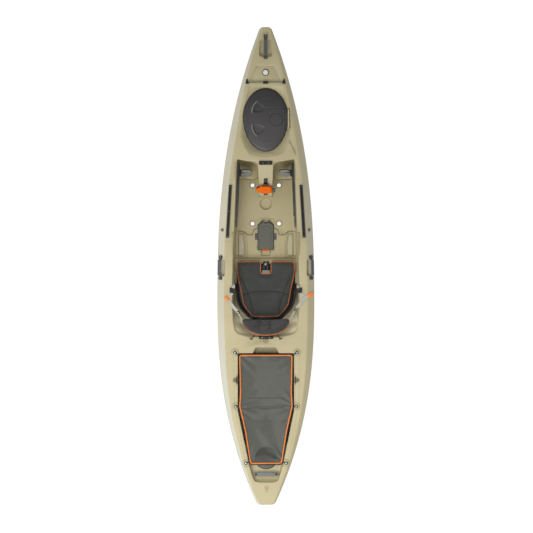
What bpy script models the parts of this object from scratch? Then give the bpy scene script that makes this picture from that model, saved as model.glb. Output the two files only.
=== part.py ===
"""Sit-on-top fishing kayak, built as an assembly of its separate pieces.

Metres, +Z up, bow towards +Y, starboard towards +X. The origin is on the ground
under the middle of the hull.
"""

import math

import bmesh
import bpy
from mathutils import Matrix, Vector

# Gap left between pieces that touch
GAP = 0.0003

# Hull outline, seen from above
LENGTH = 3.73
BEAM = 0.756
BEAM_STATION = -0.27
BOW_TIP_HALF = 0.041
STERN_TIP_HALF = 0.066
BOW_FULLNESS = 2.48
STERN_FULLNESS = 2.4
TIP_ROUNDING = 0.012

# Hull profile, seen from the side
SIDE_HEIGHT = 0.300
FOREDECK_START = 0.85
FOREDECK_RISE = 0.070
AFTDECK_START = -1.20
AFTDECK_RISE = 0.030
ROCKER_START = 0.95
BOW_STEM_RISE = 0.20
STERN_STEM_RISE = 0.15
WALL = 0.005

# Bevelled gunwale edge
BEVEL_WIDTH = 0.050
BEVEL_SLOPE = 0.9
TIP_BEVEL_WIDTH = 0.010
BEVEL_BOW_START = 1.05
BEVEL_STERN_START = -0.60

# Wells cut into the deck
DRAFT = math.tan(math.radians(5.0))
WELL_CORNER = 0.012
CUT_HEIGHT = 0.50
FOOTWELL_FRONT = 0.838
FOOTWELL_FRONT_HALF = 0.2265
FOOTWELL_FLOOR = 0.085
SEAT_STEP = 0.055
SEAT_FLOOR = 0.115
SEAT_WELL_HALF = 0.264
COCKPIT_REAR = -0.556
TANK_FRONT = -0.683
TANK_HALF = 0.220
TANK_REAR_HALF = 0.086
TANK_TAPER_START = -1.127
TANK_FLOOR = 0.145
SHELF_FRONT = -1.400
SHELF_REAR = -1.600
SHELF_HEIGHT = 0.262
SHELF_LIP = 0.020
TANK_REAR = -1.685

# Console hump between the foot pockets
CONSOLE_FOOT = 0.532
CONSOLE_TOP = FOOTWELL_FRONT - 0.053
CONSOLE_REAR_HALF = 0.050
CONSOLE_FRONT_HALF = 0.0615
CONSOLE_LOW = 0.178

# Scuppers and cup recess
SCUPPER_RADIUS = 0.017
SCUPPER_X = 0.104
FRONT_SCUPPER_Y = 0.634
REAR_SCUPPER_Y = 0.3326
TANK_SCUPPER_X = 0.100
TANK_SCUPPER_Y = -0.85
CUP_Y = 0.487
CUP_RADIUS = 0.0415
CUP_DEPTH = 0.012

# Bow hatch
HATCH_Y = 1.158
HATCH_HALF = 0.172
HATCH_FRONT = 0.227
HATCH_REAR = 0.261
HATCH_RECESS = 0.018
HATCH_MARGIN = 0.005
HATCH_RIM = 0.030
HATCH_RIM_HEIGHT = 0.008
HINGE_POCKET = 0.0145
SEAL_HEIGHT = 0.0045
HINGE_X = 0.180
HINGE_Z = 0.010
HINGE_EYE = 0.006
PIN_RADIUS = 0.0025
PIN_CLEARANCE = 0.0004

# Midship hatch
MID_HATCH_Y = 0.2347
MID_HATCH_HALF = 0.0622
MID_HATCH_REACH = 0.108
MID_OPENING_HALF = 0.049
MID_OPENING_REACH = 0.093
MID_RIM_HEIGHT = 0.010

# Stern hatch
STERN_HATCH_Y = -1.498
STERN_LID_RADIUS = 0.086
STERN_RIM_RADIUS = 0.092
STERN_NECK_RADIUS = 0.070
STERN_RIM_HEIGHT = 0.010

# Carry handles
HANDLE_LENGTH = 0.190
HANDLE_WIDTH = 0.030
HANDLE_THICK = 0.010
HANDLE_LIFT = 0.016
BOW_HANDLE_Y = 1.712
STERN_HANDLE_Y = -1.628
SIDE_HANDLE_Y = -0.0125
HANDLE_CLEARANCE = 0.0135
FINGER_DEPTH = 0.025

# Badge and bungee on the bow
BADGE_Y = 1.512
BADGE_RADIUS = 0.025
PADEYE_X = 0.143
PADEYE_Y = 1.436
CORD_HEIGHT = 0.014
CORD_RADIUS = 0.003

# Foot braces
RAIL_FRONT = FOOTWELL_FRONT - 0.030
RAIL_LENGTH = 0.415
RAIL_HEIGHT = 0.215
RAIL_WIDTH = 0.032
RAIL_DEPTH = 0.018
RAIL_SLOT = 0.010
PEDAL_Y = RAIL_FRONT - 0.078
PEDAL_INNER = 0.106
PEDAL_WIDTH = 0.086
PEDAL_TALL = 0.110
PEDAL_THICK = 0.010
PEDAL_LEAN = math.radians(25.0)
LOCK_LENGTH = 0.090

# Gear tracks on the gunwales
TRACK_WIDTH = 0.024
TRACK_HEIGHT = 0.010
TRACK_FRONT_Y = 0.634
TRACK_REAR_Y = 0.2215
TRACK_REAR_MARGIN = 0.007

# Clip on the console
CLIP_TRACK_LENGTH = 0.144
CLIP_TRACK_WIDTH = 0.030
CLIP_TRACK_HEIGHT = 0.008
CLIP_TRACK_Y = CONSOLE_FOOT + 0.090
CLIP_Y = CLIP_TRACK_Y - 0.019
KNOB_RADIUS = 0.017

# Seat
PAN_THICK = 0.010
PAD_THICK = 0.042
PAD_CROWN = 0.012
PAD_FRONT = 0.0266
PAD_REAR = -0.395
PAD_HALF = SEAT_WELL_HALF - 0.034
NOTCH_HALF = 0.0355
NOTCH_DEPTH = 0.094
WING_TOP = 0.172
SEAT_AXIS_Y = -0.430
SEAT_AXIS_Z = 0.155
SEAT_PIN_RADIUS = 0.004
BACK_LEAN = math.radians(24.0)
BACK_HALF = 0.187
BACK_TALL = 0.285
BACK_BOTTOM = 0.035
BACK_PAD_THICK = 0.034
BACK_WRAP = 0.025
WEBBING_WIDTH = 0.025
WEBBING_THICK = 0.002
BUCKLE_X = SEAT_WELL_HALF + 0.012
BUCKLE_Y = -0.188

# Tank well cover
COVER_THICK = 0.003
COVER_SAG = 0.010
COVER_LIFT = 0.0005
ANCHOR_RADIUS = 0.010
ANCHOR_HEIGHT = 0.012
COVER_FRONT = TANK_FRONT - 0.013
COVER_WAIST = -0.990
COVER_SHOULDER = -1.097
COVER_REAR = -1.5455

# Foam block, skid plate and drain plug
FOAM_FRONT = 1.600
FOAM_REAR = 1.500
FOAM_HALF = 0.030
SKID_FRONT = -1.40
SKID_REAR = -1.80
SKID_WIDTH = 0.040
SKID_THICK = 0.004
DRAIN_Y = -1.741
DRAIN_RADIUS = 0.011

TIP = LENGTH / 2

# Colour, roughness and metallic value of each kind of finish
LOOKS = {
    "sand polyethylene": ((0.49, 0.44, 0.28), 0.55, 0.0),
    "black nylon": ((0.012, 0.012, 0.012), 0.45, 0.0),
    "dark grey plastic": ((0.055, 0.055, 0.057), 0.50, 0.0),
    "grey rubber": ((0.10, 0.10, 0.10), 0.75, 0.0),
    "seal foam": ((0.02, 0.02, 0.02), 0.90, 0.0),
    "orange nylon": ((0.90, 0.16, 0.01), 0.40, 0.0),
    "stainless steel": ((0.60, 0.60, 0.58), 0.30, 1.0),
    "charcoal fabric": ((0.045, 0.045, 0.042), 0.90, 0.0),
    "grey mesh fabric": ((0.11, 0.11, 0.095), 0.85, 0.0),
    "grey webbing": ((0.36, 0.36, 0.33), 0.80, 0.0),
    "white foam": ((0.75, 0.75, 0.72), 0.90, 0.0),
    "white plastic": ((0.80, 0.80, 0.76), 0.40, 0.0),
}


def clear_scene():
    for obj in list(bpy.data.objects):
        bpy.data.objects.remove(obj, do_unlink=True)


def new_collection(name):
    collection = bpy.data.collections.new(name)
    bpy.context.scene.collection.children.link(collection)
    return collection


clear_scene()
PARTS = new_collection("Fishing kayak")
CUTTERS = new_collection("Cutters")


# Mesh builders


def attach(obj, origin, parent):
    """Put an object at a world point and hang it on its parent."""
    obj.location = Vector(origin)
    obj.parent = parent
    while parent:
        obj.location -= parent.location
        parent = parent.parent


def mesh_object(name, bm, collection, origin, parent):
    """A new object whose mesh is given in world space and whose origin is the point given."""
    bmesh.ops.recalc_face_normals(bm, faces=bm.faces)
    bmesh.ops.translate(bm, vec=-Vector(origin), verts=bm.verts)
    mesh = bpy.data.meshes.new(name)
    bm.to_mesh(mesh)
    bm.free()
    obj = bpy.data.objects.new(name, mesh)
    collection.objects.link(obj)
    attach(obj, origin, parent)
    return obj


def solid(name, bm, look, origin=(0.0, 0.0, 0.0), parent=None):
    """A piece of the kayak with a material of its own."""
    obj = mesh_object(name, bm, PARTS, origin, parent)
    colour, roughness, metallic = LOOKS[look]
    finish = bpy.data.materials.new(name + " " + look)
    finish.use_nodes = True
    shader = finish.node_tree.nodes["Principled BSDF"]
    shader.inputs["Base Color"].default_value = (*colour, 1.0)
    shader.inputs["Roughness"].default_value = roughness
    shader.inputs["Metallic"].default_value = metallic
    obj.data.materials.append(finish)
    return obj


def helper(name, bm):
    """A cutter or filler that shapes other pieces and is left out itself."""
    obj = mesh_object(name, bm, CUTTERS, (0.0, 0.0, 0.0), None)
    obj.hide_render = True
    obj.display_type = "WIRE"
    return obj


def joint_empty(name, location, parent=None):
    empty = bpy.data.objects.new(name, None)
    PARTS.objects.link(empty)
    attach(empty, location, parent)
    return empty


def boolean(obj, other, operation):
    modifier = obj.modifiers.new(other.name, "BOOLEAN")
    modifier.operation = operation
    modifier.object = other
    modifier.solver = "EXACT"


def cut(obj, *others):
    for other in others:
        boolean(obj, other, "DIFFERENCE")


def join(obj, *others):
    for other in others:
        boolean(obj, other, "UNION")


def smooth(obj):
    obj.data.shade_smooth()
    obj.data.set_sharp_from_angle(angle=math.radians(35.0))


def loft(rings, closed=False):
    """A skin over rings of equal point count, capped at both ends or joined end to end."""
    bm = bmesh.new()
    rows = [[bm.verts.new(point) for point in ring] for ring in rings]
    pairs = list(zip(rows, rows[1:]))
    if closed:
        pairs.append((rows[-1], rows[0]))
    for row, following in pairs:
        for i in range(len(row)):
            j = (i + 1) % len(row)
            bm.faces.new((row[i], row[j], following[j], following[i]))
    if not closed:
        bm.faces.new(rows[0])
        bm.faces.new(rows[-1])
    return bm


def level(outline, z):
    return [(x, y, z) for x, y in outline]


def plate(outline, low, high):
    return loft([level(outline, low), level(outline, high)])


def frame_ring(outer, inner, low, high):
    rings = [level(outer, low), level(outer, high), level(inner, high), level(inner, low)]
    return loft(rings, closed=True)


def box(x, y, z, chamfer=0.0):
    """A block between the two limits given for each axis."""
    bm = bmesh.new()
    bmesh.ops.create_cube(bm, size=1.0)
    size = Vector((x[1] - x[0], y[1] - y[0], z[1] - z[0]))
    centre = Vector((x[1] + x[0], y[1] + y[0], z[1] + z[0])) / 2
    bmesh.ops.scale(bm, vec=size, verts=bm.verts)
    bmesh.ops.translate(bm, vec=centre, verts=bm.verts)
    if chamfer:
        bmesh.ops.bevel(bm, geom=list(bm.edges), offset=chamfer, segments=1, affect="EDGES")
    return bm


def rod(start, end, radius, end_radius=None, sides=16):
    """A round bar or cone from one point to another."""
    start, end = Vector(start), Vector(end)
    turn = (end - start).to_track_quat("Z", "Y").to_matrix().to_4x4()
    bm = bmesh.new()
    bmesh.ops.create_cone(
        bm,
        cap_ends=True,
        segments=sides,
        radius1=radius,
        radius2=radius if end_radius is None else end_radius,
        depth=(end - start).length,
        matrix=Matrix.Translation((start + end) / 2) @ turn,
    )
    return bm


def ribbon(points, normals, width, thickness):
    """A flat bar or webbing along points, its broad side facing along the normals."""
    points = [Vector(point) for point in points]
    rings = []
    for i, point in enumerate(points):
        ahead = points[min(i + 1, len(points) - 1)] - points[max(i - 1, 0)]
        normal = Vector(normals[i] if isinstance(normals, list) else normals)
        across = ahead.cross(normal).normalized()
        up = across.cross(ahead).normalized()
        side, rise = across * width / 2, up * thickness / 2
        rings.append([point - side - rise, point + side - rise, point + side + rise, point - side + rise])
    return loft(rings)


def rounded(corners, steps=3):
    """A closed outline whose corners (x, y, radius) are turned into arcs."""
    outline = []
    for i, (x, y, radius) in enumerate(corners):
        here = Vector((x, y))
        before = Vector(corners[i - 1][:2]) - here
        after = Vector(corners[(i + 1) % len(corners)][:2]) - here
        half = before.angle(after) / 2
        reach = radius / math.tan(half)
        start, end = here + before.normalized() * reach, here + after.normalized() * reach
        if radius == 0.0:
            outline.append((x, y))
            continue
        middle = here + (before.normalized() + after.normalized()).normalized() * radius / math.sin(half)
        first, last = start - middle, end - middle
        sweep = first.angle_signed(last)
        for step in range(steps + 1):
            spoke = first.copy()
            spoke.rotate(Matrix.Rotation(-sweep * step / steps, 2))
            outline.append(tuple(middle + spoke))
    return outline


def mirror_outline(half):
    """A whole outline from its starboard half, listed from one end of the centre line to the other."""
    return [(x, y) for x, y in half] + [(-x, y) for x, y in reversed(half) if x > 0.0]


def circle(radius, centre=(0.0, 0.0), sides=24):
    turn = 2 * math.pi / sides
    return [
        (centre[0] + radius * math.cos(i * turn), centre[1] + radius * math.sin(i * turn))
        for i in range(sides)
    ]


def moved(bm, matrix):
    bmesh.ops.transform(bm, matrix=matrix, verts=bm.verts)
    return bm


def port_copy(obj, name, parent=None):
    """The port twin of a starboard piece, as an object of its own."""
    graph = bpy.context.evaluated_depsgraph_get()
    bm = bmesh.new()
    bm.from_mesh(bpy.data.meshes.new_from_object(obj.evaluated_get(graph)))
    moved(bm, Matrix.Diagonal((-1.0, 1.0, 1.0, 1.0)) @ obj.matrix_world)
    bmesh.ops.reverse_faces(bm, faces=bm.faces)
    look = obj.data.materials[0].name.replace(obj.name + " ", "")
    origin = obj.matrix_world.translation * Vector((-1.0, 1.0, 1.0))
    return solid(name, bm, look, origin, parent)


def settle():
    bpy.context.view_layer.update()


# Hull form


def outline_half(y):
    """Half beam of the hull's outline at a place along it."""
    if y > BEAM_STATION:
        share = (y - BEAM_STATION) / (TIP - BEAM_STATION)
        tip, fullness = BOW_TIP_HALF, BOW_FULLNESS
    else:
        share = (BEAM_STATION - y) / (TIP + BEAM_STATION)
        tip, fullness = STERN_TIP_HALF, STERN_FULLNESS
    rounding = TIP_ROUNDING if abs(y) > TIP - TIP_ROUNDING / 2 else 0.0
    return tip + (BEAM / 2 - tip) * (1.0 - share**fullness) - rounding


def keel_height(y):
    rise = BOW_STEM_RISE if y > 0.0 else STERN_STEM_RISE
    return rise * max(0.0, (abs(y) - ROCKER_START) / (TIP - ROCKER_START)) ** 4


def hull_stations():
    """Places along the hull that carry a section, closer together towards its ends."""
    middle, ends = 9, 7
    span = FOREDECK_START - AFTDECK_START
    places = [AFTDECK_START + span * i / middle for i in range(middle + 1)]
    for i in range(1, ends + 1):
        share = math.sin(math.pi / 2 * i / ends)
        places.append(FOREDECK_START + (TIP - FOREDECK_START) * share)
        places.append(AFTDECK_START - (TIP + AFTDECK_START) * share)
    places += [TIP - TIP_ROUNDING, TIP_ROUNDING - TIP]
    return sorted(places)


STATIONS = hull_stations()


def between_stations(value, y):
    """A value of the hull at y, straight between the stations on either side."""
    for low, high in zip(STATIONS, STATIONS[1:]):
        if y <= high:
            share = (y - low) / (high - low)
            return value(low) * (1.0 - share) + value(high) * share
    return value(STATIONS[-1])


def half_beam(y):
    return between_stations(outline_half, y)


def keel(y):
    return between_stations(keel_height, y)


def sheer(y):
    """Height of the deck: level amidships, and rising straight to both tips."""
    bow = max(0.0, (y - FOREDECK_START) / (TIP - FOREDECK_START))
    stern = max(0.0, (AFTDECK_START - y) / (TIP + AFTDECK_START))
    return SIDE_HEIGHT + FOREDECK_RISE * bow + AFTDECK_RISE * stern


def bevel_width(y):
    bow = max(0.0, (y - BEVEL_BOW_START) / (TIP - BEVEL_BOW_START))
    stern = max(0.0, (BEVEL_STERN_START - y) / (TIP + BEVEL_STERN_START))
    return BEVEL_WIDTH - (BEVEL_WIDTH - TIP_BEVEL_WIDTH) * max(bow, stern)


def hull_section(y, inset):
    """One closed section of the hull, drawn in by the inset."""
    half, low, high = outline_half(y) - inset, keel_height(y) + inset, sheer(y) - inset
    tall, bevel = high - low, bevel_width(y)
    side = [
        (0.45 * half, low),
        (0.76 * half, low + 0.07 * tall),
        (0.93 * half, low + 0.25 * tall),
        (half, low + 0.55 * tall),
        (half, high - BEVEL_SLOPE * bevel),
        (half - bevel, high),
    ]
    return [(x, y, z) for x, z in side] + [(-x, y, z) for x, z in reversed(side)]


def hull_body(inset):
    """The hull's outer form, or with the wall as inset the space inside it."""
    rings = [hull_section(y, inset) for y in STATIONS]
    if inset:
        rings = [hull_section(y, inset) for y in STATIONS if abs(y) < TIP - TIP_ROUNDING / 2]
    return loft(rings)


FORE_ANGLE = math.atan(FOREDECK_RISE / (TIP - FOREDECK_START))
AFT_ANGLE = -math.atan(AFTDECK_RISE / (TIP + AFTDECK_START))


def deck_frame(x, y):
    """A frame that stands on the deck at (x, y), its Z square to the deck."""
    angle = FORE_ANGLE if y > FOREDECK_START else AFT_ANGLE if y < AFTDECK_START else 0.0
    return Matrix.Translation((x, y, sheer(y))) @ Matrix.Rotation(angle, 4, "X")


def bevel_frame(y, reach, share):
    """A frame on the starboard bevel: X down the bevel, Y along it, Z out of it."""
    ends = []
    for place in (y - reach, y + reach):
        width = bevel_width(place)
        x, z = half_beam(place) - width * (1.0 - share), sheer(place) - BEVEL_SLOPE * width * share
        ends.append(Vector((x, place, z)))
    along = (ends[1] - ends[0]).normalized()
    down = Vector((1.0, 0.0, -BEVEL_SLOPE)).normalized()
    out = down.cross(along).normalized()
    down = along.cross(out)
    frame = Matrix((down, along, out)).transposed().to_4x4()
    return Matrix.Translation((ends[0] + ends[1]) / 2) @ frame


# Wells


def cockpit_half(y):
    """Half width of the cockpit at deck level. Its walls are straight from the front to y = 0."""
    ends = [
        (FOOTWELL_FRONT, FOOTWELL_FRONT_HALF),
        (0.0, SEAT_WELL_HALF - 0.005),
        (-0.25, SEAT_WELL_HALF),
        (-0.42, SEAT_WELL_HALF - 0.006),
        (-0.485, SEAT_WELL_HALF - 0.018),
        (-0.528, SEAT_WELL_HALF - 0.032),
        (COCKPIT_REAR, SEAT_WELL_HALF * 0.5),
    ]
    for (front, wide), (rear, narrow) in zip(ends, ends[1:]):
        if y >= rear:
            return narrow + (wide - narrow) * (y - rear) / (front - rear)
    return ends[-1][1]


def trough(stations, grow):
    """A well with drafted sides, through stations of (y, half width at deck level, floor height)."""
    rings = []
    for i, (y, half, floor) in enumerate(stations):
        y += grow if i == 0 else -grow if i == len(stations) - 1 else 0.0
        half, floor = half + grow, floor - grow
        depth = SIDE_HEIGHT - floor
        corner = min(WELL_CORNER, 0.6 * abs(depth))
        low = half - (depth - corner) * DRAFT
        soft = corner * (1.0 - math.sqrt(0.5))
        side = [
            (low - corner, floor),
            (low - soft, floor + soft),
            (low, floor + corner),
            (half + (CUT_HEIGHT - SIDE_HEIGHT) * DRAFT, CUT_HEIGHT),
        ]
        rings.append([(x, y, z) for x, z in side] + [(-x, y, z) for x, z in reversed(side)])
    return loft(rings)


def cockpit_stations():
    floors = [
        (FOOTWELL_FRONT, FOOTWELL_FLOOR + 0.080),
        (FOOTWELL_FRONT - 0.038, FOOTWELL_FLOOR + 0.020),
        (FOOTWELL_FRONT - 0.078, FOOTWELL_FLOOR),
        (SEAT_STEP + 0.012, FOOTWELL_FLOOR),
        (SEAT_STEP, SEAT_FLOOR),
        (0.0, SEAT_FLOOR),
        (-0.25, SEAT_FLOOR),
        (-0.42, SEAT_FLOOR),
        (-0.485, SEAT_FLOOR),
        (-0.528, SEAT_FLOOR + 0.080),
        (COCKPIT_REAR, SIDE_HEIGHT - 0.004),
    ]
    return [(y, cockpit_half(y), floor) for y, floor in floors]


TANK_TAPER = TANK_HALF - TANK_REAR_HALF

TANK_STATIONS = [
    (TANK_FRONT, TANK_HALF - 0.004, TANK_FLOOR + 0.015),
    (TANK_FRONT - 0.017, TANK_HALF, TANK_FLOOR),
    (TANK_TAPER_START, TANK_HALF, TANK_FLOOR),
    (SHELF_FRONT + 0.060, TANK_REAR_HALF + 0.67 * TANK_TAPER, TANK_FLOOR),
    (SHELF_FRONT, TANK_REAR_HALF + 0.57 * TANK_TAPER, SHELF_HEIGHT),
    (SHELF_REAR + 0.051, TANK_REAR_HALF + 0.34 * TANK_TAPER, SHELF_HEIGHT),
    (SHELF_REAR, TANK_REAR_HALF + 0.24 * TANK_TAPER, SHELF_HEIGHT),
    (TANK_REAR + 0.025, TANK_REAR_HALF + 0.09 * TANK_TAPER, SHELF_HEIGHT + SHELF_LIP),
    (TANK_REAR, TANK_REAR_HALF, SIDE_HEIGHT + 0.006),
]


def tank_place(y):
    """Half width at deck level and floor height of the tank well at a place along it."""
    for ahead, behind in zip(TANK_STATIONS, TANK_STATIONS[1:]):
        if y >= behind[0]:
            share = (y - behind[0]) / (ahead[0] - behind[0])
            return tuple(far + (near - far) * share for near, far in zip(ahead[1:], behind[1:]))
    return TANK_STATIONS[-1][1:]


def console(shrink):
    """The hump between the foot pockets, flaring into the deck in front of them."""
    top = CUT_HEIGHT + 0.02
    flare = [(0.015, 0.0135), (0.027, 0.0435), (0.037, 0.0885), (0.047, 0.1435), (0.062, 0.2085)]
    stations = [
        (CONSOLE_FOOT, CONSOLE_REAR_HALF - 0.002, FOOTWELL_FLOOR - 0.015),
        (CONSOLE_FOOT + 0.020, CONSOLE_REAR_HALF, CONSOLE_LOW),
        (CONSOLE_TOP, CONSOLE_FRONT_HALF, SIDE_HEIGHT - 0.0015),
    ]
    stations += [(CONSOLE_TOP + ahead, CONSOLE_FRONT_HALF + wider, top) for ahead, wider in flare]
    rings = []
    for y, half, high in stations:
        half, high, y = half - shrink, high - shrink, y + shrink
        base = 0.03
        rings.append([(-half, y, base), (half, y, base), (half, y, high), (-half, y, high)])
    return loft(rings)


def console_ramp():
    """A frame on the console's sloping top at the middle of the clip's track."""
    start = Vector((0.0, CONSOLE_FOOT + 0.020, CONSOLE_LOW))
    end = Vector((0.0, CONSOLE_TOP, SIDE_HEIGHT - 0.0015))
    share = (CLIP_TRACK_Y - start.y) / (end.y - start.y)
    angle = math.atan2(end.z - start.z, end.y - start.y)
    return Matrix.Translation(start.lerp(end, share)) @ Matrix.Rotation(angle, 4, "X")


def egg(grow=0.0, scale=1.0):
    """The bow hatch's outline: two half ellipses that meet at its widest place."""
    outline = []
    sides = 28
    for i in range(sides):
        angle = 2 * math.pi * i / sides
        reach = (HATCH_FRONT if math.sin(angle) > 0.0 else HATCH_REAR) + grow
        outline.append(
            ((HATCH_HALF + grow) * scale * math.cos(angle), reach * scale * math.sin(angle))
        )
    return outline


def rectangle(half, reach, radius, steps=3):
    corners = [(half, -reach, radius), (half, reach, radius), (-half, reach, radius), (-half, -reach, radius)]
    return rounded(corners, steps)


def front_recess(grow):
    """The shallow step ahead of the tank well."""
    front, rear = TANK_FRONT + 0.047, TANK_FRONT - 0.014
    narrow, wide = TANK_HALF - 0.140 + grow, TANK_HALF - 0.112 + grow
    corners = [(narrow, front + grow), (-narrow, front + grow), (-wide, rear), (wide, rear)]
    return plate(corners, SIDE_HEIGHT - 0.055 - grow, CUT_HEIGHT)


def finger_recess(grow):
    """The hollow under the bow handle, in the deck's frame."""
    half, reach = HANDLE_WIDTH / 2 + 0.040, HANDLE_LENGTH / 2 - 0.028
    corners = [
        (half - 0.004 + grow, -reach - grow, 0.02),
        (half - 0.015 + grow, reach + grow, 0.02),
        (-half + 0.015 - grow, reach + grow, 0.02),
        (-half + 0.004 - grow, -reach - grow, 0.02),
    ]
    bm = plate(rounded(corners), -FINGER_DEPTH - grow, 0.05)
    return moved(bm, deck_frame(0.0, BOW_HANDLE_Y - 0.010))


def side_recess(grow, side):
    """The hollow under a side handle."""
    inner = half_beam(SIDE_HANDLE_Y) - BEVEL_WIDTH - 0.004
    x = sorted((side * (inner - grow), side * (inner + HANDLE_WIDTH + grow)))
    reach = HANDLE_LENGTH / 2 - 0.031 + grow
    low = SIDE_HEIGHT - 0.038 - grow
    return box(x, (SIDE_HANDLE_Y - reach, SIDE_HANDLE_Y + reach), (low, CUT_HEIGHT))


def upright(x, y, radius, low, high, sides=16):
    return rod((x, y, low), (x, y, high), radius, sides=sides)


def hatch_pocket(grow):
    """Room for the bow hatch's hinge beside the lid, in the hatch's frame."""
    x = (HATCH_HALF - 0.020, HINGE_X + HINGE_EYE + 0.003 + grow)
    return box(x, (-0.093 - grow, 0.073 + grow), (-HINGE_POCKET - grow, 0.045))


HATCH_FRAME = deck_frame(0.0, HATCH_Y)

SCUPPERS = [
    (side * x, y)
    for side in (-1, 1)
    for x, y in (
        (SCUPPER_X, FRONT_SCUPPER_Y),
        (SCUPPER_X, REAR_SCUPPER_Y),
        (TANK_SCUPPER_X, TANK_SCUPPER_Y),
    )
]


def build_hull():
    """One moulded shell: the outer form, less its wells, less the space inside."""
    hull = solid("hull", hull_body(0.0), "sand polyethylene")
    space = helper("space_inside", hull_body(WALL))

    for grow, target in ((0.0, hull), (WALL, space)):
        tag = "well" if grow == 0.0 else "jacket"
        cockpit = helper("cockpit_" + tag, trough(cockpit_stations(), grow))
        cut(cockpit, helper("console_" + tag, console(grow)))
        recess = moved(plate(egg(HATCH_MARGIN + grow), -HATCH_RECESS - grow, 0.05), HATCH_FRAME)
        cut(
            target,
            cockpit,
            helper("tank_" + tag, trough(TANK_STATIONS, grow)),
            helper("front_recess_" + tag, front_recess(grow)),
            helper("bow_finger_" + tag, finger_recess(grow)),
            helper("side_finger_left_" + tag, side_recess(grow, -1)),
            helper("side_finger_right_" + tag, side_recess(grow, 1)),
            helper("bow_recess_" + tag, recess),
            helper("hinge_pocket_" + tag, moved(hatch_pocket(grow), HATCH_FRAME)),
            helper(
                "cup_" + tag,
                upright(0.0, CUP_Y, CUP_RADIUS + grow, FOOTWELL_FLOOR - CUP_DEPTH - grow, 0.2),
            ),
        )
    for i, (x, y) in enumerate(SCUPPERS):
        cut(space, helper(f"scupper_tube_{i}", upright(x, y, SCUPPER_RADIUS + WALL, -0.05, 0.19)))
    cut(hull, space)
    for i, (x, y) in enumerate(SCUPPERS):
        cut(hull, helper(f"scupper_{i}", upright(x, y, SCUPPER_RADIUS, -0.06, 0.20)))
    mid = Matrix.Translation((0.0, MID_HATCH_Y, 0.0))
    openings = [
        moved(plate(egg(-HATCH_RIM - 0.002), -0.06, 0.02), HATCH_FRAME),
        moved(plate(rectangle(MID_OPENING_HALF, MID_OPENING_REACH, 0.015), 0.05, 0.14), mid),
        upright(0.0, STERN_HATCH_Y, STERN_NECK_RADIUS + 0.001, 0.22, 0.29, sides=24),
    ]
    for name, bm in zip(("bow_opening", "mid_opening", "stern_opening"), openings):
        cut(hull, helper(name, bm))
    return hull


# Fittings on the deck


def bar_handle(name, frame, look="grey rubber"):
    """A grip bar lying along the frame's Y, raised between its two screwed ends."""
    end, foot = HANDLE_LENGTH / 2, 0.026
    low = GAP * 2 + HANDLE_THICK / 2
    high = low + HANDLE_LIFT
    places = [(end, low), (end - foot, low), (end - foot - 0.018, high)]
    places += [(-y, z) for y, z in reversed(places)]
    bm = ribbon([(0.0, y, z) for y, z in places], (0.0, 0.0, 1.0), HANDLE_WIDTH, HANDLE_THICK)
    return solid(name, moved(bm, frame), look, frame.translation)


def build_handles():
    bar_handle("bow_handle", deck_frame(0.0, BOW_HANDLE_Y))
    # The stern handle bridges the rear of the tank well, on a post at each end
    y, post = STERN_HANDLE_Y, 0.012
    well_half, shelf = tank_place(y)
    half = well_half - HANDLE_CLEARANCE
    bar = ribbon(
        [(-half, y, shelf + 0.032), (half, y, shelf + 0.032)],
        (0.0, 0.0, 1.0),
        HANDLE_WIDTH,
        HANDLE_THICK,
    )
    handle = solid("stern_handle", bar, "grey rubber", (0.0, y, shelf + 0.032))
    low = tank_place(y - post)[1] + GAP * 2
    for side in (-1, 1):
        foot = upright(side * (half - 0.016), y, post, low, shelf + 0.030)
        join(handle, helper(f"stern_handle_foot_{side}", foot))
    frame = bevel_frame(SIDE_HANDLE_Y, HANDLE_LENGTH / 2 - 0.013, 0.5)
    right = bar_handle("side_handle_right", frame)
    settle()
    port_copy(right, "side_handle_left")


def build_bow_fittings():
    """Blank badge, and the bungee held across the bow by two pad eyes."""
    frame = deck_frame(0.0, BADGE_Y)
    badge = rod((0, 0, GAP), (0, 0, 0.002), BADGE_RADIUS, BADGE_RADIUS - 0.0015, sides=24)
    smooth(solid("bow_badge", moved(badge, frame), "white plastic", frame.translation))

    for side, name in ((1, "bow_padeye_right"), (-1, "bow_padeye_left")):
        frame = deck_frame(side * PADEYE_X, PADEYE_Y)
        base = box((-0.010, 0.010), (-0.018, 0.018), (GAP, 0.005), 0.001)
        eye = solid(name, moved(base, frame), "black nylon", frame.translation)
        post = box((-0.004, 0.004), (-0.008, 0.008), (0.003, 0.020), 0.0015)
        join(eye, helper(name + "_post", moved(post, frame)))
    frame = deck_frame(0.0, PADEYE_Y)
    reach = PADEYE_X - 0.004 - GAP
    curve = bpy.data.curves.new("bow_bungee", "CURVE")
    curve.dimensions = "3D"
    spline = curve.splines.new("POLY")
    places = [-1.0, -0.6, -0.2, 0.2, 0.6, 1.0]
    spline.points.add(len(places) - 1)
    for point, share in zip(spline.points, places):
        point.co = (*(frame @ Vector((reach * share, 0.0, CORD_HEIGHT))), 1.0)
    curve.bevel_depth = CORD_RADIUS
    curve.bevel_resolution = 2
    curve.use_fill_caps = True
    bungee = bpy.data.objects.new("bow_bungee", curve)
    PARTS.objects.link(bungee)
    finish = bpy.data.materials.new("bow_bungee black cord")
    finish.use_nodes = True
    curve.materials.append(finish)

    # The hook hangs under the cord and lies on the deck
    hook = box((-0.020, 0.020), (-0.012, 0.008), (GAP, CORD_HEIGHT - CORD_RADIUS - GAP), 0.002)
    solid("bungee_hook", moved(hook, frame), "black nylon", frame.translation)


def egg_ring(grow, z, scale=1.0):
    return level(egg(grow, scale), z)


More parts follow.
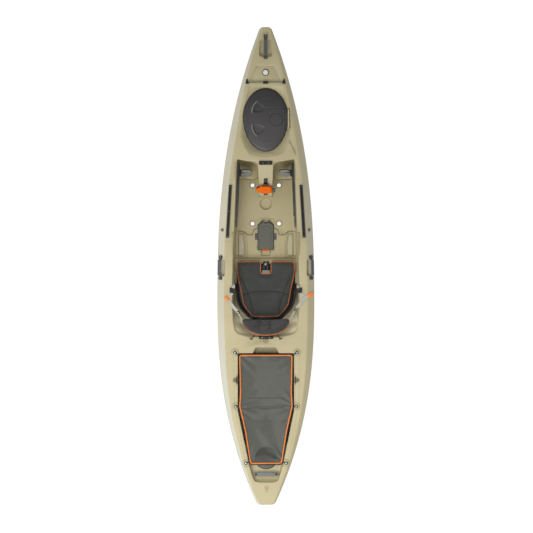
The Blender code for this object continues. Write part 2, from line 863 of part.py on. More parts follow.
def build_bow_hatch():
    """Rim screwed in the recess, foam seal on it, and a domed lid hinged at its starboard side."""
    floor = -HATCH_RECESS + GAP
    rim_top = floor + HATCH_RIM_HEIGHT
    seal_top = rim_top + GAP + SEAL_HEIGHT
    lid_low = seal_top + GAP
    axis = HATCH_FRAME @ Vector((HINGE_X, 0.0, HINGE_Z))

    rim = solid(
        "bow_hatch_rim",
        moved(frame_ring(egg(HATCH_MARGIN - 0.002), egg(-HATCH_RIM), floor, rim_top), HATCH_FRAME),
        "black nylon",
        HATCH_FRAME.translation,
    )
    for i, (near, far) in enumerate(((-0.088, -0.076), (0.056, 0.068))):
        x = (HINGE_X - HINGE_EYE, HINGE_X + HINGE_EYE)
        foot = box((HATCH_HALF - 0.018, x[1]), (near, far), (GAP - HINGE_POCKET, rim_top - 0.001))
        ear = box(x, (near + 0.0004, far - 0.0004), (0.0008 - HINGE_POCKET, HINGE_Z))
        eye = rod((HINGE_X, near + 0.0002, HINGE_Z), (HINGE_X, far - 0.0002, HINGE_Z), HINGE_EYE)
        for label, bm in (("foot", foot), ("ear", ear), ("eye", eye)):
            join(rim, helper(f"bow_hinge_{label}_{i}", moved(bm, HATCH_FRAME)))
    bore = rod((HINGE_X, -0.2, HINGE_Z), (HINGE_X, 0.2, HINGE_Z), PIN_RADIUS + PIN_CLEARANCE)
    bore = helper("bow_hinge_bore", moved(bore, HATCH_FRAME))
    cut(rim, bore)

    ring = frame_ring(egg(-0.008), egg(-0.018), rim_top + GAP, seal_top)
    solid("bow_hatch_seal", moved(ring, HATCH_FRAME), "seal foam", HATCH_FRAME.translation)

    rings = [
        egg_ring(0.0, 0.0175, 0.3),
        egg_ring(-0.034, 0.008),
        egg_ring(-0.024, lid_low),
        egg_ring(0.0, lid_low),
        egg_ring(0.0, 0.004),
        egg_ring(-0.008, 0.0095),
        egg_ring(-0.0, 0.0195, 0.68),
        egg_ring(0.0, 0.0225, 0.3),
    ]
    hinge = joint_empty("bow_hatch_hinge", axis)
    lid = solid("bow_hatch_lid", moved(loft(rings), HATCH_FRAME), "dark grey plastic", axis, hinge)
    for i, (near, far) in enumerate(((-0.070, -0.020), (0.000, 0.050))):
        web = box((HATCH_HALF - 0.016, HINGE_X), (near, far), (0.0005, 0.0085))
        eye = rod((HINGE_X, near - 0.0005, HINGE_Z), (HINGE_X, far + 0.0005, HINGE_Z), HINGE_EYE)
        join(lid, helper(f"bow_lid_web_{i}", moved(web, HATCH_FRAME)))
        join(lid, helper(f"bow_lid_eye_{i}", moved(eye, HATCH_FRAME)))
    cut(lid, bore)
    smooth(lid)
    pin = rod((HINGE_X, -0.090, HINGE_Z), (HINGE_X, 0.070, HINGE_Z), PIN_RADIUS, sides=12)
    solid("bow_hatch_pin", moved(pin, HATCH_FRAME), "stainless steel", axis)


def build_midship_hatch():
    """Rectangular hatch in the footwell floor, hinged at its bow end and latched at the stern end."""
    at = Matrix.Translation((0.0, MID_HATCH_Y, FOOTWELL_FLOOR))
    rim_low, rim_top = GAP, MID_RIM_HEIGHT
    seal_low, seal_top = rim_top + GAP, rim_top + GAP + 0.004
    lid_low = seal_top + GAP
    lid_top = lid_low + 0.010
    axis_y, axis_z, eye = MID_HATCH_REACH + 0.007, lid_low + 0.0045, 0.0045
    outer = rectangle(MID_HATCH_HALF + 0.004, MID_HATCH_REACH + 0.004, 0.012)
    inner = rectangle(MID_OPENING_HALF + 0.001, MID_OPENING_REACH + 0.001, 0.012)
    ring = moved(frame_ring(outer, inner, rim_low, rim_top), at)
    rim = solid("midship_hatch_rim", ring, "dark grey plastic", at.translation)
    for side in (-1, 1):
        x = sorted((side * (MID_HATCH_HALF - 0.002), side * (MID_HATCH_HALF + 0.0225)))
        tab = box(x, (-0.029, 0.021), (rim_low + 0.0004, 0.007), 0.001)
        join(rim, helper(f"midship_tab_{side}", moved(tab, at)))
        x = sorted((side * 0.0265, side * 0.0345))
        ear = box(x, (MID_HATCH_REACH + 0.0006, axis_y + eye), (rim_low + 0.0007, axis_z))
        knuckle = rod((x[0] + 0.0003, axis_y, axis_z), (x[1] - 0.0003, axis_y, axis_z), eye)
        join(rim, helper(f"midship_ear_{side}", moved(ear, at)))
        join(rim, helper(f"midship_knuckle_{side}", moved(knuckle, at)))
    bore = rod((-0.1, axis_y, axis_z), (0.1, axis_y, axis_z), 0.0019 + PIN_CLEARANCE, sides=12)
    bore = helper("midship_bore", moved(bore, at))
    cut(rim, bore)
    # Room for the lid's own lugs between the ears
    seal = frame_ring(
        rectangle(MID_HATCH_HALF - 0.003, MID_HATCH_REACH - 0.003, 0.010),
        rectangle(MID_HATCH_HALF - 0.009, MID_HATCH_REACH - 0.009, 0.006),
        seal_low,
        seal_top,
    )
    solid("midship_hatch_seal", moved(seal, at), "seal foam", at.translation)

    half, reach = MID_HATCH_HALF, MID_HATCH_REACH
    outline = rounded(
        [
            (half, -reach, 0.010),
            (half, reach - 0.022, 0.006),
            (half - 0.020, reach, 0.006),
            (-half + 0.020, reach, 0.006),
            (-half, reach - 0.022, 0.006),
            (-half, -reach, 0.010),
        ]
    )
    hinge_at = at @ Vector((0.0, axis_y, axis_z))
    hinge = joint_empty("midship_hatch_hinge", hinge_at)
    rings = [level(outline, lid_low), level(outline, lid_top - 0.004)]
    rings.append([(x * 0.90, y * 0.94, lid_top) for x, y in outline])
    lid = solid("midship_hatch_lid", moved(loft(rings), at), "dark grey plastic", hinge_at, hinge)
    for side in (-1, 1):
        x = sorted((side * 0.0125, side * 0.0262))
        web = box(x, (reach - 0.006, axis_y), (lid_low + 0.001, lid_top - 0.005))
        knuckle = rod((x[0] + 0.0003, axis_y, axis_z), (x[1] - 0.0003, axis_y, axis_z), eye)
        join(lid, helper(f"midship_lug_{side}", moved(web, at)))
        join(lid, helper(f"midship_eye_{side}", moved(knuckle, at)))
    cut(lid, bore)
    pin = rod((-0.036, axis_y, axis_z), (0.036, axis_y, axis_z), 0.0019, sides=12)
    solid("midship_hatch_pin", moved(pin, at), "stainless steel", hinge_at)

    # Latch that hangs behind the lid and hooks over the rim's stern edge
    latch_y, latch_z, knuckle = -reach - 0.0042, lid_low + 0.0050, 0.0037
    latch_at = at @ Vector((0.0, latch_y, latch_z))
    turn = joint_empty("midship_latch_hinge", latch_at, hinge)
    roll = rod((-0.025, latch_y, latch_z), (0.025, latch_y, latch_z), knuckle)
    latch = solid("midship_hatch_latch", moved(roll, at), "orange nylon", latch_at, turn)
    tongue = box((-0.0248, 0.0248), (latch_y - 0.0035, latch_y - 0.0002), (0.003, latch_z))
    join(latch, helper("midship_latch_tongue", moved(tongue, at)))


def build_stern_hatch():
    """Round rim on the tank well's shelf, and a lid that turns in it."""
    floor = SHELF_HEIGHT
    at = (0.0, STERN_HATCH_Y)
    rim = frame_ring(
        circle(STERN_RIM_RADIUS, at),
        circle(STERN_NECK_RADIUS, at),
        floor + GAP,
        floor + STERN_RIM_HEIGHT,
    )
    solid("stern_hatch_rim", rim, "black nylon", (*at, floor))
    low = floor + STERN_RIM_HEIGHT + GAP
    rings = [
        level(circle(STERN_NECK_RADIUS - 0.0015, at), floor - 0.003),
        level(circle(STERN_NECK_RADIUS - 0.0015, at), low),
        level(circle(STERN_LID_RADIUS, at), low),
        level(circle(STERN_LID_RADIUS, at), low + 0.006),
        level(circle(STERN_LID_RADIUS - 0.012, at), low + 0.012),
    ]
    lid = solid("stern_hatch_lid", loft(rings), "dark grey plastic", (*at, low))
    grip = box((-0.045, 0.045), (at[1] - 0.007, at[1] + 0.007), (low + 0.010, low + 0.019), 0.002)
    join(lid, helper("stern_lid_grip", grip))
    smooth(lid)


# Fittings in and beside the footwell


def wall_frame(y, z):
    """A frame on the cockpit's straight starboard wall: X outwards, Y along to the bow, Z up the wall."""
    lean = (cockpit_half(0.0) - FOOTWELL_FRONT_HALF) / FOOTWELL_FRONT
    along = Vector((-lean, 1.0, 0.0)).normalized()
    outward = Vector((1.0, lean, -DRAFT)).normalized()
    up = outward.cross(along)
    turn = Matrix((outward, along, up)).transposed().to_4x4()
    x = cockpit_half(y) - (SIDE_HEIGHT - z) * DRAFT
    return Matrix.Translation((x, y, z)) @ turn


def slotted_bar(width, height, slot, depth, length):
    """A bar along Y with a T slot, its back at Z = 0 and its mouth up."""
    half, lip, inner = width / 2, 0.0025, slot / 2 + 0.0035
    section = [
        (-half, 0.0),
        (half, 0.0),
        (half, height),
        (slot / 2, height),
        (slot / 2, height - lip),
        (inner, height - lip),
        (inner, height - depth),
        (-inner, height - depth),
        (-inner, height - lip),
        (-slot / 2, height - lip),
        (-slot / 2, height),
        (-half, height),
    ]
    return loft([[(x, y, z) for x, z in section] for y in (-length / 2, length / 2)])


def build_foot_braces():
    """A slotted rail on each wall, a carriage that slides in it with the pedal, and a lock handle."""
    middle = RAIL_FRONT - RAIL_LENGTH / 2
    frame = wall_frame(middle, RAIL_HEIGHT)
    mouth_in = Matrix.Rotation(-math.pi / 2, 4, "Y")
    bar = slotted_bar(RAIL_WIDTH, RAIL_DEPTH, RAIL_SLOT, 0.011, RAIL_LENGTH)
    seat = frame @ Matrix.Translation((-GAP, 0.0, 0.0)) @ mouth_in
    rail = solid("foot_rail_right", moved(bar, seat), "black nylon", seat.translation)

    along = PEDAL_Y - middle
    carriage_at = frame @ Vector((-RAIL_DEPTH, along, 0.0))
    slide = joint_empty("foot_slide_right", carriage_at)
    face = -GAP - RAIL_DEPTH - GAP
    block = box((face - 0.014, face), (along - 0.028, along + 0.028), (-0.018, 0.018), 0.002)
    carriage = solid("foot_carriage_right", moved(block, frame), "black nylon", carriage_at, slide)
    neck = box((face - 0.002, face + 0.0045), (along - 0.024, along + 0.024), (-0.0045, 0.0045))
    key = box((face + 0.0035, face + 0.0075), (along - 0.0235, along + 0.0235), (-0.0077, 0.0077))
    arm_z = 0.009
    arm = box((face - 0.034, face - 0.010), (along - 0.012, along + 0.012), (-arm_z, arm_z), 0.001)
    for label, bm in (("neck", neck), ("key", key), ("arm", arm)):
        join(carriage, helper("foot_carriage_" + label, moved(bm, frame)))

    # The pedal pad leans its top towards the bow and is carried by the arm
    outer = PEDAL_INNER + PEDAL_WIDTH
    lean = Matrix.Translation((0.0, PEDAL_Y, RAIL_HEIGHT - 0.020)) @ Matrix.Rotation(-PEDAL_LEAN, 4, "X")
    outline = rectangle(PEDAL_WIDTH / 2, PEDAL_TALL / 2, 0.014)
    stand = Matrix.Translation(((PEDAL_INNER + outer) / 2, 0.0, 0.0)) @ Matrix.Rotation(math.pi / 2, 4, "X")
    pad = moved(plate(outline, 0.0, PEDAL_THICK), lean @ stand)
    arm_end = frame @ Vector((face - 0.034, along, 0.0))
    pedal = solid("foot_pedal_right", pad, "dark grey plastic", carriage_at, slide)
    boss = box(
        (arm_end.x - 0.026, arm_end.x - GAP - 0.001),
        (PEDAL_Y - 0.016, PEDAL_Y + 0.012),
        (RAIL_HEIGHT - 0.010, RAIL_HEIGHT + 0.010),
    )
    join(pedal, helper("foot_pedal_boss", boss))
    room = box((face - 0.0345, face + 0.02), (along - 0.03, along + 0.03), (-0.019, 0.019))
    cut(pedal, helper("foot_carriage_room", moved(room, frame)))

    lock_frame = frame @ Matrix.Translation((-GAP - RAIL_DEPTH / 2, -RAIL_LENGTH / 2 - GAP, 0.0))
    lock_at = lock_frame.translation
    turn = joint_empty("foot_lock_right_axis", lock_at)
    grip = rod((0, 0, 0), (0, -LOCK_LENGTH, 0), 0.0085, 0.0075, sides=12)
    lock = solid("foot_lock_right", moved(grip, lock_frame), "dark grey plastic", lock_at, turn)
    wing = box((-0.003, 0.003), (-LOCK_LENGTH + 0.004, -0.034), (-0.012, 0.0), 0.001)
    join(lock, helper("foot_lock_wing", moved(wing, lock_frame)))

    settle()
    port_copy(rail, "foot_rail_left")
    port_slide = joint_empty("foot_slide_left", carriage_at * Vector((-1.0, 1.0, 1.0)))
    port_copy(carriage, "foot_carriage_left", port_slide)
    port_copy(pedal, "foot_pedal_left", port_slide)
    port_turn = joint_empty("foot_lock_left_axis", lock_at * Vector((-1.0, 1.0, 1.0)))
    port_copy(lock, "foot_lock_left", port_turn)


def build_tracks():
    """Slotted gear tracks screwed along the side decks."""
    inner = BEVEL_WIDTH + TRACK_WIDTH / 2
    front = Vector((half_beam(TRACK_FRONT_Y) - inner, TRACK_FRONT_Y))
    rear = Vector((half_beam(TRACK_REAR_Y) - inner - TRACK_REAR_MARGIN, TRACK_REAR_Y))
    middle = (front + rear) / 2
    angle = -math.atan2(front.x - rear.x, front.y - rear.y)
    at = Matrix.Translation((*middle, SIDE_HEIGHT + GAP)) @ Matrix.Rotation(angle, 4, "Z")
    bar = slotted_bar(TRACK_WIDTH, TRACK_HEIGHT, 0.008, 0.0075, (front - rear).length)
    right = solid("gear_track_right", moved(bar, at), "black nylon", at.translation)
    settle()
    port_copy(right, "gear_track_left")

    # Studs that keep a paddle on the gunwale
    stud_frame = bevel_frame(0.282, 0.012, 0.45)
    peg = moved(rod((0, 0, GAP), (0, 0, 0.010), 0.011, 0.009), stud_frame)
    stud = solid("paddle_stud_right", peg, "dark grey plastic", stud_frame.translation)
    settle()
    port_copy(stud, "paddle_stud_left")


def build_console_fittings():
    """Accessory plate on the deck ahead of the console, and the clip on its own short track."""
    y = CONSOLE_TOP + 0.0215
    block = box((-0.0525, 0.0525), (y - 0.015, y + 0.015), (SIDE_HEIGHT + GAP, SIDE_HEIGHT + 0.006), 0.0015)
    solid("console_plate", block, "dark grey plastic", (0.0, y, SIDE_HEIGHT))
    ramp = console_ramp()
    base = ramp @ Matrix.Translation((0.0, 0.0, GAP))
    bar = slotted_bar(CLIP_TRACK_WIDTH, CLIP_TRACK_HEIGHT, 0.010, 0.0062, CLIP_TRACK_LENGTH)
    solid("clip_track", moved(bar, base), "black nylon", base.translation)

    low = GAP + CLIP_TRACK_HEIGHT + GAP
    slope = math.atan2(SIDE_HEIGHT - CONSOLE_LOW, CONSOLE_TOP - CONSOLE_FOOT)
    along = (CLIP_Y - CLIP_TRACK_Y) / math.cos(slope)
    clip_at = ramp @ Vector((0.0, along, low))
    slide = joint_empty("clip_slide", clip_at)
    outline = rounded(
        [
            (0.049, along - 0.022, 0.006),
            (0.049, along + 0.020, 0.010),
            (0.026, along + 0.032, 0.006),
            (-0.034, along + 0.032, 0.008),
            (-0.078, along + 0.014, 0.006),
            (-0.078, along - 0.010, 0.008),
            (-0.030, along - 0.032, 0.010),
            (0.020, along - 0.032, 0.010),
        ]
    )
    rings = [level(outline, low), level(outline, low + 0.018)]
    rings.append([(0.85 * x, along + 0.80 * (y - along), low + 0.027) for x, y in outline])
    body = solid("clip_body", moved(loft(rings), ramp), "orange nylon", clip_at, slide)
    neck = box((-0.0046, 0.0046), (along - 0.020, along + 0.020), (low - 0.0040, low + 0.004))
    key = box((-0.0078, 0.0078), (along - 0.0195, along + 0.0195), (low - 0.0058, low - 0.0033))
    join(body, helper("clip_neck", moved(neck, ramp)), helper("clip_key", moved(key, ramp)))

    knob_z = low + 0.0175
    knob_at = ramp @ Vector((0.049 + GAP, along - 0.003, knob_z))
    turn = joint_empty("clip_knob_axis", knob_at, slide)
    knob = rod((0.049 + GAP, along - 0.003, knob_z), (0.075, along - 0.003, knob_z), KNOB_RADIUS, 0.0145)
    smooth(solid("clip_knob", moved(knob, ramp), "dark grey plastic", knob_at, turn))


# Seat


def pad_half_width(y):
    """Half width of the seat pad from its front to its rear edge."""
    ends = [
        (PAD_FRONT, PAD_HALF - 0.001),
        (PAD_FRONT - 0.05, PAD_HALF + 0.001),
        (0.203 * PAD_REAR, PAD_HALF - 0.006),
        (0.468 * PAD_REAR, PAD_HALF - 0.030),
        (0.760 * PAD_REAR, PAD_HALF - 0.049),
        (0.873 * PAD_REAR, PAD_HALF - 0.078),
        (PAD_REAR, PAD_HALF - 0.120),
    ]
    for (front, wide), (rear, narrow) in zip(ends, ends[1:]):
        if y >= rear:
            return narrow + (wide - narrow) * (y - rear) / (front - rear)
    return ends[-1][1]


def seat_axis_rod(left, right, radius, sides=16):
    return rod((left, SEAT_AXIS_Y, SEAT_AXIS_Z), (right, SEAT_AXIS_Y, SEAT_AXIS_Z), radius, sides=sides)


def build_seat_pan():
    """Base shell that lies on the seat floor, with side wings and ears for the backrest."""
    wing = [
        (PAD_HALF - 0.002, 0.354 * PAD_REAR),
        (PAD_HALF - 0.008, 0.633 * PAD_REAR),
        (PAD_HALF - 0.040, 0.848 * PAD_REAR),
        (PAD_HALF - 0.100, PAD_REAR - 0.003),
    ]
    front = PAD_FRONT - 0.0086
    half = [(0.0, front), (PAD_HALF - 0.008, front), (PAD_HALF, front - 0.048)]
    half.append((PAD_HALF + 0.0005, wing[0][1]))
    half += [(x + 0.0025, y - 0.0015) for x, y in wing[1:]] + [(0.0, PAD_REAR - 0.0105)]
    low, high = SEAT_FLOOR + GAP, SEAT_FLOOR + PAN_THICK
    pan = solid("seat_pan", plate(mirror_outline(half), low, high), "black nylon", (0.0, 0.0, low))
    for side in (-1, 1):
        points = [(side * x, y, (low + WING_TOP) / 2 + 0.001) for x, y in wing]
        bm = ribbon(points, (side, 0.0, 0.0), WING_TOP - low - 0.003, 0.004)
        join(pan, helper(f"pan_wing_{side}", bm))
        x = sorted((side * 0.080, side * 0.100))
        foot = box(x, (SEAT_AXIS_Y - 0.009, PAD_REAR + 0.015), (low + 0.0005, high - 0.0005))
        y = (SEAT_AXIS_Y - 0.0085, SEAT_AXIS_Y + 0.0085)
        ear = box((x[0] + 0.0003, x[1] - 0.0003), y, (low + 0.001, SEAT_AXIS_Z))
        eye = seat_axis_rod(x[0] + 0.0006, x[1] - 0.0006, 0.0088)
        for label, bm in (("foot", foot), ("ear", ear), ("eye", eye)):
            join(pan, helper(f"pan_{label}_{side}", bm))
    bore = helper("seat_bore", seat_axis_rod(-0.2, 0.2, SEAT_PIN_RADIUS + PIN_CLEARANCE, 12))
    cut(pan, bore)
    pin = seat_axis_rod(-0.120, 0.120, SEAT_PIN_RADIUS, 12)
    solid("backrest_pin", pin, "stainless steel", (0.0, SEAT_AXIS_Y, SEAT_AXIS_Z))
    return bore


def build_base_pad():
    """Cushion with a crown, drawn-in sides, a strap notch and three sewn channels."""
    low = SEAT_FLOOR + PAN_THICK + GAP
    rows, columns = 19, 22
    notch_row = PAD_FRONT - NOTCH_DEPTH
    places = [PAD_FRONT + (PAD_REAR - PAD_FRONT) * i / rows for i in range(rows + 1)]
    near = min(range(rows + 1), key=lambda i: abs(places[i] - notch_row))
    places[near] = notch_row
    middle = columns // 2

    def across(y, column):
        share = (column - middle) / middle
        half = pad_half_width(y)
        step = abs(column - middle)
        if step <= 2:
            return math.copysign(NOTCH_HALF * step / 2, share) if step else 0.0
        outer = (step - 2) / (middle - 2)
        return math.copysign(NOTCH_HALF + (half - NOTCH_HALF) * outer, share)

    def height(x, y):
        half = pad_half_width(y)
        notch = math.hypot(max(0.0, abs(x) - NOTCH_HALF), max(0.0, notch_row - y))
        edge = min(half - abs(x), PAD_FRONT - y, y - PAD_REAR, notch)
        rise = math.sqrt(min(1.0, max(0.0, edge) / 0.030))
        crown = PAD_CROWN * (1.0 - (x / half) ** 2) * rise
        side_seam = abs(abs(x) - (0.19 + 0.35 * (y + 0.1))) if y < -0.08 else 1.0
        cross_seam = abs(y - (-0.200 - 0.55 * x * x))
        dip = 0.006 * math.exp(-((min(side_seam, cross_seam) / 0.009) ** 2))
        return low + 0.026 + (PAD_THICK - 0.026) * rise + crown - dip

    bm = bmesh.new()
    grid = [[bm.verts.new((across(y, c), y, height(across(y, c), y))) for c in range(columns + 1)] for y in places]
    for i in range(rows):
        for c in range(columns):
            if i < near and abs(c + 0.5 - middle) < 2:
                continue
            bm.faces.new((grid[i][c], grid[i][c + 1], grid[i + 1][c + 1], grid[i + 1][c]))
    for vert in [v for v in bm.verts if not v.link_faces]:
        bm.verts.remove(vert)
    top = list(bm.faces)
    lowered = bmesh.ops.extrude_face_region(bm, geom=top)["geom"]
    for vert in (v for v in lowered if isinstance(v, bmesh.types.BMVert)):
        vert.co.z = low
        vert.co.x *= 0.985
    pad = solid("seat_base_pad", bm, "charcoal fabric", (0.0, 0.0, low))
    smooth(pad)


def back_point(x, up, out):
    """A point of the backrest: across, up along it, and out of its front face."""
    up_axis = Vector((0.0, -math.sin(BACK_LEAN), math.cos(BACK_LEAN)))
    out_axis = Vector((0.0, math.cos(BACK_LEAN), math.sin(BACK_LEAN)))
    wrapped = out + BACK_WRAP * (x / BACK_HALF) ** 2
    return Vector((x, SEAT_AXIS_Y, SEAT_AXIS_Z)) + up_axis * up + out_axis * wrapped


def back_top(x, half, tall):
    """Height of the backrest's rounded top edge."""
    low = 0.21 * tall
    return low + (tall - low) * math.sqrt(max(0.0, 1.0 - abs(x / half) ** 2.4))


def back_shape(half, tall, bottom, behind, front):
    """A closed curved slab between a rear face and a front face given as functions of (x, up)."""
    columns, rows = 18, 7
    bm = bmesh.new()
    sheets = []
    for face in (behind, front):
        sheet = []
        for c in range(columns + 1):
            x = half * math.sin(math.pi / 2 * (2 * c / columns - 1))
            top = back_top(x, half, tall)
            ups = [bottom + (top - bottom) * r / rows for r in range(rows + 1)]
            sheet.append([bm.verts.new(back_point(x, up, face(x, up, top))) for up in ups])
        sheets.append(sheet)
    for sheet in sheets:
        for c in range(columns):
            for r in range(rows):
                bm.faces.new((sheet[c][r], sheet[c + 1][r], sheet[c + 1][r + 1], sheet[c][r + 1]))
    rear, fore = sheets
    for c in range(columns):
        for r in (0, rows):
            bm.faces.new((rear[c][r], rear[c + 1][r], fore[c + 1][r], fore[c][r]))
    for r in range(rows):
        for c in (0, columns):
            bm.faces.new((rear[c][r], rear[c][r + 1], fore[c][r + 1], fore[c][r]))
    return bm


def build_backrest(bore):
    """Curved shell on the seat pin, with the crowned pad in front of it."""
    axis = (0.0, SEAT_AXIS_Y, SEAT_AXIS_Z)
    hinge = joint_empty("backrest_hinge", axis)
    shell_half, shell_tall = BACK_HALF - 0.014, BACK_TALL - 0.012
    bm = back_shape(
        shell_half, shell_tall, BACK_BOTTOM - 0.012, lambda x, up, top: -0.0055, lambda x, up, top: -0.0005
    )
    shell = solid("backrest_frame", bm, "black nylon", axis, hinge)
    for side in (-1, 1):
        x = sorted((side * 0.1005, side * 0.1165))
        eye = seat_axis_rod(x[0], x[1], 0.0095)
        web_low = back_point(side * 0.1085, 0.0, -0.006)
        web_high = back_point(side * 0.1085, 0.060, -0.009)
        web = ribbon([web_low, web_high], (0.0, 1.0, 0.0), 0.0155, 0.011)
        join(shell, helper(f"back_web_{side}", web), helper(f"back_eye_{side}", eye))
    cut(shell, bore)

    def front(x, up, top):
        side = min((BACK_HALF - abs(x)) / 0.030, (top - up) / 0.030, (up - BACK_BOTTOM) / 0.030)
        rise = math.sqrt(min(1.0, max(0.0, side)))
        seam = 0.007 * math.exp(-(((abs(x) - 0.045) / 0.010) ** 2))
        return 0.012 + (BACK_PAD_THICK - 0.012) * rise - seam * rise

    pad = back_shape(BACK_HALF, BACK_TALL, BACK_BOTTOM, lambda x, up, top: 0.0002, front)
    smooth(solid("backrest_pad", pad, "charcoal fabric", axis, hinge))


def build_seat_straps():
    """Side straps that hold the backrest up, with their buckles on the side deck."""
    deck, x, y = SIDE_HEIGHT, BUCKLE_X, BUCKLE_Y
    buckle = box((x - 0.017, x + 0.017), (y - 0.020, y + 0.020), (deck + GAP, deck + 0.011), 0.002)
    right = solid("strap_buckle_right", buckle, "black nylon", (x, y, deck))
    z = deck + 0.0028
    hold = back_point(BACK_HALF, 0.100, 0.006) + Vector((WEBBING_THICK / 2 + GAP * 2, 0.0, 0.0))
    route = [
        (x + 0.003, y - 0.0227, z),
        (x + 0.010, y - 0.057, z + 0.001),
        (x - 0.006, y - 0.102, z + 0.006),
        (x - 0.038, y - 0.157, z + 0.004),
        tuple(hold + Vector((0.010, 0.040, 0.014))),
        tuple(hold + Vector((0.0, 0.012, 0.004))),
        tuple(hold + Vector((0.0, -0.008, -0.004))),
    ]
    normals = [(0, 0, 1), (0.05, 0, 1), (0.2, 0.1, 1), (0.7, 0.3, 0.7), (1.0, 0.3, 0.2), (1, 0, 0), (1, 0, 0)]
    webbing = ribbon(route, normals, WEBBING_WIDTH, WEBBING_THICK)
    strap = solid("side_strap_right", webbing, "grey webbing", route[1])
    tail = [(x + 0.008, y - 0.052, z + 0.0004), (x + 0.076, y - 0.034, z + 0.003)]
    tail = ribbon(tail, (0, 0, 1), WEBBING_WIDTH, WEBBING_THICK + 0.0008)
    join(strap, helper("side_strap_tail", tail))
    lead = []
    for ahead, height in ((0.138, SEAT_FLOOR + 0.040), (0.103, SEAT_FLOOR + 0.100), (0.070, deck - 0.020)):
        wall = wall_frame(y + ahead, height).translation
        lead.append((wall.x - WEBBING_THICK / 2 - GAP * 2, y + ahead, height))
    lead += [(x - 0.027, y + 0.051, deck + 0.0170), (x - 0.004, y + 0.030, deck + 0.0075)]
    facing = [(1.0, 0.0, -DRAFT)] * 3 + [(0.6, 0.0, 0.8), (0.0, 0.0, 1.0)]
    webbing = ribbon(lead, facing, WEBBING_WIDTH, WEBBING_THICK)
    front = solid("strap_lead_right", webbing, "grey webbing", lead[0])
    settle()
    port_copy(right, "strap_buckle_left")
    port_copy(strap, "side_strap_left")
    port_copy(front, "strap_lead_left")


def build_seat_fittings():
    """Lift strap in the pad's notch, and the bracket that holds the seat behind."""
    low = SEAT_FLOOR + PAN_THICK + GAP
    strap = box((-0.024, 0.024), (-0.034, PAD_FRONT), (low, low + 0.018), 0.002)
    lift = solid("seat_lift_strap", strap, "black nylon", (0.0, 0.0, low))
    tab = box((-0.0345, 0.0345), (-0.064, -0.030), (low + 0.0004, low + 0.034), 0.003)
    join(lift, helper("lift_tab", tab))
    y = (COCKPIT_REAR - 0.015, COCKPIT_REAR + 0.010)
    base = box((-0.056, 0.056), y, (SIDE_HEIGHT + GAP, SIDE_HEIGHT + 0.008), 0.001)
    bracket = solid("seat_rear_bracket", base, "black nylon", (0.0, y[0], SIDE_HEIGHT))
    for side in (-1, 1):
        x = sorted((side * 0.040, side * 0.055))
        block = box(x, (y[0] + 0.002, y[1] - 0.002), (SIDE_HEIGHT + 0.004, SIDE_HEIGHT + 0.020), 0.001)
        join(bracket, helper(f"bracket_block_{side}", block))


# Tank well cover and hull protection


def cover_half(y):
    """Half width of the tank well cover, which is waisted ahead of its middle anchors."""
    ends = [
        (COVER_FRONT, TANK_HALF - 0.014),
        (COVER_WAIST, TANK_HALF - 0.0195),
        (COVER_SHOULDER, TANK_HALF - 0.0095),
        (COVER_REAR, tank_place(COVER_REAR)[0] - 0.012),
    ]
    for (front, wide), (rear, narrow) in zip(ends, ends[1:]):
        if y >= rear:
            return narrow + (wide - narrow) * (y - rear) / (front - rear)
    return ends[-1][1]


def build_cover():
    """Stretched sheet over the tank well, sagging a little, with a tab to each of six anchors."""
    rows, columns = 14, 10
    bm = bmesh.new()
    sheets = []
    for lift in (COVER_LIFT, COVER_LIFT + COVER_THICK):
        sheet = []
        for i in range(rows + 1):
            y = COVER_FRONT + (COVER_REAR - COVER_FRONT) * i / rows
            row = []
            for c in range(columns + 1):
                share = 2 * c / columns - 1
                along = math.sin(math.pi * i / rows)
                sag = COVER_SAG * (1.0 - share * share) * along
                row.append(bm.verts.new((cover_half(y) * share, y, sheer(y) + lift - sag)))
            sheet.append(row)
        sheets.append(sheet)
    for sheet in sheets:
        for i in range(rows):
            for c in range(columns):
                bm.faces.new((sheet[i][c], sheet[i][c + 1], sheet[i + 1][c + 1], sheet[i + 1][c]))
    low, high = sheets
    for c in range(columns):
        for i in (0, rows):
            bm.faces.new((low[i][c], low[i][c + 1], high[i][c + 1], high[i][c]))
    for i in range(rows):
        for c in (0, columns):
            bm.faces.new((low[i][c], low[i + 1][c], high[i + 1][c], high[i][c]))
    cover = solid("tank_cover", bm, "grey mesh fabric", (0.0, COVER_FRONT, SIDE_HEIGHT))

    # Each corner: where its anchor stands, and where the cover's tab starts
    rear_anchor = COVER_REAR + 0.0055
    corners = {
        "front": ((TANK_HALF + 0.022, TANK_FRONT + 0.007), (TANK_HALF - 0.030, COVER_FRONT - 0.012)),
        "middle": ((TANK_HALF + 0.017, COVER_SHOULDER - 0.001), (TANK_HALF - 0.030, COVER_SHOULDER)),
        "rear": (
            (tank_place(rear_anchor)[0] + 0.025, rear_anchor),
            (cover_half(COVER_REAR) - 0.020, COVER_REAR + 0.0175),
        ),
    }
    for place, (anchor, hold) in corners.items():
        for side, hand in ((-1, "left"), (1, "right")):
            frame = deck_frame(side * anchor[0], anchor[1])
            post = rod((0, 0, GAP), (0, 0, ANCHOR_HEIGHT), ANCHOR_RADIUS, ANCHOR_RADIUS - 0.002, sides=12)
            name = f"cover_anchor_{place}_{hand}"
            solid(name, moved(post, frame), "stainless steel", frame.translation)
            end = Vector((side * anchor[0], anchor[1], sheer(anchor[1]) + 0.002))
            start = Vector((side * hold[0], hold[1], sheer(hold[1]) + 0.002))
            pull = (start - end).normalized()
            tab = ribbon([start, end + pull * (ANCHOR_RADIUS + 0.0005)], (0, 0, 1), 0.018, 0.0018)
            join(cover, helper(f"cover_tab_{place}_{hand}", tab))


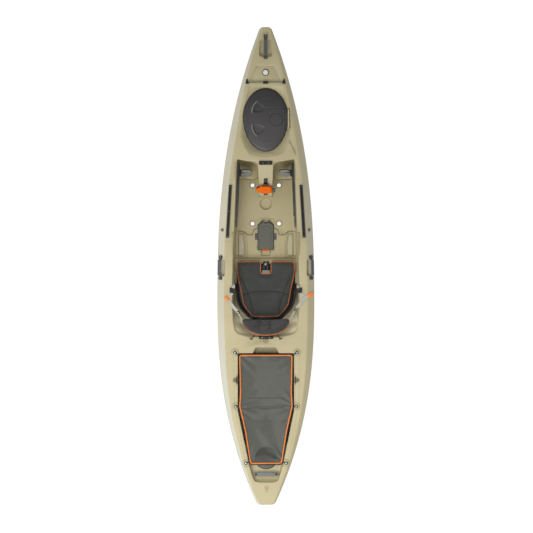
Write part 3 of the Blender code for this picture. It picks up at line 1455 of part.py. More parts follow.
def build_hull_protection():
    """Skid plate along the stern keel, foam block inside the bow, and the drain plug."""
    places = [y for y in STATIONS if SKID_REAR < y < SKID_FRONT]
    path = [(0.0, y, keel(y) - SKID_THICK / 2 - GAP * 3) for y in places]
    solid("keel_skid_plate", ribbon(path, (0, 0, 1), SKID_WIDTH, SKID_THICK), "black nylon", path[0])

    rings = []
    for y in (FOAM_REAR, FOAM_FRONT):
        low, high, half = keel(y) + WALL + GAP, sheer(y) - WALL - GAP, FOAM_HALF
        rings.append([(-half, y, low), (half, y, low), (half, y, high), (-half, y, high)])
    solid("bow_foam_block", loft(rings), "white foam", rings[0][0])

    drain = deck_frame(0.0, DRAIN_Y)
    turn = joint_empty("drain_plug_axis", drain.translation)
    disc = moved(rod((0, 0, GAP), (0, 0, 0.006), DRAIN_RADIUS, DRAIN_RADIUS - 0.001), drain)
    plug = solid("drain_plug", disc, "dark grey plastic", drain.translation, turn)
    join(plug, helper("drain_plug_slot", moved(box((-0.009, 0.009), (-0.002, 0.002), (0.004, 0.010)), drain)))


build_hull()
build_handles()
build_bow_fittings()
build_bow_hatch()
build_midship_hatch()
build_stern_hatch()
build_foot_braces()
build_tracks()
build_console_fittings()
seat_bore = build_seat_pan()
build_base_pad()
build_backrest(seat_bore)
build_seat_straps()
build_seat_fittings()
build_cover()
build_hull_protection()
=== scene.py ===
"""Visual model of a sit-on-top fishing kayak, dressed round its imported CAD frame.

Metres, bow towards +Y, starboard towards +X, seen from straight above.
"""

import math

import bmesh
import bpy
import numpy as np
from mathutils import Matrix, Vector
from mathutils.geometry import delaunay_2d_cdt


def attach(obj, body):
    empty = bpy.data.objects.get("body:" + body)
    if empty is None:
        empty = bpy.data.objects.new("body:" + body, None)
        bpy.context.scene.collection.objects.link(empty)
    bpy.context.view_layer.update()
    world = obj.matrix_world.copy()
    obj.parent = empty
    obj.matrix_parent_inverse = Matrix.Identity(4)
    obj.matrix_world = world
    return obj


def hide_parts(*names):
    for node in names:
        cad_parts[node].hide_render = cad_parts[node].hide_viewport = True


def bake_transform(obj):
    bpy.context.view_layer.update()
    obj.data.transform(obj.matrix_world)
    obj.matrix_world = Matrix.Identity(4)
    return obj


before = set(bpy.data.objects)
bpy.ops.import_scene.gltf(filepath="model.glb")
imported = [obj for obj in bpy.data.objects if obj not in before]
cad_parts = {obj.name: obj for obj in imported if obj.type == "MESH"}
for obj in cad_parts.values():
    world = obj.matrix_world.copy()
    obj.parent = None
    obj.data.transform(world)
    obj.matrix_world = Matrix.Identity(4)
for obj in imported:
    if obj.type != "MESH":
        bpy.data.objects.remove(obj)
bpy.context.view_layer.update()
FIXED = "hull and fixed fittings"

# Camera. A long lens looks straight down on the kayak, bow at the top of the
# picture, at 7.825 mm to a pixel on the gunwale, with the slight turn that the
# kayak has in the picture.
GUNWALE_PLANE = 0.26
PICTURE_WIDTH = 533 * 0.007825
CAMERA_DISTANCE = 40.0


def add_object(name, data):
    """A new object at the origin for a mesh, lamp or camera."""
    thing = bpy.data.objects.new(name, data)
    bpy.context.scene.collection.objects.link(thing)
    return thing


eye = bpy.data.cameras.new("studio_camera")
eye.sensor_width = 36.0
eye.lens = eye.sensor_width * CAMERA_DISTANCE / PICTURE_WIDTH
eye.clip_end = 100.0
camera = add_object("studio_camera", eye)
camera.location = (0.0055, -0.0039, GUNWALE_PLANE + CAMERA_DISTANCE)
camera.rotation_euler = (0.0, 0.0, -0.00128)
bpy.context.scene.camera = camera
bpy.context.scene.view_settings.view_transform = "Standard"


# Studio. A matt white floor under one broad soft light from port and one weaker
# from ahead; the camera sees the floor as the white of a cut-out picture with
# the kayak's own soft shadow left on it.
def linear(hex_colour):
    """An sRGB hex colour as the linear colour that a shader takes."""
    channels = [int(hex_colour[i : i + 2], 16) / 255 for i in (1, 3, 5)]
    return (*[c / 12.92 if c <= 0.04045 else ((c + 0.055) / 1.055) ** 2.4 for c in channels], 1.0)


def add(tree, kind, settings=None, links=None):
    """Add a node to a tree, set its properties and sockets by name, and link what feeds it."""
    node = tree.nodes.new(kind)
    for name, value in (settings or {}).items():
        if isinstance(name, str) and hasattr(node, name):
            setattr(node, name, value)
        else:
            node.inputs[name].default_value = value
    for name, source in (links or {}).items():
        tree.links.new(source, node.inputs[name])
    return node


def new_material(name):
    """An empty material with its output node, ready for a shader."""
    material = bpy.data.materials.new(name)
    material.use_nodes = True
    material.node_tree.nodes.clear()
    return material, material.node_tree


def by_ray(tree, unseen, seen):
    """One shader lights the kayak, and the camera sees the other."""
    rays = add(tree, "ShaderNodeLightPath")
    feeds = {"Fac": rays.outputs["Is Camera Ray"], 1: unseen.outputs[0], 2: seen.outputs[0]}
    return add(tree, "ShaderNodeMixShader", links=feeds).outputs[0]


def area_light(name, location, size, power, colour):
    lamp = bpy.data.lights.new(name, "AREA")
    lamp.shape = "DISK"
    lamp.size = size
    lamp.energy = power
    lamp.color = linear(colour)[:3]
    holder = add_object(name, lamp)
    holder.visible_camera = False
    holder.location = location
    holder.rotation_euler = (-Vector(location)).to_track_quat("-Z", "Y").to_euler()


area_light("key_light_overhead", (-0.9, -1.95, 3.3), 3.0, 96.0, "#FFFDF8")
area_light("edge_light_port", (-4.0, 0.9, 1.7), 1.8, 40.0, "#E6EEFF")

WHITE = (1.0, 1.0, 1.0, 1.0)
world = bpy.data.worlds.new("studio_white")
bpy.context.scene.world = world
world.use_nodes = True
sky = world.node_tree
sky.nodes.clear()
soft = add(sky, "ShaderNodeBackground", {"Color": linear("#F6F7F8"), "Strength": 0.56})
bare = add(sky, "ShaderNodeBackground", {"Color": WHITE, "Strength": 1.0})
add(sky, "ShaderNodeOutputWorld", links={"Surface": by_ray(sky, soft, bare)})

bm = bmesh.new()
bmesh.ops.create_grid(bm, x_segments=1, y_segments=1, size=30.0)
floor_mesh = bpy.data.meshes.new("studio_floor")
bm.to_mesh(floor_mesh)
bm.free()
floor = add_object("studio_floor", floor_mesh)
floor.location.z = -0.002
white_floor, tree = new_material("matt white studio floor")
glow = add(tree, "ShaderNodeEmission", {"Color": WHITE, "Strength": 0.985})
matt = add(tree, "ShaderNodeBsdfDiffuse", {"Color": linear("#F2F2F2")})
faint = add(tree, "ShaderNodeBsdfDiffuse", {"Color": linear("#5A5A5A")})
seen = add(tree, "ShaderNodeAddShader", links={0: glow.outputs[0], 1: faint.outputs[0]})
add(tree, "ShaderNodeOutputMaterial", links={"Surface": by_ray(tree, matt, seen)})
floor_mesh.materials.append(white_floor)


# Hull. One shell of rotomoulded polyethylene: its wells, recesses and scupper
# tubes are all formed in the mould, so every edge is rounded, and its deck has
# low moulded panels and lines.
LENGTH = 3.73
TIP = LENGTH / 2
BEAM = 0.756
BEAM_STATION = -0.27
SIDE_HEIGHT = 0.3
FOREDECK_START, FOREDECK_RISE = 0.85, 0.07
AFTDECK_START, AFTDECK_RISE = -1.2, 0.03
BEVEL_WIDTH, BEVEL_SLOPE = 0.05, 0.9
DRAFT = math.tan(math.radians(5.0))
TIP_ROUNDING = 0.014
KEEL_FLAT, BOW_ROCKER, STERN_ROCKER = 0.95, 0.2, 0.15
GRAIN = 0.004
MIDSHIP_Y, STERN_Y, SHELF = 0.2347, -1.498, 0.262


def half_beam(y):
    if y > BEAM_STATION:
        share, tip, fullness = (y - BEAM_STATION) / (TIP - BEAM_STATION), 0.041, 2.48
    else:
        share, tip, fullness = (BEAM_STATION - y) / (TIP + BEAM_STATION), 0.066, 2.4
    corner = min(1.0, max(0.0, (abs(y) - TIP + TIP_ROUNDING) / TIP_ROUNDING))
    rounding = TIP_ROUNDING * (1.0 - math.sqrt(1.0 - corner * corner))
    return tip + (BEAM / 2 - tip) * (1.0 - share**fullness) - rounding


def keel(y):
    rise = BOW_ROCKER if y > 0.0 else STERN_ROCKER
    return rise * max(0.0, (abs(y) - KEEL_FLAT) / (TIP - KEEL_FLAT)) ** 4


def sheer(y):
    bow = max(0.0, (y - FOREDECK_START) / (TIP - FOREDECK_START))
    stern = max(0.0, (AFTDECK_START - y) / (TIP + AFTDECK_START))
    return SIDE_HEIGHT + FOREDECK_RISE * bow + AFTDECK_RISE * stern


def bevel_width(y):
    bow = max(0.0, (y - 1.05) / (TIP - 1.05))
    stern = max(0.0, (-0.6 - y) / (TIP - 0.6))
    return BEVEL_WIDTH - (BEVEL_WIDTH - 0.01) * max(bow, stern)


def mesh_piece(name, bm):
    """A new object at the origin from a bmesh, its faces turned outwards."""
    bmesh.ops.remove_doubles(bm, verts=bm.verts, dist=1e-6)
    bmesh.ops.recalc_face_normals(bm, faces=bm.faces)
    mesh = bpy.data.meshes.new(name)
    bm.to_mesh(mesh)
    bm.free()
    return add_object(name, mesh)


def loft(rings, closed=False, capped=True, bm=None):
    """A skin over rings of equal point count."""
    bm = bm or bmesh.new()
    rows = [[bm.verts.new(point) for point in ring] for ring in rings]
    pairs = list(zip(rows, rows[1:])) + ([(rows[-1], rows[0])] if closed else [])
    for row, following in pairs:
        for i in range(len(row)):
            j = (i + 1) % len(row)
            bm.faces.new((row[i], row[j], following[j], following[i]))
    if capped and not closed:
        bm.faces.new(rows[0])
        bm.faces.new(rows[-1])
    return bm


def curve_through(points, steps):
    """Points along a smooth curve through the points given."""
    points = [Vector(p) for p in points]
    padded = [2 * points[0] - points[1], *points, 2 * points[-1] - points[-2]]
    out = []
    for a, b, c, d in zip(padded, padded[1:], padded[2:], padded[3:]):
        for i in range(steps):
            t = i / steps
            out.append(
                0.5 * (
                    2 * b + (c - a) * t + (2 * a - 5 * b + 4 * c - d) * t * t + (3 * b - a - 3 * c + d) * t**3
                )
            )
    return [*out, points[-1]]


def hull_section(y):
    """One closed section: rounded chine, upright side, bevelled gunwale and flat deck."""
    half, low, high = half_beam(y), keel(y), sheer(y)
    tall, bevel = high - low, bevel_width(y)
    chine = [(0.45, 0.0), (0.76, 0.07), (0.93, 0.25), (1.0, 0.55)]
    side = [(x * half, low + z * tall) for x, z in chine] + [(half, high - BEVEL_SLOPE * bevel)]
    side = [tuple(point) for point in curve_through(side, 4)] + [(half - bevel, high)]
    return [(x, y, z) for x, z in side] + [(-x, y, z) for x, z in reversed(side)]


def fine_places(low, high, step, ease=0.0):
    """Evenly spaced places from low to high, closer together at both ends where eased."""
    count = round((high - low) / step)
    shares = [i / count for i in range(count + 1)]
    return [low + (high - low) * (s - ease * math.sin(2 * math.pi * s) / (2 * math.pi)) for s in shares]


def width_at(y, ends):
    """A half width between (place, half width) pairs listed from the bow aft."""
    return float(np.interp(-y, [-e[0] for e in ends], [e[1] for e in ends]))


def cockpit_half(y):
    ends = [
        (0.838, 0.2265), (0.0, 0.259), (-0.25, 0.264), (-0.42, 0.2575), (-0.47, 0.25), (-0.5, 0.241),
        (-0.52, 0.228), (-0.536, 0.206), (-0.548, 0.172), (-0.556, 0.132)
    ]
    return width_at(y, ends)


def trough(stations, foot=None):
    """A well with drafted sides and a rounded foot; foot gives its width, height and slope at each place."""
    rings = []
    for y, half, ground in stations:
        depth = SIDE_HEIGHT - ground
        corner = min(0.016, 0.6 * abs(depth))
        wide, tall, ramp = foot(y, depth) if foot else (corner, corner, 0.0)
        low = half - (depth - tall) * DRAFT
        side = []
        for angle in range(0, 91, 15):
            c, s = math.cos(math.radians(angle)), math.sin(math.radians(angle))
            side.append((low - wide + wide * s, ground + tall * ((1.0 - ramp) * (1.0 - c) + ramp * s**1.3)))
        side.append((half + 0.2 * DRAFT, SIDE_HEIGHT + 0.2))
        rings.append([(x, y, z) for x, z in side] + [(-x, y, z) for x, z in reversed(side)])
    return loft(rings)


def cut_away(piece, *cutters):
    """Subtract the cutters from the piece, which keeps the result as its mesh."""
    for cutter in cutters:
        modifier = piece.modifiers.new("cut", "BOOLEAN")
        modifier.object, modifier.solver = cutter, "EXACT"
    settle(piece)
    for cutter in cutters:
        bpy.data.objects.remove(cutter)


def settle(piece):
    """Apply a piece's modifiers by taking its evaluated mesh."""
    graph = bpy.context.evaluated_depsgraph_get()
    mesh = bpy.data.meshes.new_from_object(piece.evaluated_get(graph))
    piece.modifiers.clear()
    piece.data = mesh


def block(x, y, z):
    """A plain block between two limits on each axis."""
    bm = bmesh.new()
    bmesh.ops.create_cube(bm, size=1.0)
    bmesh.ops.scale(bm, vec=(x[1] - x[0], y[1] - y[0], z[1] - z[0]), verts=bm.verts)
    bmesh.ops.translate(bm, vec=((x[0] + x[1]) / 2, (y[0] + y[1]) / 2, (z[0] + z[1]) / 2), verts=bm.verts)
    return bm


def post(x, y, radius, low, high, sides=32):
    bm = bmesh.new()
    place = Matrix.Translation((x, y, (low + high) / 2))
    bmesh.ops.create_cone(
        bm, cap_ends=True, segments=sides, radius1=radius, radius2=radius, depth=high - low, matrix=place
    )
    return bm


def deck_frame(x, y):
    """A frame that stands on the deck at (x, y), its Z square to the deck."""
    angle = 0.0
    if y > FOREDECK_START:
        angle = math.atan(FOREDECK_RISE / (TIP - FOREDECK_START))
    elif y < AFTDECK_START:
        angle = -math.atan(AFTDECK_RISE / (TIP + AFTDECK_START))
    return Matrix.Translation((x, y, sheer(y))) @ Matrix.Rotation(angle, 4, "X")


def moved(bm, matrix):
    bmesh.ops.transform(bm, matrix=matrix, verts=bm.verts)
    return bm


def smooth_outline(corners, radius, steps=5):
    """A closed outline with each corner turned into an arc of the radius given."""
    outline = []
    count = len(corners)
    for i, corner in enumerate(corners):
        here = Vector(corner[:2])
        size = corner[2] if len(corner) > 2 else radius
        before = (Vector(corners[i - 1][:2]) - here).normalized()
        after = (Vector(corners[(i + 1) % count][:2]) - here).normalized()
        half = before.angle(after) / 2
        reach = size / math.tan(half)
        start = here + before * reach
        middle = here + (before + after).normalized() * size / math.sin(half)
        first, last = start - middle, here + after * reach - middle
        turn = first.angle_signed(last)
        for step in range(steps + 1):
            spoke = first.copy()
            spoke.rotate(Matrix.Rotation(-turn * step / steps, 2))
            outline.append(tuple(middle + spoke))
    return outline


def slab(outline, low, high):
    return loft([[(x, y, low) for x, y in outline], [(x, y, high) for x, y in outline]])


HATCH_Y, HATCH_HALF, HATCH_FRONT, HATCH_REAR = 1.158, 0.172, 0.227, 0.261
HATCH_RECESS = 0.018
HATCH_FRAME = deck_frame(0.0, HATCH_Y)


def egg(grow=0.0, sides=96, scale=1.0):
    """The bow hatch's outline: two half ellipses that meet at its widest place."""
    outline = []
    for i in range(sides):
        angle = 2 * math.pi * i / sides
        reach = (HATCH_FRONT if math.sin(angle) > 0.0 else HATCH_REAR) + grow
        outline.append(((HATCH_HALF + grow) * scale * math.cos(angle), reach * scale * math.sin(angle)))
    return outline


hull_skin = loft([hull_section(y) for y in fine_places(-TIP, TIP, 0.03, 0.55)])
hull = mesh_piece("hull_moulding", hull_skin)

# The well's floor runs level, steps up to the seat, and rises behind it
floor_line = [
    (0.838, 0.165), (0.8, 0.105), (0.76, 0.085), (0.067, 0.085), (0.055, 0.115), (-0.44, 0.116), (-0.47, 0.16),
    (-0.5, 0.206), (-0.528, 0.252), (-0.556, 0.2985)
]
places = sorted({round(y, 4) for y in fine_places(-0.556, 0.838, 0.035)} | {y for y, z in floor_line})
levels = np.interp([-y for y in places], [-y for y, z in floor_line], [z for y, z in floor_line])


def seat_foot(y, depth):
    """Width, height and straightness of the foot of the well's sides, a wide slope behind the seat."""
    wide = float(np.interp(-y, [0.26, 0.36, 0.42, 0.5, 0.556], [0.016, 0.045, 0.115, 0.13, 0.08]))
    tall = float(np.interp(-y, [0.26, 0.36, 0.4, 0.44, 0.48, 0.5], [0.016, 0.025, 0.05, 0.095, 0.11, 0.09]))
    return wide, min(tall, 0.85 * abs(depth)), float(np.interp(-y, [0.34, 0.42], [0.0, 1.0]))


cockpit = mesh_piece("cockpit", trough([(y, cockpit_half(y), z) for y, z in zip(places, levels)], seat_foot))

hump = [
    (0.532, 0.048, 0.07), (0.552, 0.05, 0.178), (0.785, 0.0615, 0.2985), (0.8, 0.075, 0.52),
    (0.812, 0.105, 0.52), (0.822, 0.15, 0.52), (0.832, 0.205, 0.52), (0.847, 0.27, 0.52)
]
hump = loft([[(-w, y, 0.03), (w, y, 0.03), (w, y, z), (-w, y, z)] for y, w, z in hump])
hump = mesh_piece("console_hump", hump)
cut_away(cockpit, hump)

tank_line = [
    (-0.683, 0.216, 0.16), (-0.7, 0.22, 0.145), (-1.127, 0.22, 0.145), (-1.34, 0.176, 0.145),
    (-1.4, 0.162, SHELF), (-1.549, 0.131, SHELF), (-1.6, 0.118, SHELF), (-1.655, 0.1, 0.278),
    (-1.672, 0.092, 0.284), (-1.681, 0.083, 0.288), (-1.687, 0.066, 0.293), (-1.69, 0.034, 0.299)
]
tank = mesh_piece("tank_well", trough(tank_line))
step = [(0.08, -0.636), (-0.08, -0.636), (-0.108, -0.697), (0.108, -0.697)]
hand_hole = [(0.051, -0.067), (0.04, 0.067), (-0.04, 0.067), (-0.051, -0.067)]
bow_grip = moved(slab(smooth_outline(hand_hole, 0.022), -0.025, 0.05), deck_frame(0.0, 1.702))
hinge_seat = block((0.152, 0.189), (-0.093, 0.073), (-0.0145, 0.045))
cutters = [
    cockpit, tank, mesh_piece("tank_step", slab(smooth_outline(step, 0.008), 0.245, 0.5)),
    mesh_piece("bow_grip", bow_grip),
    mesh_piece("bow_hatch_seat", moved(slab(egg(0.005), -HATCH_RECESS, 0.05), HATCH_FRAME)),
    mesh_piece("bow_hinge_seat", moved(hinge_seat, HATCH_FRAME)),
    mesh_piece("bow_neck", moved(slab(egg(-0.034), -0.034, 0.0), HATCH_FRAME)),
    mesh_piece("cup_recess", post(0.0, 0.487, 0.0415, 0.073, 0.2, 64)),
    mesh_piece("stern_neck", post(0.0, STERN_Y, 0.071, 0.244, 0.29, 48))
]
inner = half_beam(-0.0125) - 0.054
for side in (-1, 1):
    x = sorted((side * inner, side * (inner + 0.03)))
    cutters.append(mesh_piece("side_grip", block(x, (-0.0765, 0.0515), (0.262, 0.5))))
outline = smooth_outline([(0.049, -0.093), (0.049, 0.093), (-0.049, 0.093), (-0.049, -0.093)], 0.015)
outline = [(x, y + MIDSHIP_Y) for x, y in outline]
cutters.append(mesh_piece("midship_neck", slab(outline, 0.07, 0.14)))
SCUPPERS = [(0.104, 0.634), (0.104, 0.3326), (0.1, -0.85)]
for x, y in SCUPPERS:
    for side in (-1, 1):
        cutters.append(mesh_piece("scupper", post(side * x, y, 0.016, -0.05, 0.17)))
cut_away(hull, *cutters)

remesh = hull.modifiers.new("grain", "REMESH")
remesh.mode = "VOXEL"
remesh.voxel_size = GRAIN
ease = hull.modifiers.new("rounded edges", "SMOOTH")
ease.factor, ease.iterations = 0.5, 7
settle(hull)


def polygon_distance(x, y, outline, closed=True):
    """Distance of points from an outline, negative inside it where it is closed."""
    outline = np.array([p[:2] for p in outline], float)
    ends = np.roll(outline, -1, axis=0)
    if not closed:
        outline, ends = outline[:-1], ends[:-1]
    near = np.full(len(x), 1e9)
    inside = np.zeros(len(x), bool)
    for (ax, ay), (bx, by) in zip(outline, ends):
        dx, dy = bx - ax, by - ay
        t = np.clip(((x - ax) * dx + (y - ay) * dy) / max(dx * dx + dy * dy, 1e-12), 0.0, 1.0)
        near = np.minimum(near, np.hypot(x - ax - t * dx, y - ay - t * dy))
        if ay != by:
            inside ^= ((ay > y) != (by > y)) & (x < (bx - ax) * (y - ay) / (by - ay) + ax)
    return np.where(inside & closed, -near, near)


def both_sides(outline):
    return [outline, [(-x, y) for x, y in outline]]


# Moulded panels: an outline, how far its inside is raised, and the width of its edge
bow_panel = [
    (-0.125, 1.404), (0.139, 1.404), (0.176, 1.2), (0.195, 1.005), (0.147, 0.89), (0.089, 0.865),
    (-0.006, 0.856), (-0.121, 0.872), (-0.161, 0.93), (-0.192, 1.015), (-0.176, 1.2)
]
raised_floor = [
    (-0.26, 0.262), (-0.197, 0.274), (-0.17, 0.268), (-0.147, 0.245), (-0.106, 0.245), (-0.094, 0.285),
    (-0.06, 0.302), (0.06, 0.302), (0.094, 0.285), (0.106, 0.245), (0.147, 0.245), (0.17, 0.268),
    (0.197, 0.274), (0.26, 0.262), (0.26, 0.088), (0.224, 0.081), (0.172, 0.07), (0.112, 0.062),
    (-0.112, 0.062), (-0.172, 0.07), (-0.224, 0.081), (-0.26, 0.088)
]
foot_floors = both_sides([(0.062, 0.822), (0.062, 0.7), (0.09, 0.678), (0.24, 0.684), (0.24, 0.822)])
heel_rests = both_sides([(0.178, 0.252), (0.214, 0.252), (0.214, 0.082), (0.17, 0.088), (0.166, 0.16)])
panels = [
    ([(-0.071, 1.565), (0.071, 1.565), (0.121, 1.448), (-0.121, 1.448)], -0.0065, 0.016),
    (bow_panel, -0.006, 0.014), ([(0.15, 1.015), (0.232, 0.905), (0.232, 0.87), (0.19, 0.98)], -0.0015, 0.012),
    *[(outline, -0.007, 0.016) for outline in foot_floors], (raised_floor, 0.0075, 0.009),
    ([(-0.037, 0.124), (0.037, 0.124), (0.031, 0.082), (-0.031, 0.082)], -0.008, 0.01),
    *[(outline, 0.0065, 0.01) for outline in heel_rests]
]

# Moulded lines: a path, its height and its half width
hatch_line = [(-0.066, 0.34), (-0.06, 0.362), (0.0, 0.374), (0.06, 0.362), (0.066, 0.34)]
hump_line = [(-0.03, 0.56), (-0.034, 0.68), (-0.02, 0.715), (0.02, 0.715), (0.034, 0.68), (0.03, 0.56)]
drain_line = [
    (-0.009, -1.722), (-0.008, -1.752), (-0.003, -1.764), (0.004, -1.764), (0.009, -1.752), (0.0105, -1.722)
]
lines = [(hatch_line, 0.003, 0.0045), (hump_line, -0.002, 0.0045), (drain_line, 0.0035, 0.0035)]
for path, rise, width in (
    ([(0.0745, 0.155), (0.07, 0.125), (0.056, 0.112), (0.038, 0.109)], 0.003, 0.004),
    ([(0.163, 0.255), (0.152, 0.16), (0.15, 0.075)], 0.006, 0.007),
    ([(0.256, -0.715), (0.256, -1.045), (0.236, -1.16), (0.172, -1.5)], 0.0014, 0.006),
    ([(0.262, 0.668), (0.286, 0.668)], 0.002, 0.004), ([(0.288, 0.186), (0.312, 0.186)], 0.002, 0.004)
):
    lines += [(side, rise, width) for side in both_sides(path)]

# Moulded discs and rings: centre, radius, height of the disc, height of its rim
bosses = [(0.242, -0.676), (0.237, -1.098), (0.158, -1.54)]
discs = [(0.0, 0.487, 0.0455, 0.0, 0.0025), (0.0, -0.58, 0.018, -0.008, 0.0), (0.0, 1.806, 0.02, 0.003, 0.0)]
for side in (-1, 1):
    discs += [(side * x, y, 0.027, 0.0034, 0.0012) for x, y in bosses]
    discs += [(side * x, y, 0.0225, 0.0, 0.003) for x, y in SCUPPERS[:2]]
    discs.append((side * 0.242, -0.893, 0.018, 0.0, 0.0012))


def read_points(mesh):
    """The places and the normals of a mesh's vertices, a row for each."""
    values = []
    for source, name in ((mesh.vertices, "co"), (mesh.vertex_normals, "vector")):
        rows = np.empty(len(mesh.vertices) * 3)
        source.foreach_get(name, rows)
        values.append(rows.reshape(-1, 3))
    return values


def mark(mesh, name, values):
    """Keep a value for each vertex under a name that the materials read."""
    mesh.attributes.new(name, "FLOAT", "POINT").data.foreach_set("value", values)


mesh = hull.data
co, normals = read_points(mesh)
up = np.clip((normals[:, 2] - 0.55) / 0.35, 0.0, 1.0) * (co[:, 2] > 0.06)

# Places darkened with painted shade: an outline and how strongly
painted_shade_areas = [([(0.078, -0.638), (-0.078, -0.638), (-0.106, -0.7), (0.106, -0.7)], 0.8)]


def relief(x, y):
    """Height of the moulded panels, lines and discs, and the painted shade in their creases, at deck points."""
    height, crease = np.zeros(len(x)), np.zeros(len(x))
    for outline, rise, edge in panels:
        gap = polygon_distance(x, y, outline)
        share = np.clip(0.5 - gap / edge, 0.0, 1.0)
        height += rise * share * share * (3 - 2 * share)
        crease = np.maximum(crease, (0.18 if edge > 0.012 else 1.0) * np.exp(-((gap / 0.0044) ** 2)))
    for path, rise, width in lines:
        gap = polygon_distance(x, y, path, False)
        height += rise * np.exp(-((gap / width) ** 2))
        crease = np.maximum(crease, 80 * max(0.0, rise) * np.exp(-(((gap - width) / 0.0035) ** 2)))
    for cx, cy, radius, rise, rim in discs:
        gap = np.hypot(x - cx, y - cy) - radius
        height += rise * np.clip(0.5 - gap / 0.008, 0.0, 1.0) + rim * np.exp(-((gap / 0.0045) ** 2))
        crease = np.maximum(crease, 0.8 * np.exp(-((gap / 0.0035) ** 2)))
        # A deep recess is filled with painted shade
        if rise < -0.006:
            crease = np.maximum(crease, 1.4 * np.clip(-gap / 0.004, 0.0, 1.0))
    for outline, strength in painted_shade_areas:
        gap = polygon_distance(x, y, outline)
        crease = np.maximum(crease, strength * np.clip(-gap / 0.006, 0.0, 1.0))
    return height, crease


# Painted shade darkens the deck's creases and recesses
near = np.nonzero(up > 0.0)[0]
height, crease = relief(co[near, 0], co[near, 1])
co[near, 2] += height * up[near]
shade = np.zeros(len(co))
shade[near] = crease * up[near]
mark(mesh, "crease", shade)

# A painted highlight makes the gunwale bevels paler than the deck, more so aft on port, and the heel rests too
places = fine_places(-TIP, TIP, 0.05)
beams, widths, sheers = [
    np.interp(co[:, 1], places, [rule(y) for y in places]) for rule in (half_beam, bevel_width, sheer)
]
inboard = (beams - np.abs(co[:, 0])) / widths
painted_highlight = np.clip((1.06 - inboard) / 0.12, 0.0, 1.0) * np.clip((normals[:, 2] - 0.3) / 0.3, 0.0, 1.0)
painted_highlight *= co[:, 2] > 0.17
port = 1.0 + 0.9 * np.clip((-0.3 - co[:, 1]) / 0.5, 0.0, 1.0)
painted_highlight *= np.where(co[:, 0] > 0.0, 0.25 + 0.75 * np.exp(-(((co[:, 1] - 0.25) / 0.4) ** 2)), port)
for outline in heel_rests:
    share = np.clip(-polygon_distance(co[:, 0], co[:, 1], outline) / 0.008, 0.0, 1.0)
    painted_highlight = np.maximum(painted_highlight, 0.55 * share * (co[:, 2] < 0.14))
mark(mesh, "painted_highlight", painted_highlight)
# Painted light makes the slope behind the seat paler than the rest of the hull
behind = np.clip((-0.36 - co[:, 1]) / 0.08, 0.0, 1.0) * (co[:, 1] > -0.57) * (np.abs(co[:, 0]) < 0.262)
mark(mesh, "painted_light_slope", behind * np.clip((0.299 - co[:, 2]) / 0.03, 0.0, 1.0) * (co[:, 2] > 0.1))

# The mould parts at the foot of the gunwale bevel and leaves a low seam there
seam_level = sheers - BEVEL_SLOPE * widths - 0.01
seam = np.exp(-(((co[:, 2] - seam_level) / 0.0045) ** 2))
seam *= (np.abs(normals[:, 0]) > 0.7) * (np.abs(co[:, 0]) > beams - 0.006)
co[:, 0] += 0.0012 * seam * np.sign(co[:, 0])
mesh.vertices.foreach_set("co", co.ravel())
mesh.update()

hatch_in = HATCH_FRAME.inverted()


def open_necks(bm, facing, bow, stern, midship):
    """Delete the faces across the hatch necks; each neck has its half sizes and its range of levels."""
    across_neck = []
    for face in bm.faces:
        middle = face.calc_center_median()
        local = hatch_in @ middle
        in_bow = abs(local.x) < bow[0] and abs(local.y) < bow[1] and bow[2] < local.z < bow[3]
        in_stern = math.hypot(middle.x, middle.y - STERN_Y) < stern[0] and stern[1] < middle.z < stern[2]
        in_midship = abs(middle.x) < midship[0] and abs(middle.y - MIDSHIP_Y) < midship[1]
        in_midship = in_midship and midship[2] < middle.z < midship[3]
        if facing(face.normal.z) and (in_bow or in_stern or in_midship):
            across_neck.append(face)
    bmesh.ops.delete(bm, geom=across_neck, context="FACES")


# The pits under the hatches are opened into the hull's inside
bm = bmesh.new()
bm.from_mesh(mesh)
open_necks(bm, lambda z: z >= 0.7, (0.15, 0.25, -1.0, -0.028), (0.08, 0.0, 0.2505), (0.055, 0.1, 0.0, 0.0765))
bm.to_mesh(mesh)
bm.free()
thin = hull.modifiers.new("fewer faces", "DECIMATE")
thin.ratio = min(1.0, 190000 / (2 * len(mesh.polygons)))
settle(hull)

# The inside of the shell is the CAD hull's own inner wall
bm = bmesh.new()
bm.from_mesh(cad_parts["hull"].data)
bmesh.ops.remove_doubles(bm, verts=bm.verts, dist=1e-5)
bm.faces.ensure_lookup_table()
open_necks(
    bm, lambda z: abs(z) < 0.5, (0.15, 0.24, -0.0242, -0.0178), (0.074, 0.2558, 0.2622),
    (0.051, 0.095, 0.0788, 0.0852)
)
bm.verts.ensure_lookup_table()
start = min(bm.verts, key=lambda v: (v.co - Vector((0.0, 0.0, 0.006))).length)
inside, edge_of = {start}, [start]
while edge_of:
    vert = edge_of.pop()
    for edge in vert.link_edges:
        other = edge.other_vert(vert)
        if other not in inside:
            inside.add(other)
            edge_of.append(other)
bmesh.ops.delete(bm, geom=[v for v in bm.verts if v not in inside], context="VERTS")
lining_mesh = bpy.data.meshes.new("hull_inside")
bm.to_mesh(lining_mesh)
bm.free()
lining = add_object("hull_inside", lining_mesh)


def finish(piece, material, body=FIXED, nodes=(), angle=40.0):
    """Give a piece its material and shading, and its place on a body where one is given."""
    piece.data.materials.clear()
    piece.data.materials.append(material)
    piece.data.shade_smooth()
    piece.data.set_sharp_from_angle(angle=math.radians(angle))
    if body:
        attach(piece, body)
    if nodes:
        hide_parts(*nodes)
    return piece


def fit(name, bm, material, body=FIXED, nodes=(), angle=40.0):
    """A mesh as a finished piece of its own."""
    return finish(mesh_piece(name, bm), material, body, nodes, angle)


def own_place(tree):
    return add(tree, "ShaderNodeTexCoord").outputs["Object"]


def noise(tree, where, scale, detail, roughness=0.5):
    settings = {"Scale": scale, "Detail": detail, "Roughness": roughness}
    return add(tree, "ShaderNodeTexNoise", settings, {"Vector": where}).outputs["Fac"]


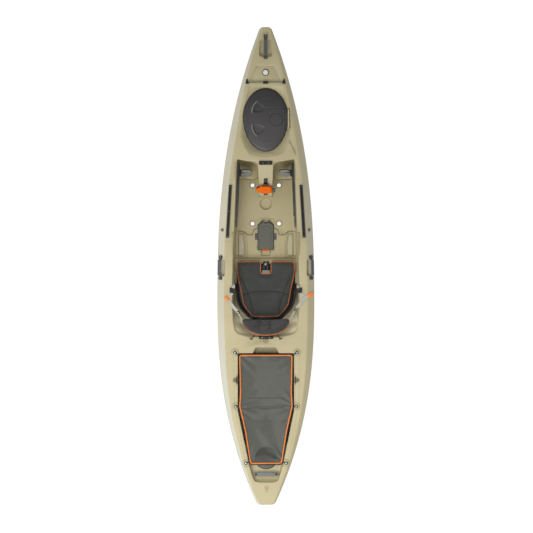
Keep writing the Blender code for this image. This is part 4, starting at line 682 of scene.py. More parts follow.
def spread(tree, value, low, high):
    """A value from 0 to 1 spread over a range."""
    return add(tree, "ShaderNodeMapRange", {"To Min": low, "To Max": high}, {"Value": value}).outputs["Result"]


def mixed(tree, share, first, second):
    """One colour into another by a share; a colour is a hex text or what a node gives."""
    settings, feeds = {"data_type": "RGBA"}, {"Factor": share}
    for socket, colour in (("A", first), ("B", second)):
        if isinstance(colour, str):
            settings[socket] = linear(colour)
        else:
            feeds[socket] = colour
    return add(tree, "ShaderNodeMix", settings, feeds).outputs["Result"]


def scaled(tree, value, factor):
    return add(tree, "ShaderNodeMath", {"operation": "MULTIPLY", 1: factor}, {0: value}).outputs[0]


def tinted(tree, colour, mark_name, strength, mark_colour):
    """The colour turned towards another where the piece is marked."""
    marks = add(tree, "ShaderNodeAttribute", {"attribute_name": mark_name}).outputs["Fac"]
    return mixed(tree, scaled(tree, marks, strength), colour, mark_colour)


def close_material(tree, colour, height, strength, depth, settings, roughness=None):
    """End a material: its colour, a bump of the depth given, and its roughness."""
    bump = add(tree, "ShaderNodeBump", {"Strength": strength, "Distance": depth}, {"Height": height})
    feeds = {"Base Color": colour, "Normal": bump.outputs["Normal"]}
    if roughness:
        feeds["Roughness"] = roughness
    shader = add(tree, "ShaderNodeBsdfPrincipled", settings, feeds)
    add(tree, "ShaderNodeOutputMaterial", links={"Surface": shader.outputs[0]})


# Polyethylene out of a rotational mould: matt, slightly waxy, a faint pebble
# from the mould's grit, clouds where the pigment settled, and painted shade in the creases
polyethylene, tree = new_material("sand rotomoulded polyethylene")
where = own_place(tree)
clouds = noise(tree, where, 3.2, 3.0)
speckle = add(tree, "ShaderNodeTexNoise", {"Scale": 160.0, "Detail": 2.0}, {"Vector": where})
tint = add(tree, "ShaderNodeValToRGB", links={"Fac": clouds})
for stop, position, colour in zip(tint.color_ramp.elements, (0.3, 0.72), ("#B6AB84", "#C0B58F")):
    stop.position, stop.color = position, linear(colour)
fleck = add(
    tree, "ShaderNodeMix", {"data_type": "RGBA", "blend_type": "MULTIPLY", "Factor": 0.1},
    {"A": tint.outputs["Color"], "B": speckle.outputs["Color"]}
)
# Painted highlight on the gunwale bevels and the heel rests
colour = tinted(tree, fleck.outputs["Result"], "painted_highlight", 0.42, "#C6C6BC")
# Painted light on the slope behind the seat
colour = tinted(tree, colour, "painted_light_slope", 1.0, "#F6ECC6")
# Painted shade in the creases and recesses
colour = tinted(tree, colour, "crease", 0.58, "#5E573F")
pebble = noise(tree, where, 420.0, 1.0)
close_material(tree, colour, pebble, 0.1, 0.0004, {"IOR": 1.5}, spread(tree, clouds, 0.42, 0.56))
for piece in (hull, lining):
    finish(piece, polyethylene, nodes=["hull"], angle=80.0)


# Carry handles. A rubber grip moulded over a nylon core and screwed down at both
# ends: one along the bow, one across the stern on posts, one on each gunwale.
def moulded(name, dark, light, roughness, grain, depth, metallic=0.0, sheen=0.0, coat=0.0, shine=0.5):
    """A moulded skin: two shades that drift into each other, and a grain of the size given in metres."""
    material, tree = new_material(name)
    where = own_place(tree)
    drift = noise(tree, where, 14.0, 5.0, 0.62)
    settings = {"Metallic": metallic, "Sheen Weight": sheen, "Coat Weight": coat, "Specular IOR Level": shine}
    rough = spread(tree, drift, roughness - 0.07, roughness + 0.07)
    skin = noise(tree, where, 1.0 / grain, 2.0)
    close_material(tree, mixed(tree, drift, dark, light), skin, 0.5, depth, settings, rough)
    return material


# Thermoplastic rubber over the grips: blue-grey, matt, a fine spark-eroded grain
grip_rubber = moulded("blue-grey grip rubber", "#4A4B4D", "#59595B", 0.72, 0.0011, 0.00008, sheen=0.15)
# Glass-filled black nylon: the small brackets, rails, buckles and hinge parts
black_nylon = moulded("black glass-filled nylon", "#121211", "#1D1C1B", 0.5, 0.0016, 0.00005)
# Stainless steel fasteners, brushed and slightly dulled by salt
stainless = moulded("dulled stainless steel", "#7C7D7C", "#A3A3A0", 0.34, 0.0006, 0.00002, metallic=1.0)


def oval(width, height, squareness=2.0, sides=16):
    """Points round an oval; a higher squareness makes it a rounded rectangle."""
    points = []
    for i in range(sides):
        angle = 2 * math.pi * (i + 0.5) / sides
        c, s = math.cos(angle), math.sin(angle)
        size = (abs(c) ** squareness + abs(s) ** squareness) ** (-1.0 / squareness)
        points.append((width / 2 * c * size, height / 2 * s * size))
    return points


def sweep(path, sections, ups, closed=False):
    """A skin over sections set square to a path; the up vectors turn their second axis."""
    path = [Vector(point) for point in path]
    count = len(path)
    ups = ups if isinstance(ups, list) else [ups] * count
    sections = sections if isinstance(sections[0], list) else [sections] * count
    rings = []
    for i, point in enumerate(path):
        before = path[i - 1] if i or closed else point
        after = path[(i + 1) % count] if i + 1 < count or closed else point
        ahead = (after - before).normalized()
        across = ahead.cross(Vector(ups[i])).normalized()
        rise = across.cross(ahead)
        rings.append([point + across * x + rise * z for x, z in sections[i]])
    return loft(rings, closed=closed)


def turned(profile, sides=40):
    """A turned form about Z from (radius, height) points, its ends closed."""
    turn = 2 * math.pi / sides
    return loft(
        [[(r * math.cos(i * turn), r * math.sin(i * turn), z) for i in range(sides)] for r, z in profile]
    )


def merge(*parts):
    """Several meshes as one."""
    whole = bmesh.new()
    for part in parts:
        mesh = bpy.data.meshes.new("part")
        part.to_mesh(mesh)
        part.free()
        whole.from_mesh(mesh)
        bpy.data.meshes.remove(mesh)
    return whole


def rounded_block(x, y, z, radius, steps=2):
    """A block between limits, its edges rounded off."""
    bm = block(x, y, z)
    bmesh.ops.bevel(bm, geom=list(bm.edges), offset=radius, segments=steps, affect="EDGES", profile=0.5)
    return bm


def mirrored(bm):
    """The same mesh on the port side."""
    twin = bm.copy()
    bmesh.ops.scale(twin, vec=(-1.0, 1.0, 1.0), verts=twin.verts)
    return twin


def on_axis(axis, *place):
    """A frame at a place, its Z laid along Y by a turn about X, or along X by a turn about Y."""
    return Matrix.Translation(place) @ Matrix.Rotation(math.pi / 2, 4, axis)


def to_port(vector):
    return Vector((-vector.x, vector.y, vector.z))


def finish_pair(name, bm, material, bodies=(FIXED, FIXED), nodes=(), angle=40.0):
    """Finish a starboard piece and its port twin; nodes are named without left or right."""
    for hand, mesh, body in (("left", mirrored(bm), bodies[0]), ("right", bm, bodies[1])):
        fit(f"{name}_{hand}", mesh, material, body, [f"{node}_{hand}" for node in nodes], angle)


def put_nodes_on(name, mesh, tree, inputs):
    """Run a geometry node group on a mesh and keep what it makes as a plain mesh."""
    piece = add_object(name, mesh)
    modifier = piece.modifiers.new("made by rule", "NODES")
    modifier.node_group = tree
    for item in tree.interface.items_tree:
        if item.in_out == "INPUT" and item.name in inputs:
            modifier[item.identifier] = inputs[item.name]
    settle(piece)
    return piece


def node_group(name, inputs):
    """A geometry node group with named inputs, each given as a socket type and a default."""
    tree = bpy.data.node_groups.new(name, "GeometryNodeTree")
    tree.interface.new_socket("Geometry", in_out="INPUT", socket_type="NodeSocketGeometry")
    for label, (kind, value) in inputs.items():
        socket = tree.interface.new_socket(label, in_out="INPUT", socket_type=kind)
        if value is not None:
            socket.default_value = value
    tree.interface.new_socket("Geometry", in_out="OUTPUT", socket_type="NodeSocketGeometry")
    return tree, add(tree, "NodeGroupInput").outputs


def end_group(tree, shape, material):
    """Make a group's instances real, give them their material and hand them out."""
    real = add(tree, "GeometryNodeRealizeInstances", {}, {"Geometry": shape})
    feeds = {"Geometry": real.outputs["Geometry"], "Material": material}
    coat = add(tree, "GeometryNodeSetMaterial", {}, feeds)
    add(tree, "NodeGroupOutput", {}, {"Geometry": coat.outputs["Geometry"]})


# One pan-head screw with a cross recess; a node group sets it at every place
profile = [(0.62, -0.05), (1.0, -0.05), (1.0, 0.22), (0.9, 0.4), (0.66, 0.52), (0.34, 0.58)]
head = mesh_piece("screw_head", turned(profile, 20))
cut_away(
    head, mesh_piece("slot_a", block((-0.62, 0.62), (-0.12, 0.12), (0.26, 0.8))),
    mesh_piece("slot_b", block((-0.12, 0.12), (-0.62, 0.62), (0.26, 0.8)))
)
inputs = {
    "Head radius": ("NodeSocketFloat", 0.004), "Model": ("NodeSocketObject", None),
    "Seed": ("NodeSocketInt", 3), "Material": ("NodeSocketMaterial", None)
}
screw_tree, given = node_group("screws at places", inputs)
facing = add(screw_tree, "GeometryNodeInputNamedAttribute", {"data_type": "FLOAT_VECTOR", "Name": "facing"})
to_facing = {"Vector": facing.outputs["Attribute"]}
stand = add(screw_tree, "FunctionNodeAlignRotationToVector", {"axis": "Z"}, to_facing)
angle = add(
    screw_tree, "FunctionNodeRandomValue", {"data_type": "FLOAT", "Max": math.pi}, {"Seed": given["Seed"]}
)
by_angle = {"Angle": angle.outputs["Value"]}
twist = add(screw_tree, "FunctionNodeAxisAngleToRotation", {"Axis": (0.0, 0.0, 1.0)}, by_angle)
turns = {"Rotation": stand.outputs["Rotation"], "Rotate By": twist.outputs["Rotation"]}
turn = add(screw_tree, "FunctionNodeRotateRotation", {"rotation_space": "LOCAL"}, turns)
model = add(screw_tree, "GeometryNodeObjectInfo", {}, {"Object": given["Model"]})
feeds = {
    "Points": given["Geometry"], "Instance": model.outputs["Geometry"], "Rotation": turn.outputs["Rotation"],
    "Scale": given["Head radius"]
}
placed = add(screw_tree, "GeometryNodeInstanceOnPoints", {}, feeds)
end_group(screw_tree, placed.outputs["Instances"], given["Material"])


def screws(name, places, radius, body=FIXED, material=stainless):
    """Screw heads at (point, direction) places, as one piece on a body."""
    mesh = bpy.data.meshes.new(name)
    mesh.from_pydata([tuple(point) for point, facing in places], [], [])
    directions = np.array([tuple(Vector(facing).normalized()) for point, facing in places]).ravel()
    mesh.attributes.new("facing", "FLOAT_VECTOR", "POINT").data.foreach_set("vector", directions)
    inputs = {"Head radius": radius, "Model": head, "Seed": 3, "Material": material}
    return finish(put_nodes_on(name, mesh, screw_tree, inputs), material, body, angle=30.0)


def grip(half, lift, foot=0.026, ramp=0.018, low=0.0056):
    """A ribbed grip bar along Y, raised in the middle by the lift given."""
    path, sections = [], []
    count = 120
    for i in range(count + 1):
        y = half * (2 * i / count - 1)
        share = min(1.0, max(0.0, (half - foot - abs(y)) / ramp))
        ease = share * share * (3 - 2 * share)
        end = min(1.0, (half - abs(y)) / 0.006 + 0.25)
        rib = 0.0011 * (0.5 - 0.5 * math.cos(2 * math.pi * y / 0.009)) if share == 1.0 else 0.0
        path.append((0.0, y, low + lift * ease))
        width, height = 0.0255 + 0.0045 * ease - rib, 0.0085 + 0.0025 * ease - rib
        sections.append(oval(width * math.sqrt(end), height * math.sqrt(end), 3.2))
    return sweep(path, sections, (0.0, 0.0, 1.0))


def bevel_frame(y, reach, share):
    """A frame on the starboard bevel: X down the bevel, Y along it, Z out of it."""
    ends = []
    for place in (y - reach, y + reach):
        width = bevel_width(place)
        x, z = half_beam(place) - width * (1.0 - share), sheer(place) - BEVEL_SLOPE * width * share
        ends.append(Vector((x, place, z)))
    along = (ends[1] - ends[0]).normalized()
    out = Vector((1.0, 0.0, -BEVEL_SLOPE)).normalized().cross(along).normalized()
    turn = Matrix((along.cross(out), along, out)).transposed().to_4x4()
    return Matrix.Translation((ends[0] + ends[1]) / 2) @ turn


HANDLE_HALF = 0.095
bow_at = deck_frame(0.0, 1.712)
fit("bow_grip", moved(grip(HANDLE_HALF, 0.016), bow_at), grip_rubber, nodes=["bow_handle"])
side_at = bevel_frame(-0.0125, HANDLE_HALF - 0.013, 0.5)
finish_pair(
    "side_grip", moved(grip(HANDLE_HALF, 0.016), side_at), grip_rubber, nodes=["side_handle"]
)

# Dark end caps, which the screws go through
caps = []
for y in (-HANDLE_HALF + 0.0125, HANDLE_HALF - 0.0125):
    outline = smooth_outline(
        [(0.0155, y - 0.012), (0.0155, y + 0.012), (-0.0155, y + 0.012), (-0.0155, y - 0.012)], 0.007
    )
    steps = ((1, 0.0006), (1, 0.0098), (0.9, 0.0118))
    caps.append(loft([[(x * s, y + (v - y) * s, z) for x, v in outline] for s, z in steps]))
ends = merge(*caps)
dark_nylon = moulded("dark grey nylon", "#2B2C2D", "#3B3C3D", 0.55, 0.0016, 0.00006)
fit("bow_grip_ends", moved(ends.copy(), bow_at), dark_nylon)
finish_pair("side_grip_ends", moved(ends, side_at), dark_nylon)
handle_screws = []
for frame_at in (bow_at, side_at):
    for y in (-0.0825, 0.0825):
        point, facing = frame_at @ Vector((0.0, y, 0.0118)), frame_at.to_3x3() @ Vector((0, 0, 1))
        handle_screws.append((point, facing))
handle_screws += [(to_port(point), to_port(facing)) for point, facing in handle_screws[2:]]

# The stern handle stands on two posts across the rear of the tank well
STERN_HANDLE = Vector((0.0, -1.628, 0.3033))
bar = moved(grip(0.0952, 0.0, low=0.0), on_axis("Z", *STERN_HANDLE))
# The stern grip is a lighter grey than the others
pale_grip_rubber = moulded("light grey grip rubber", "#656667", "#7A7B7C", 0.66, 0.0011, 0.00008, sheen=0.15)
fit("stern_grip", bar, pale_grip_rubber, nodes=["stern_handle"])
stern_screws, posts = [], []
profile = [(0.0105, -0.0355), (0.0125, -0.034), (0.0118, -0.03), (0.01, -0.012), (0.0118, -0.004)]
for x in (-0.0792, 0.0792):
    posts.append(moved(turned(profile, 24), Matrix.Translation(STERN_HANDLE + Vector((x, 0.0, 0.0)))))
    stern_screws.append((STERN_HANDLE + Vector((x, 0.0, 0.0052)), (0, 0, 1)))
fit("stern_grip_posts", merge(*posts), black_nylon)
screws("handle_screws", handle_screws, 0.0038)
screws("stern_handle_screws", stern_screws, 0.008, material=black_nylon)


# Badge. A blank domed disc of clear-coated white plastic in a dark bezel, glued
# into the bow panel; it carries no mark.
badge_at = deck_frame(0.0, 1.512)
# White lens of the badge, glossy
white_plastic = moulded("glossy white plastic", "#DAD9D2", "#E6E5DF", 0.22, 0.004, 0.00001, coat=0.5)
profile = [
    (0.0185, 0.0006), (0.0205, 0.0012), (0.02, 0.0026), (0.015, 0.0038), (0.007, 0.0044), (0.002, 0.0045)
]
lens = moved(turned(profile), badge_at)
fit("badge_lens", lens, white_plastic, nodes=["bow_badge"])
profile = [
    (0.02, 0.0004), (0.025, 0.0004), (0.025, 0.0016), (0.0235, 0.003), (0.0212, 0.0032), (0.0203, 0.0024)
]
fit("badge_bezel", moved(turned(profile), badge_at), black_nylon)


# Bow bungee. A shock cord across the bow, knotted through two pad eyes, with a
# black hook on its middle for a paddle or a drip line.
def tube(points, radius, sides=12, closed=False):
    """A round cord through the points."""
    points = [Vector(point) for point in points]
    ahead = (points[1] - points[0]).normalized()
    up = Vector((0, 0, 1)) if abs(ahead.z) < 0.9 else Vector((0, 1, 0))
    ups = [up]
    for i in range(1, len(points)):
        following = points[(i + 1) % len(points)] if i + 1 < len(points) or closed else points[i]
        ahead = (following - points[i - 1]).normalized()
        ups.append((ups[-1] - ahead * ups[-1].dot(ahead)).normalized())
    return sweep(points, oval(2 * radius, 2 * radius, 2.0, sides), ups, closed)


def threads(tree, where, pitch, distortion):
    """Crossed threads at a pitch in metres; a wave texture repeats every 0.314 / scale metres."""
    settings = {"Scale": 0.314 / pitch, "Distortion": distortion, "Detail": 1.0}
    feeds = {"Vector": where}
    return [
        add(tree, "ShaderNodeTexWave", {"bands_direction": direction, **settings}, feeds).outputs["Fac"]
        for direction in ("X", "Y")
    ]


def cloth_shade(tree, weave, drift, share, dark, light):
    """Two shades of a cloth, mixed by its threads and by a slow drift."""
    both = add(tree, "ShaderNodeMath", {"operation": "MULTIPLY_ADD", 1: share}, {0: weave, 2: drift})
    return mixed(tree, both.outputs[0], dark, light)


def woven(name, dark, light, thread, roughness, sheen, where="Object", depth=0.35):
    """Cloth or webbing: crossed threads of the width given in metres, uneven in shade."""
    material, tree = new_material(name)
    where = add(tree, "ShaderNodeTexCoord").outputs[where]
    warp, weft = threads(tree, where, 2 * thread, 0.4)
    weave = add(tree, "ShaderNodeMath", {"operation": "MULTIPLY"}, {0: warp, 1: weft}).outputs[0]
    colour = cloth_shade(tree, weave, noise(tree, where, 11.0, 6.0, 0.65), 0.35, dark, light)
    # Painted shade darkens the cloth along the channels that press marks
    colour = tinted(tree, colour, "crease", 0.55, "#0C0C0B")
    settings = {"Roughness": roughness, "Sheen Weight": sheen, "Sheen Roughness": 0.5}
    close_material(tree, colour, weave, 0.6, depth * thread, settings)
    return material


# Braided sheath of the shock cord, black with a grey fleck
shock_cord = woven("black braided shock cord", "#0B0B0B", "#222222", 0.0011, 0.8, 0.2)
cord_at = deck_frame(0.0, 1.436)
reach = 0.1385
route = [(x, 0.0012 * math.cos(9 * x), 0.014) for x in np.linspace(-reach, reach, 60)]
cord = moved(tube(route, 0.003, 10), cord_at)
knots = []
for side in (-1, 1):
    knot = bmesh.new()
    bmesh.ops.create_icosphere(knot, subdivisions=3, radius=0.0052)
    bmesh.ops.scale(knot, vec=(1.25, 1.0, 0.9), verts=knot.verts)
    knots.append(moved(knot, cord_at @ Matrix.Translation((side * 0.15, 0.001, 0.0135))))
fit("bungee_cord", merge(cord, *knots), shock_cord, nodes=["bow_bungee"])

eye_at = deck_frame(0.143, 1.436)
base = smooth_outline([(0.006, 0.025), (-0.003, 0.025), (-0.015, -0.014), (0.0165, -0.014)], 0.0045, 4)
foot = loft([[(x * s, y * s, z) for x, y in base] for s, z in ((1.0, 0.0004), (1.0, 0.0038), (0.88, 0.0052))])
arch = [
    (0.0, 0.0088 * math.cos(a) - 0.003, 0.003 + 0.0165 * math.sin(a)) for a in np.linspace(0.0, math.pi, 21)
]
finish_pair(
    "bow_padeye", moved(merge(foot, tube(arch, 0.0027, 10)), eye_at), black_nylon,
    nodes=["bow_padeye"]
)
up = eye_at.to_3x3() @ Vector((0, 0, 1))
places = [eye_at @ Vector((0.008, -0.008, 0.0052)), eye_at @ Vector((0.0015, 0.016, 0.0052))]
screws("padeye_screws", [(Vector((s * p.x, p.y, p.z)), up) for s in (-1, 1) for p in places], 0.0026)

# The hook: a moulded clip that snaps round the cord, with a thumb tab
clip = [rounded_block((-0.02, 0.02), (-0.0125, 0.008), (0.0006, 0.01), 0.003, 3)]
for x in (-0.0135, 0.0, 0.0135):
    jaw = [(x, 0.0045 * math.cos(a), 0.014 + 0.0046 * math.sin(a)) for a in np.linspace(-1.1, 4.2, 16)]
    clip.append(sweep(jaw, oval(0.0075, 0.0022, 3.0, 10), (1.0, 0.0, 0.0)))
fit("bungee_clip", moved(merge(*clip), cord_at), black_nylon, nodes=["bungee_hook"])


# Bow hatch. A rim screwed in the recess, a foam seal lying on it, and a domed lid
# moulded with two fan-shaped grips, hinged on a steel pin along starboard.
HINGE_X, HINGE_Z, HINGE_EYE = 0.18, 0.01, 0.006
rim_low, rim_top = 0.0003 - HATCH_RECESS, 0.0083 - HATCH_RECESS
seal_top = rim_top + 0.0048
lid_low = seal_top + 0.0003


def egg_at(grow, z, scale=1.0, sides=120):
    return [(x, y, z) for x, y in egg(grow, sides, scale)]


def egg_ring(profile):
    """A ring along the hatch's outline from (growth, level) points of its section."""
    return loft([egg_at(grow, z) for grow, z in profile], closed=True)


rim = egg_ring(
    [
        (0.0028, rim_low), (0.0028, rim_top - 0.0015), (0.0012, rim_top), (-0.0065, rim_top), (-0.019, rim_top),
        (-0.0285, rim_top), (-0.03, rim_top - 0.0012), (-0.03, rim_low)
    ]
)
parts = []
for near, far in ((-0.088, -0.076), (0.056, 0.068)):
    parts.append(block((HATCH_HALF - 0.018, HINGE_X + HINGE_EYE), (near, far), (-0.0142, rim_top - 0.001)))
    arc = [math.radians(a) for a in range(0, 181, 15)]
    ear = [(HINGE_X + HINGE_EYE * math.cos(a), HINGE_Z + HINGE_EYE * math.sin(a)) for a in arc]
    ear += [(HINGE_X - HINGE_EYE, -0.0137), (HINGE_X + HINGE_EYE, -0.0137)]
    parts.append(loft([[(x, y, z) for x, z in ear] for y in (near + 0.0004, far - 0.0004)]))
fit("bow_rim", moved(rim, HATCH_FRAME), black_nylon, nodes=["bow_hatch_rim"])
fit("bow_hinge_ears", moved(merge(*parts), HATCH_FRAME), polyethylene)
up = HATCH_FRAME.to_3x3() @ Vector((0, 0, 1))
places = [(HATCH_FRAME @ Vector((x, y, rim_top)), up) for x, y in egg(-0.0245, 16)]
screws("bow_rim_screws", places, 0.0034)

# Closed-cell foam of the hatch seals
seal_foam = moulded("closed-cell seal foam", "#1B1C1D", "#2A2B2C", 0.92, 0.0009, 0.00025, sheen=0.1)
seal = egg_ring(
    [
        (-0.0082, rim_top + 0.0003), (-0.0078, rim_top + 0.0025), (-0.0095, seal_top), (-0.0165, seal_top),
        (-0.0182, rim_top + 0.0025), (-0.0178, rim_top + 0.0003)
    ]
)
fit("bow_seal", moved(seal, HATCH_FRAME), seal_foam, nodes=["bow_hatch_seal"])

# Lid: an even grid squeezed into the egg outline, then raised into the dome
CELLS = 132
GRIP_FAN = [
    (-0.1056, 0.0478), (-0.101, 0.075), (-0.09, 0.102), (-0.0681, 0.1284), (-0.05, 0.123), (0.0039, 0.0745),
    (-0.024, 0.051), (-0.0587, 0.0416)
]
grip_lip = curve_through([(x, y, 0.0) for x, y in GRIP_FAN[:4]], 6)
fans = [GRIP_FAN, [(x, -0.009 - y) for x, y in GRIP_FAN]]
lips = [[(p.x, p.y) for p in grip_lip], [(p.x, -0.009 - p.y) for p in grip_lip]]
u, v = np.meshgrid(np.linspace(-1, 1, CELLS + 1), np.linspace(-1, 1, CELLS + 1))
p, q = u * np.sqrt(1 - v * v / 2), v * np.sqrt(1 - u * u / 2)
x = HATCH_HALF * p
y = np.where(q > 0, HATCH_FRONT, HATCH_REAR) * q
radius = np.hypot(p, q)
dome = [
    (0, 0.0232), (0.3, 0.0225), (0.55, 0.0208), (0.75, 0.018), (0.9, 0.0135), (0.965, 0.0095), (0.99, 0.0062),
    (1.0, 0.004)
]
z = np.interp(radius, *zip(*dome))
flat_x, flat_y = x.ravel(), y.ravel()
shade, rubbed = np.zeros(len(flat_x)), np.zeros(len(flat_x))
height = z.ravel()
# Grip hollows with painted shade at their edges and a painted highlight on their raised lips
for fan, lip in zip(fans, lips):
    gap = polygon_distance(flat_x, flat_y, fan)
    share = np.clip(-gap / 0.01, 0.0, 1.0)
    toward_lip = np.clip((0.03 - flat_x) / 0.13, 0.15, 1.0)
    height -= 0.0105 * share * share * (3 - 2 * share) * toward_lip
    near_lip = np.exp(-((polygon_distance(flat_x + 0.001, flat_y, lip, False) / 0.0048) ** 2))
    height += 0.0062 * near_lip
    shade = np.maximum(shade, 0.7 * np.clip(1 - np.abs(gap) / 0.004, 0, 1)) * (1 - near_lip)
    rubbed = np.maximum(rubbed, near_lip)
# Grooves darkened with painted shade
for path, depth, width in (
    ([(0.0, 0.0754), (0.1448, 0.0754)], 0.0016, 0.0022), ([(-0.137, -0.13), (-0.137, 0.13)], 0.0011, 0.0024)
):
    groove = np.exp(-((polygon_distance(flat_x, flat_y, path, False) / width) ** 2))
    height -= depth * groove
    shade = np.maximum(shade, 1.2 * groove)
# A ring groove darkened with painted shade
ring = np.abs(np.hypot(flat_x - 0.0837, flat_y + 0.0116) - 0.05)
height -= 0.0014 * np.exp(-((ring / 0.0024) ** 2))
shade = np.maximum(shade, 1.3 * np.exp(-((ring / 0.003) ** 2)))
# The port band is set a little lower and darkened
port_band = np.clip((-0.139 - flat_x) / 0.004, 0, 1) * (radius.ravel() < 0.985)
height -= 0.0022 * port_band
shade = np.maximum(shade, 0.42 * port_band)
# Hinge marks: small dents darkened with painted shade
for y_hinge in (0.0683, 0.0433, -0.0106, -0.0599, -0.0873):
    dent = np.exp(-(((flat_x - 0.151) / 0.005) ** 4) - (((flat_y - y_hinge) / 0.0065) ** 4))
    height -= 0.003 * dent
    shade = np.maximum(shade, 1.5 * dent)
bm = bmesh.new()
height = height.reshape(x.shape)
grid = [[bm.verts.new(point) for point in zip(*row)] for row in zip(x, y, height)]
for i in range(CELLS):
    for j in range(CELLS):
        bm.faces.new((grid[i][j], grid[i][j + 1], grid[i + 1][j + 1], grid[i + 1][j]))
edge = [grid[0][j] for j in range(CELLS)] + [grid[i][CELLS] for i in range(CELLS)]
edge += [grid[CELLS][j] for j in range(CELLS, 0, -1)] + [grid[i][0] for i in range(CELLS, 0, -1)]
last = edge
for grow, level in (
    (0.0, lid_low + 0.001), (-0.0012, lid_low), (-0.024, lid_low), (-0.034, 0.008), (-0.11, 0.014)
):
    row = []
    for vert in edge:
        scale_x = (HATCH_HALF + grow) / HATCH_HALF
        reach = HATCH_FRONT if vert.co.y > 0 else HATCH_REAR
        row.append(bm.verts.new((vert.co.x * scale_x, vert.co.y * (reach + grow) / reach, level)))
    for i in range(len(edge)):
        j = (i + 1) % len(edge)
        bm.faces.new((last[i], last[j], row[j], row[i]))
    last = row
bm.faces.new(last)
straps = []
for near, far in ((-0.0745, -0.0105), (-0.0095, 0.0545)):
    # The sand-coloured knuckles and the webs that carry them, screwed under the lid
    web = block((HATCH_HALF + 0.0008, HINGE_X), (near, far), (0.0005, 0.0055))
    long = far - near
    profile = [(0.0045, -0.0005), (HINGE_EYE, 0.0006), (HINGE_EYE, long - 0.0006), (0.0045, long + 0.0005)]
    straps += [web, moved(turned(profile, 24), on_axis("X", HINGE_X, far, HINGE_Z))]
fit("bow_hinge_strap", moved(merge(*straps), HATCH_FRAME), polyethylene, "bow lid")
lid = mesh_piece("bow_lid", moved(bm, HATCH_FRAME))
inverse = np.array(HATCH_FRAME.inverted())
points = np.array([tuple(vert.co) + (1.0,) for vert in lid.data.vertices]) @ inverse.T
for name, marked in (("crease", shade), ("rubbed", rubbed)):
    cells = {(round(a, 4), round(b, 4)): s for a, b, s in zip(flat_x, flat_y, marked)}
    values = [cells.get((round(p[0], 4), round(p[1], 4)), 0.0) if p[2] > 0.004 else 0.0 for p in points]
    mark(lid.data, name, values)

# Lid plastic: charcoal with a violet cast, matt, with painted shade in its moulded lines
charcoal, tree = new_material("charcoal hatch plastic")
where = own_place(tree)
colour = mixed(tree, noise(tree, where, 16.0, 6.0, 0.6), "#3A3738", "#444142")
# Painted shade darkens the lid towards its front, so its after part stays paler
place = add(tree, "ShaderNodeSeparateXYZ", {}, {"Vector": where})
forward = {"From Min": 1.1, "From Max": 1.32, "To Max": 0.75}
forward = add(tree, "ShaderNodeMapRange", forward, {"Value": place.outputs["Y"]})
colour = mixed(tree, forward.outputs["Result"], colour, "#262424")
colour = tinted(tree, colour, "crease", 0.62, "#161618")
# A painted highlight on the lips of the grips
colour = tinted(tree, colour, "rubbed", 0.85, "#85857B")
close_material(tree, colour, noise(tree, where, 620.0, 2.0), 0.5, 0.00012, {"Roughness": 0.48})
finish(lid, charcoal, "bow lid", ["bow_hatch_lid"])
pin = on_axis("X", HINGE_X, 0.07, HINGE_Z)
profile = [(0.0018, 0.0), (0.0025, 0.0008), (0.0025, 0.1592), (0.0018, 0.16)]
fit(
    "bow_lid_pin", moved(turned(profile, 16), HATCH_FRAME @ pin), stainless,
    nodes=["bow_hatch_pin"]
)


# Midship hatch. A rim with its hinge ears in the footwell floor, a seal on it, a
# lid with cut front corners on a steel pin, and an orange latch on the lid's edge.
MID = Matrix.Translation((0.0, MIDSHIP_Y, 0.085))


def oblong(half, reach, radius, z=None, steps=5):
    corners = [(half, -reach), (half, reach), (-half, reach), (-half, -reach)]
    outline = smooth_outline(corners, radius, steps)
    return outline if z is None else [(x, y, z) for x, y in outline]


def mid_outline(half, reach, cut, z):
    """The midship hatch's outline at a level: an oblong with its two front corners cut."""
    corners = [
        (half, -reach), (half, reach - cut), (half - cut, reach), (-half + cut, reach), (-half, reach - cut),
        (-half, -reach)
    ]
    return [(x, y, z) for x, y in smooth_outline(corners, 0.006, 4)]


def mid_ring(profile):
    """A ring from the (half width, half length, cut, level) of its section's points."""
    return loft([mid_outline(*point) for point in profile], closed=True)


parts = [
    mid_ring(
        [
            (0.0642, 0.1085, 0.022, 0.0004), (0.0642, 0.1085, 0.022, 0.0086), (0.063, 0.1073, 0.021, 0.01),
            (0.056, 0.101, 0.018, 0.01), (0.0512, 0.0952, 0.016, 0.01), (0.05, 0.094, 0.016, 0.0088),
            (0.05, 0.094, 0.016, 0.0004)
        ]
    )
]
tabs = []
mid_axis = (0.115, 0.0191)
for side in (-1, 1):
    x = sorted((side * 0.0602, side * 0.0845))
    tabs.append(rounded_block(x, (-0.029, 0.021), (0.0006, 0.0135), 0.003, 3))
    arc = [math.radians(a) for a in range(0, 181, 20)]
    ear = [(mid_axis[0] + 0.0045 * math.cos(a), mid_axis[1] + 0.0045 * math.sin(a)) for a in arc]
    ear += [(mid_axis[0] - 0.0045, 0.008), (mid_axis[0] - 0.0045, 0.0012), (mid_axis[0] + 0.0045, 0.0012)]
    parts.append(loft([[(side * x, y, z) for y, z in ear] for x in (0.0267, 0.0343)]))
fit("midship_rim", moved(merge(*parts), MID), black_nylon, nodes=["midship_hatch_rim"])
fit("midship_side_tabs", moved(merge(*tabs), MID), grip_rubber)
places = [MID @ Vector((side * 0.076, y, 0.0135)) for side in (-1, 1) for y in (-0.019, 0.011)]
screws("midship_rim_screws", [(point, (0, 0, 1)) for point in places], 0.0034)

seal = mid_ring(
    [
        (0.0588, 0.1028, 0.019, 0.0103), (0.059, 0.103, 0.019, 0.0124), (0.0578, 0.1018, 0.019, 0.0143),
        (0.0544, 0.0984, 0.018, 0.0143), (0.0532, 0.0972, 0.018, 0.0124), (0.0534, 0.0974, 0.018, 0.0103)
    ]
)
fit("midship_seal", moved(seal, MID), seal_foam, nodes=["midship_hatch_seal"])

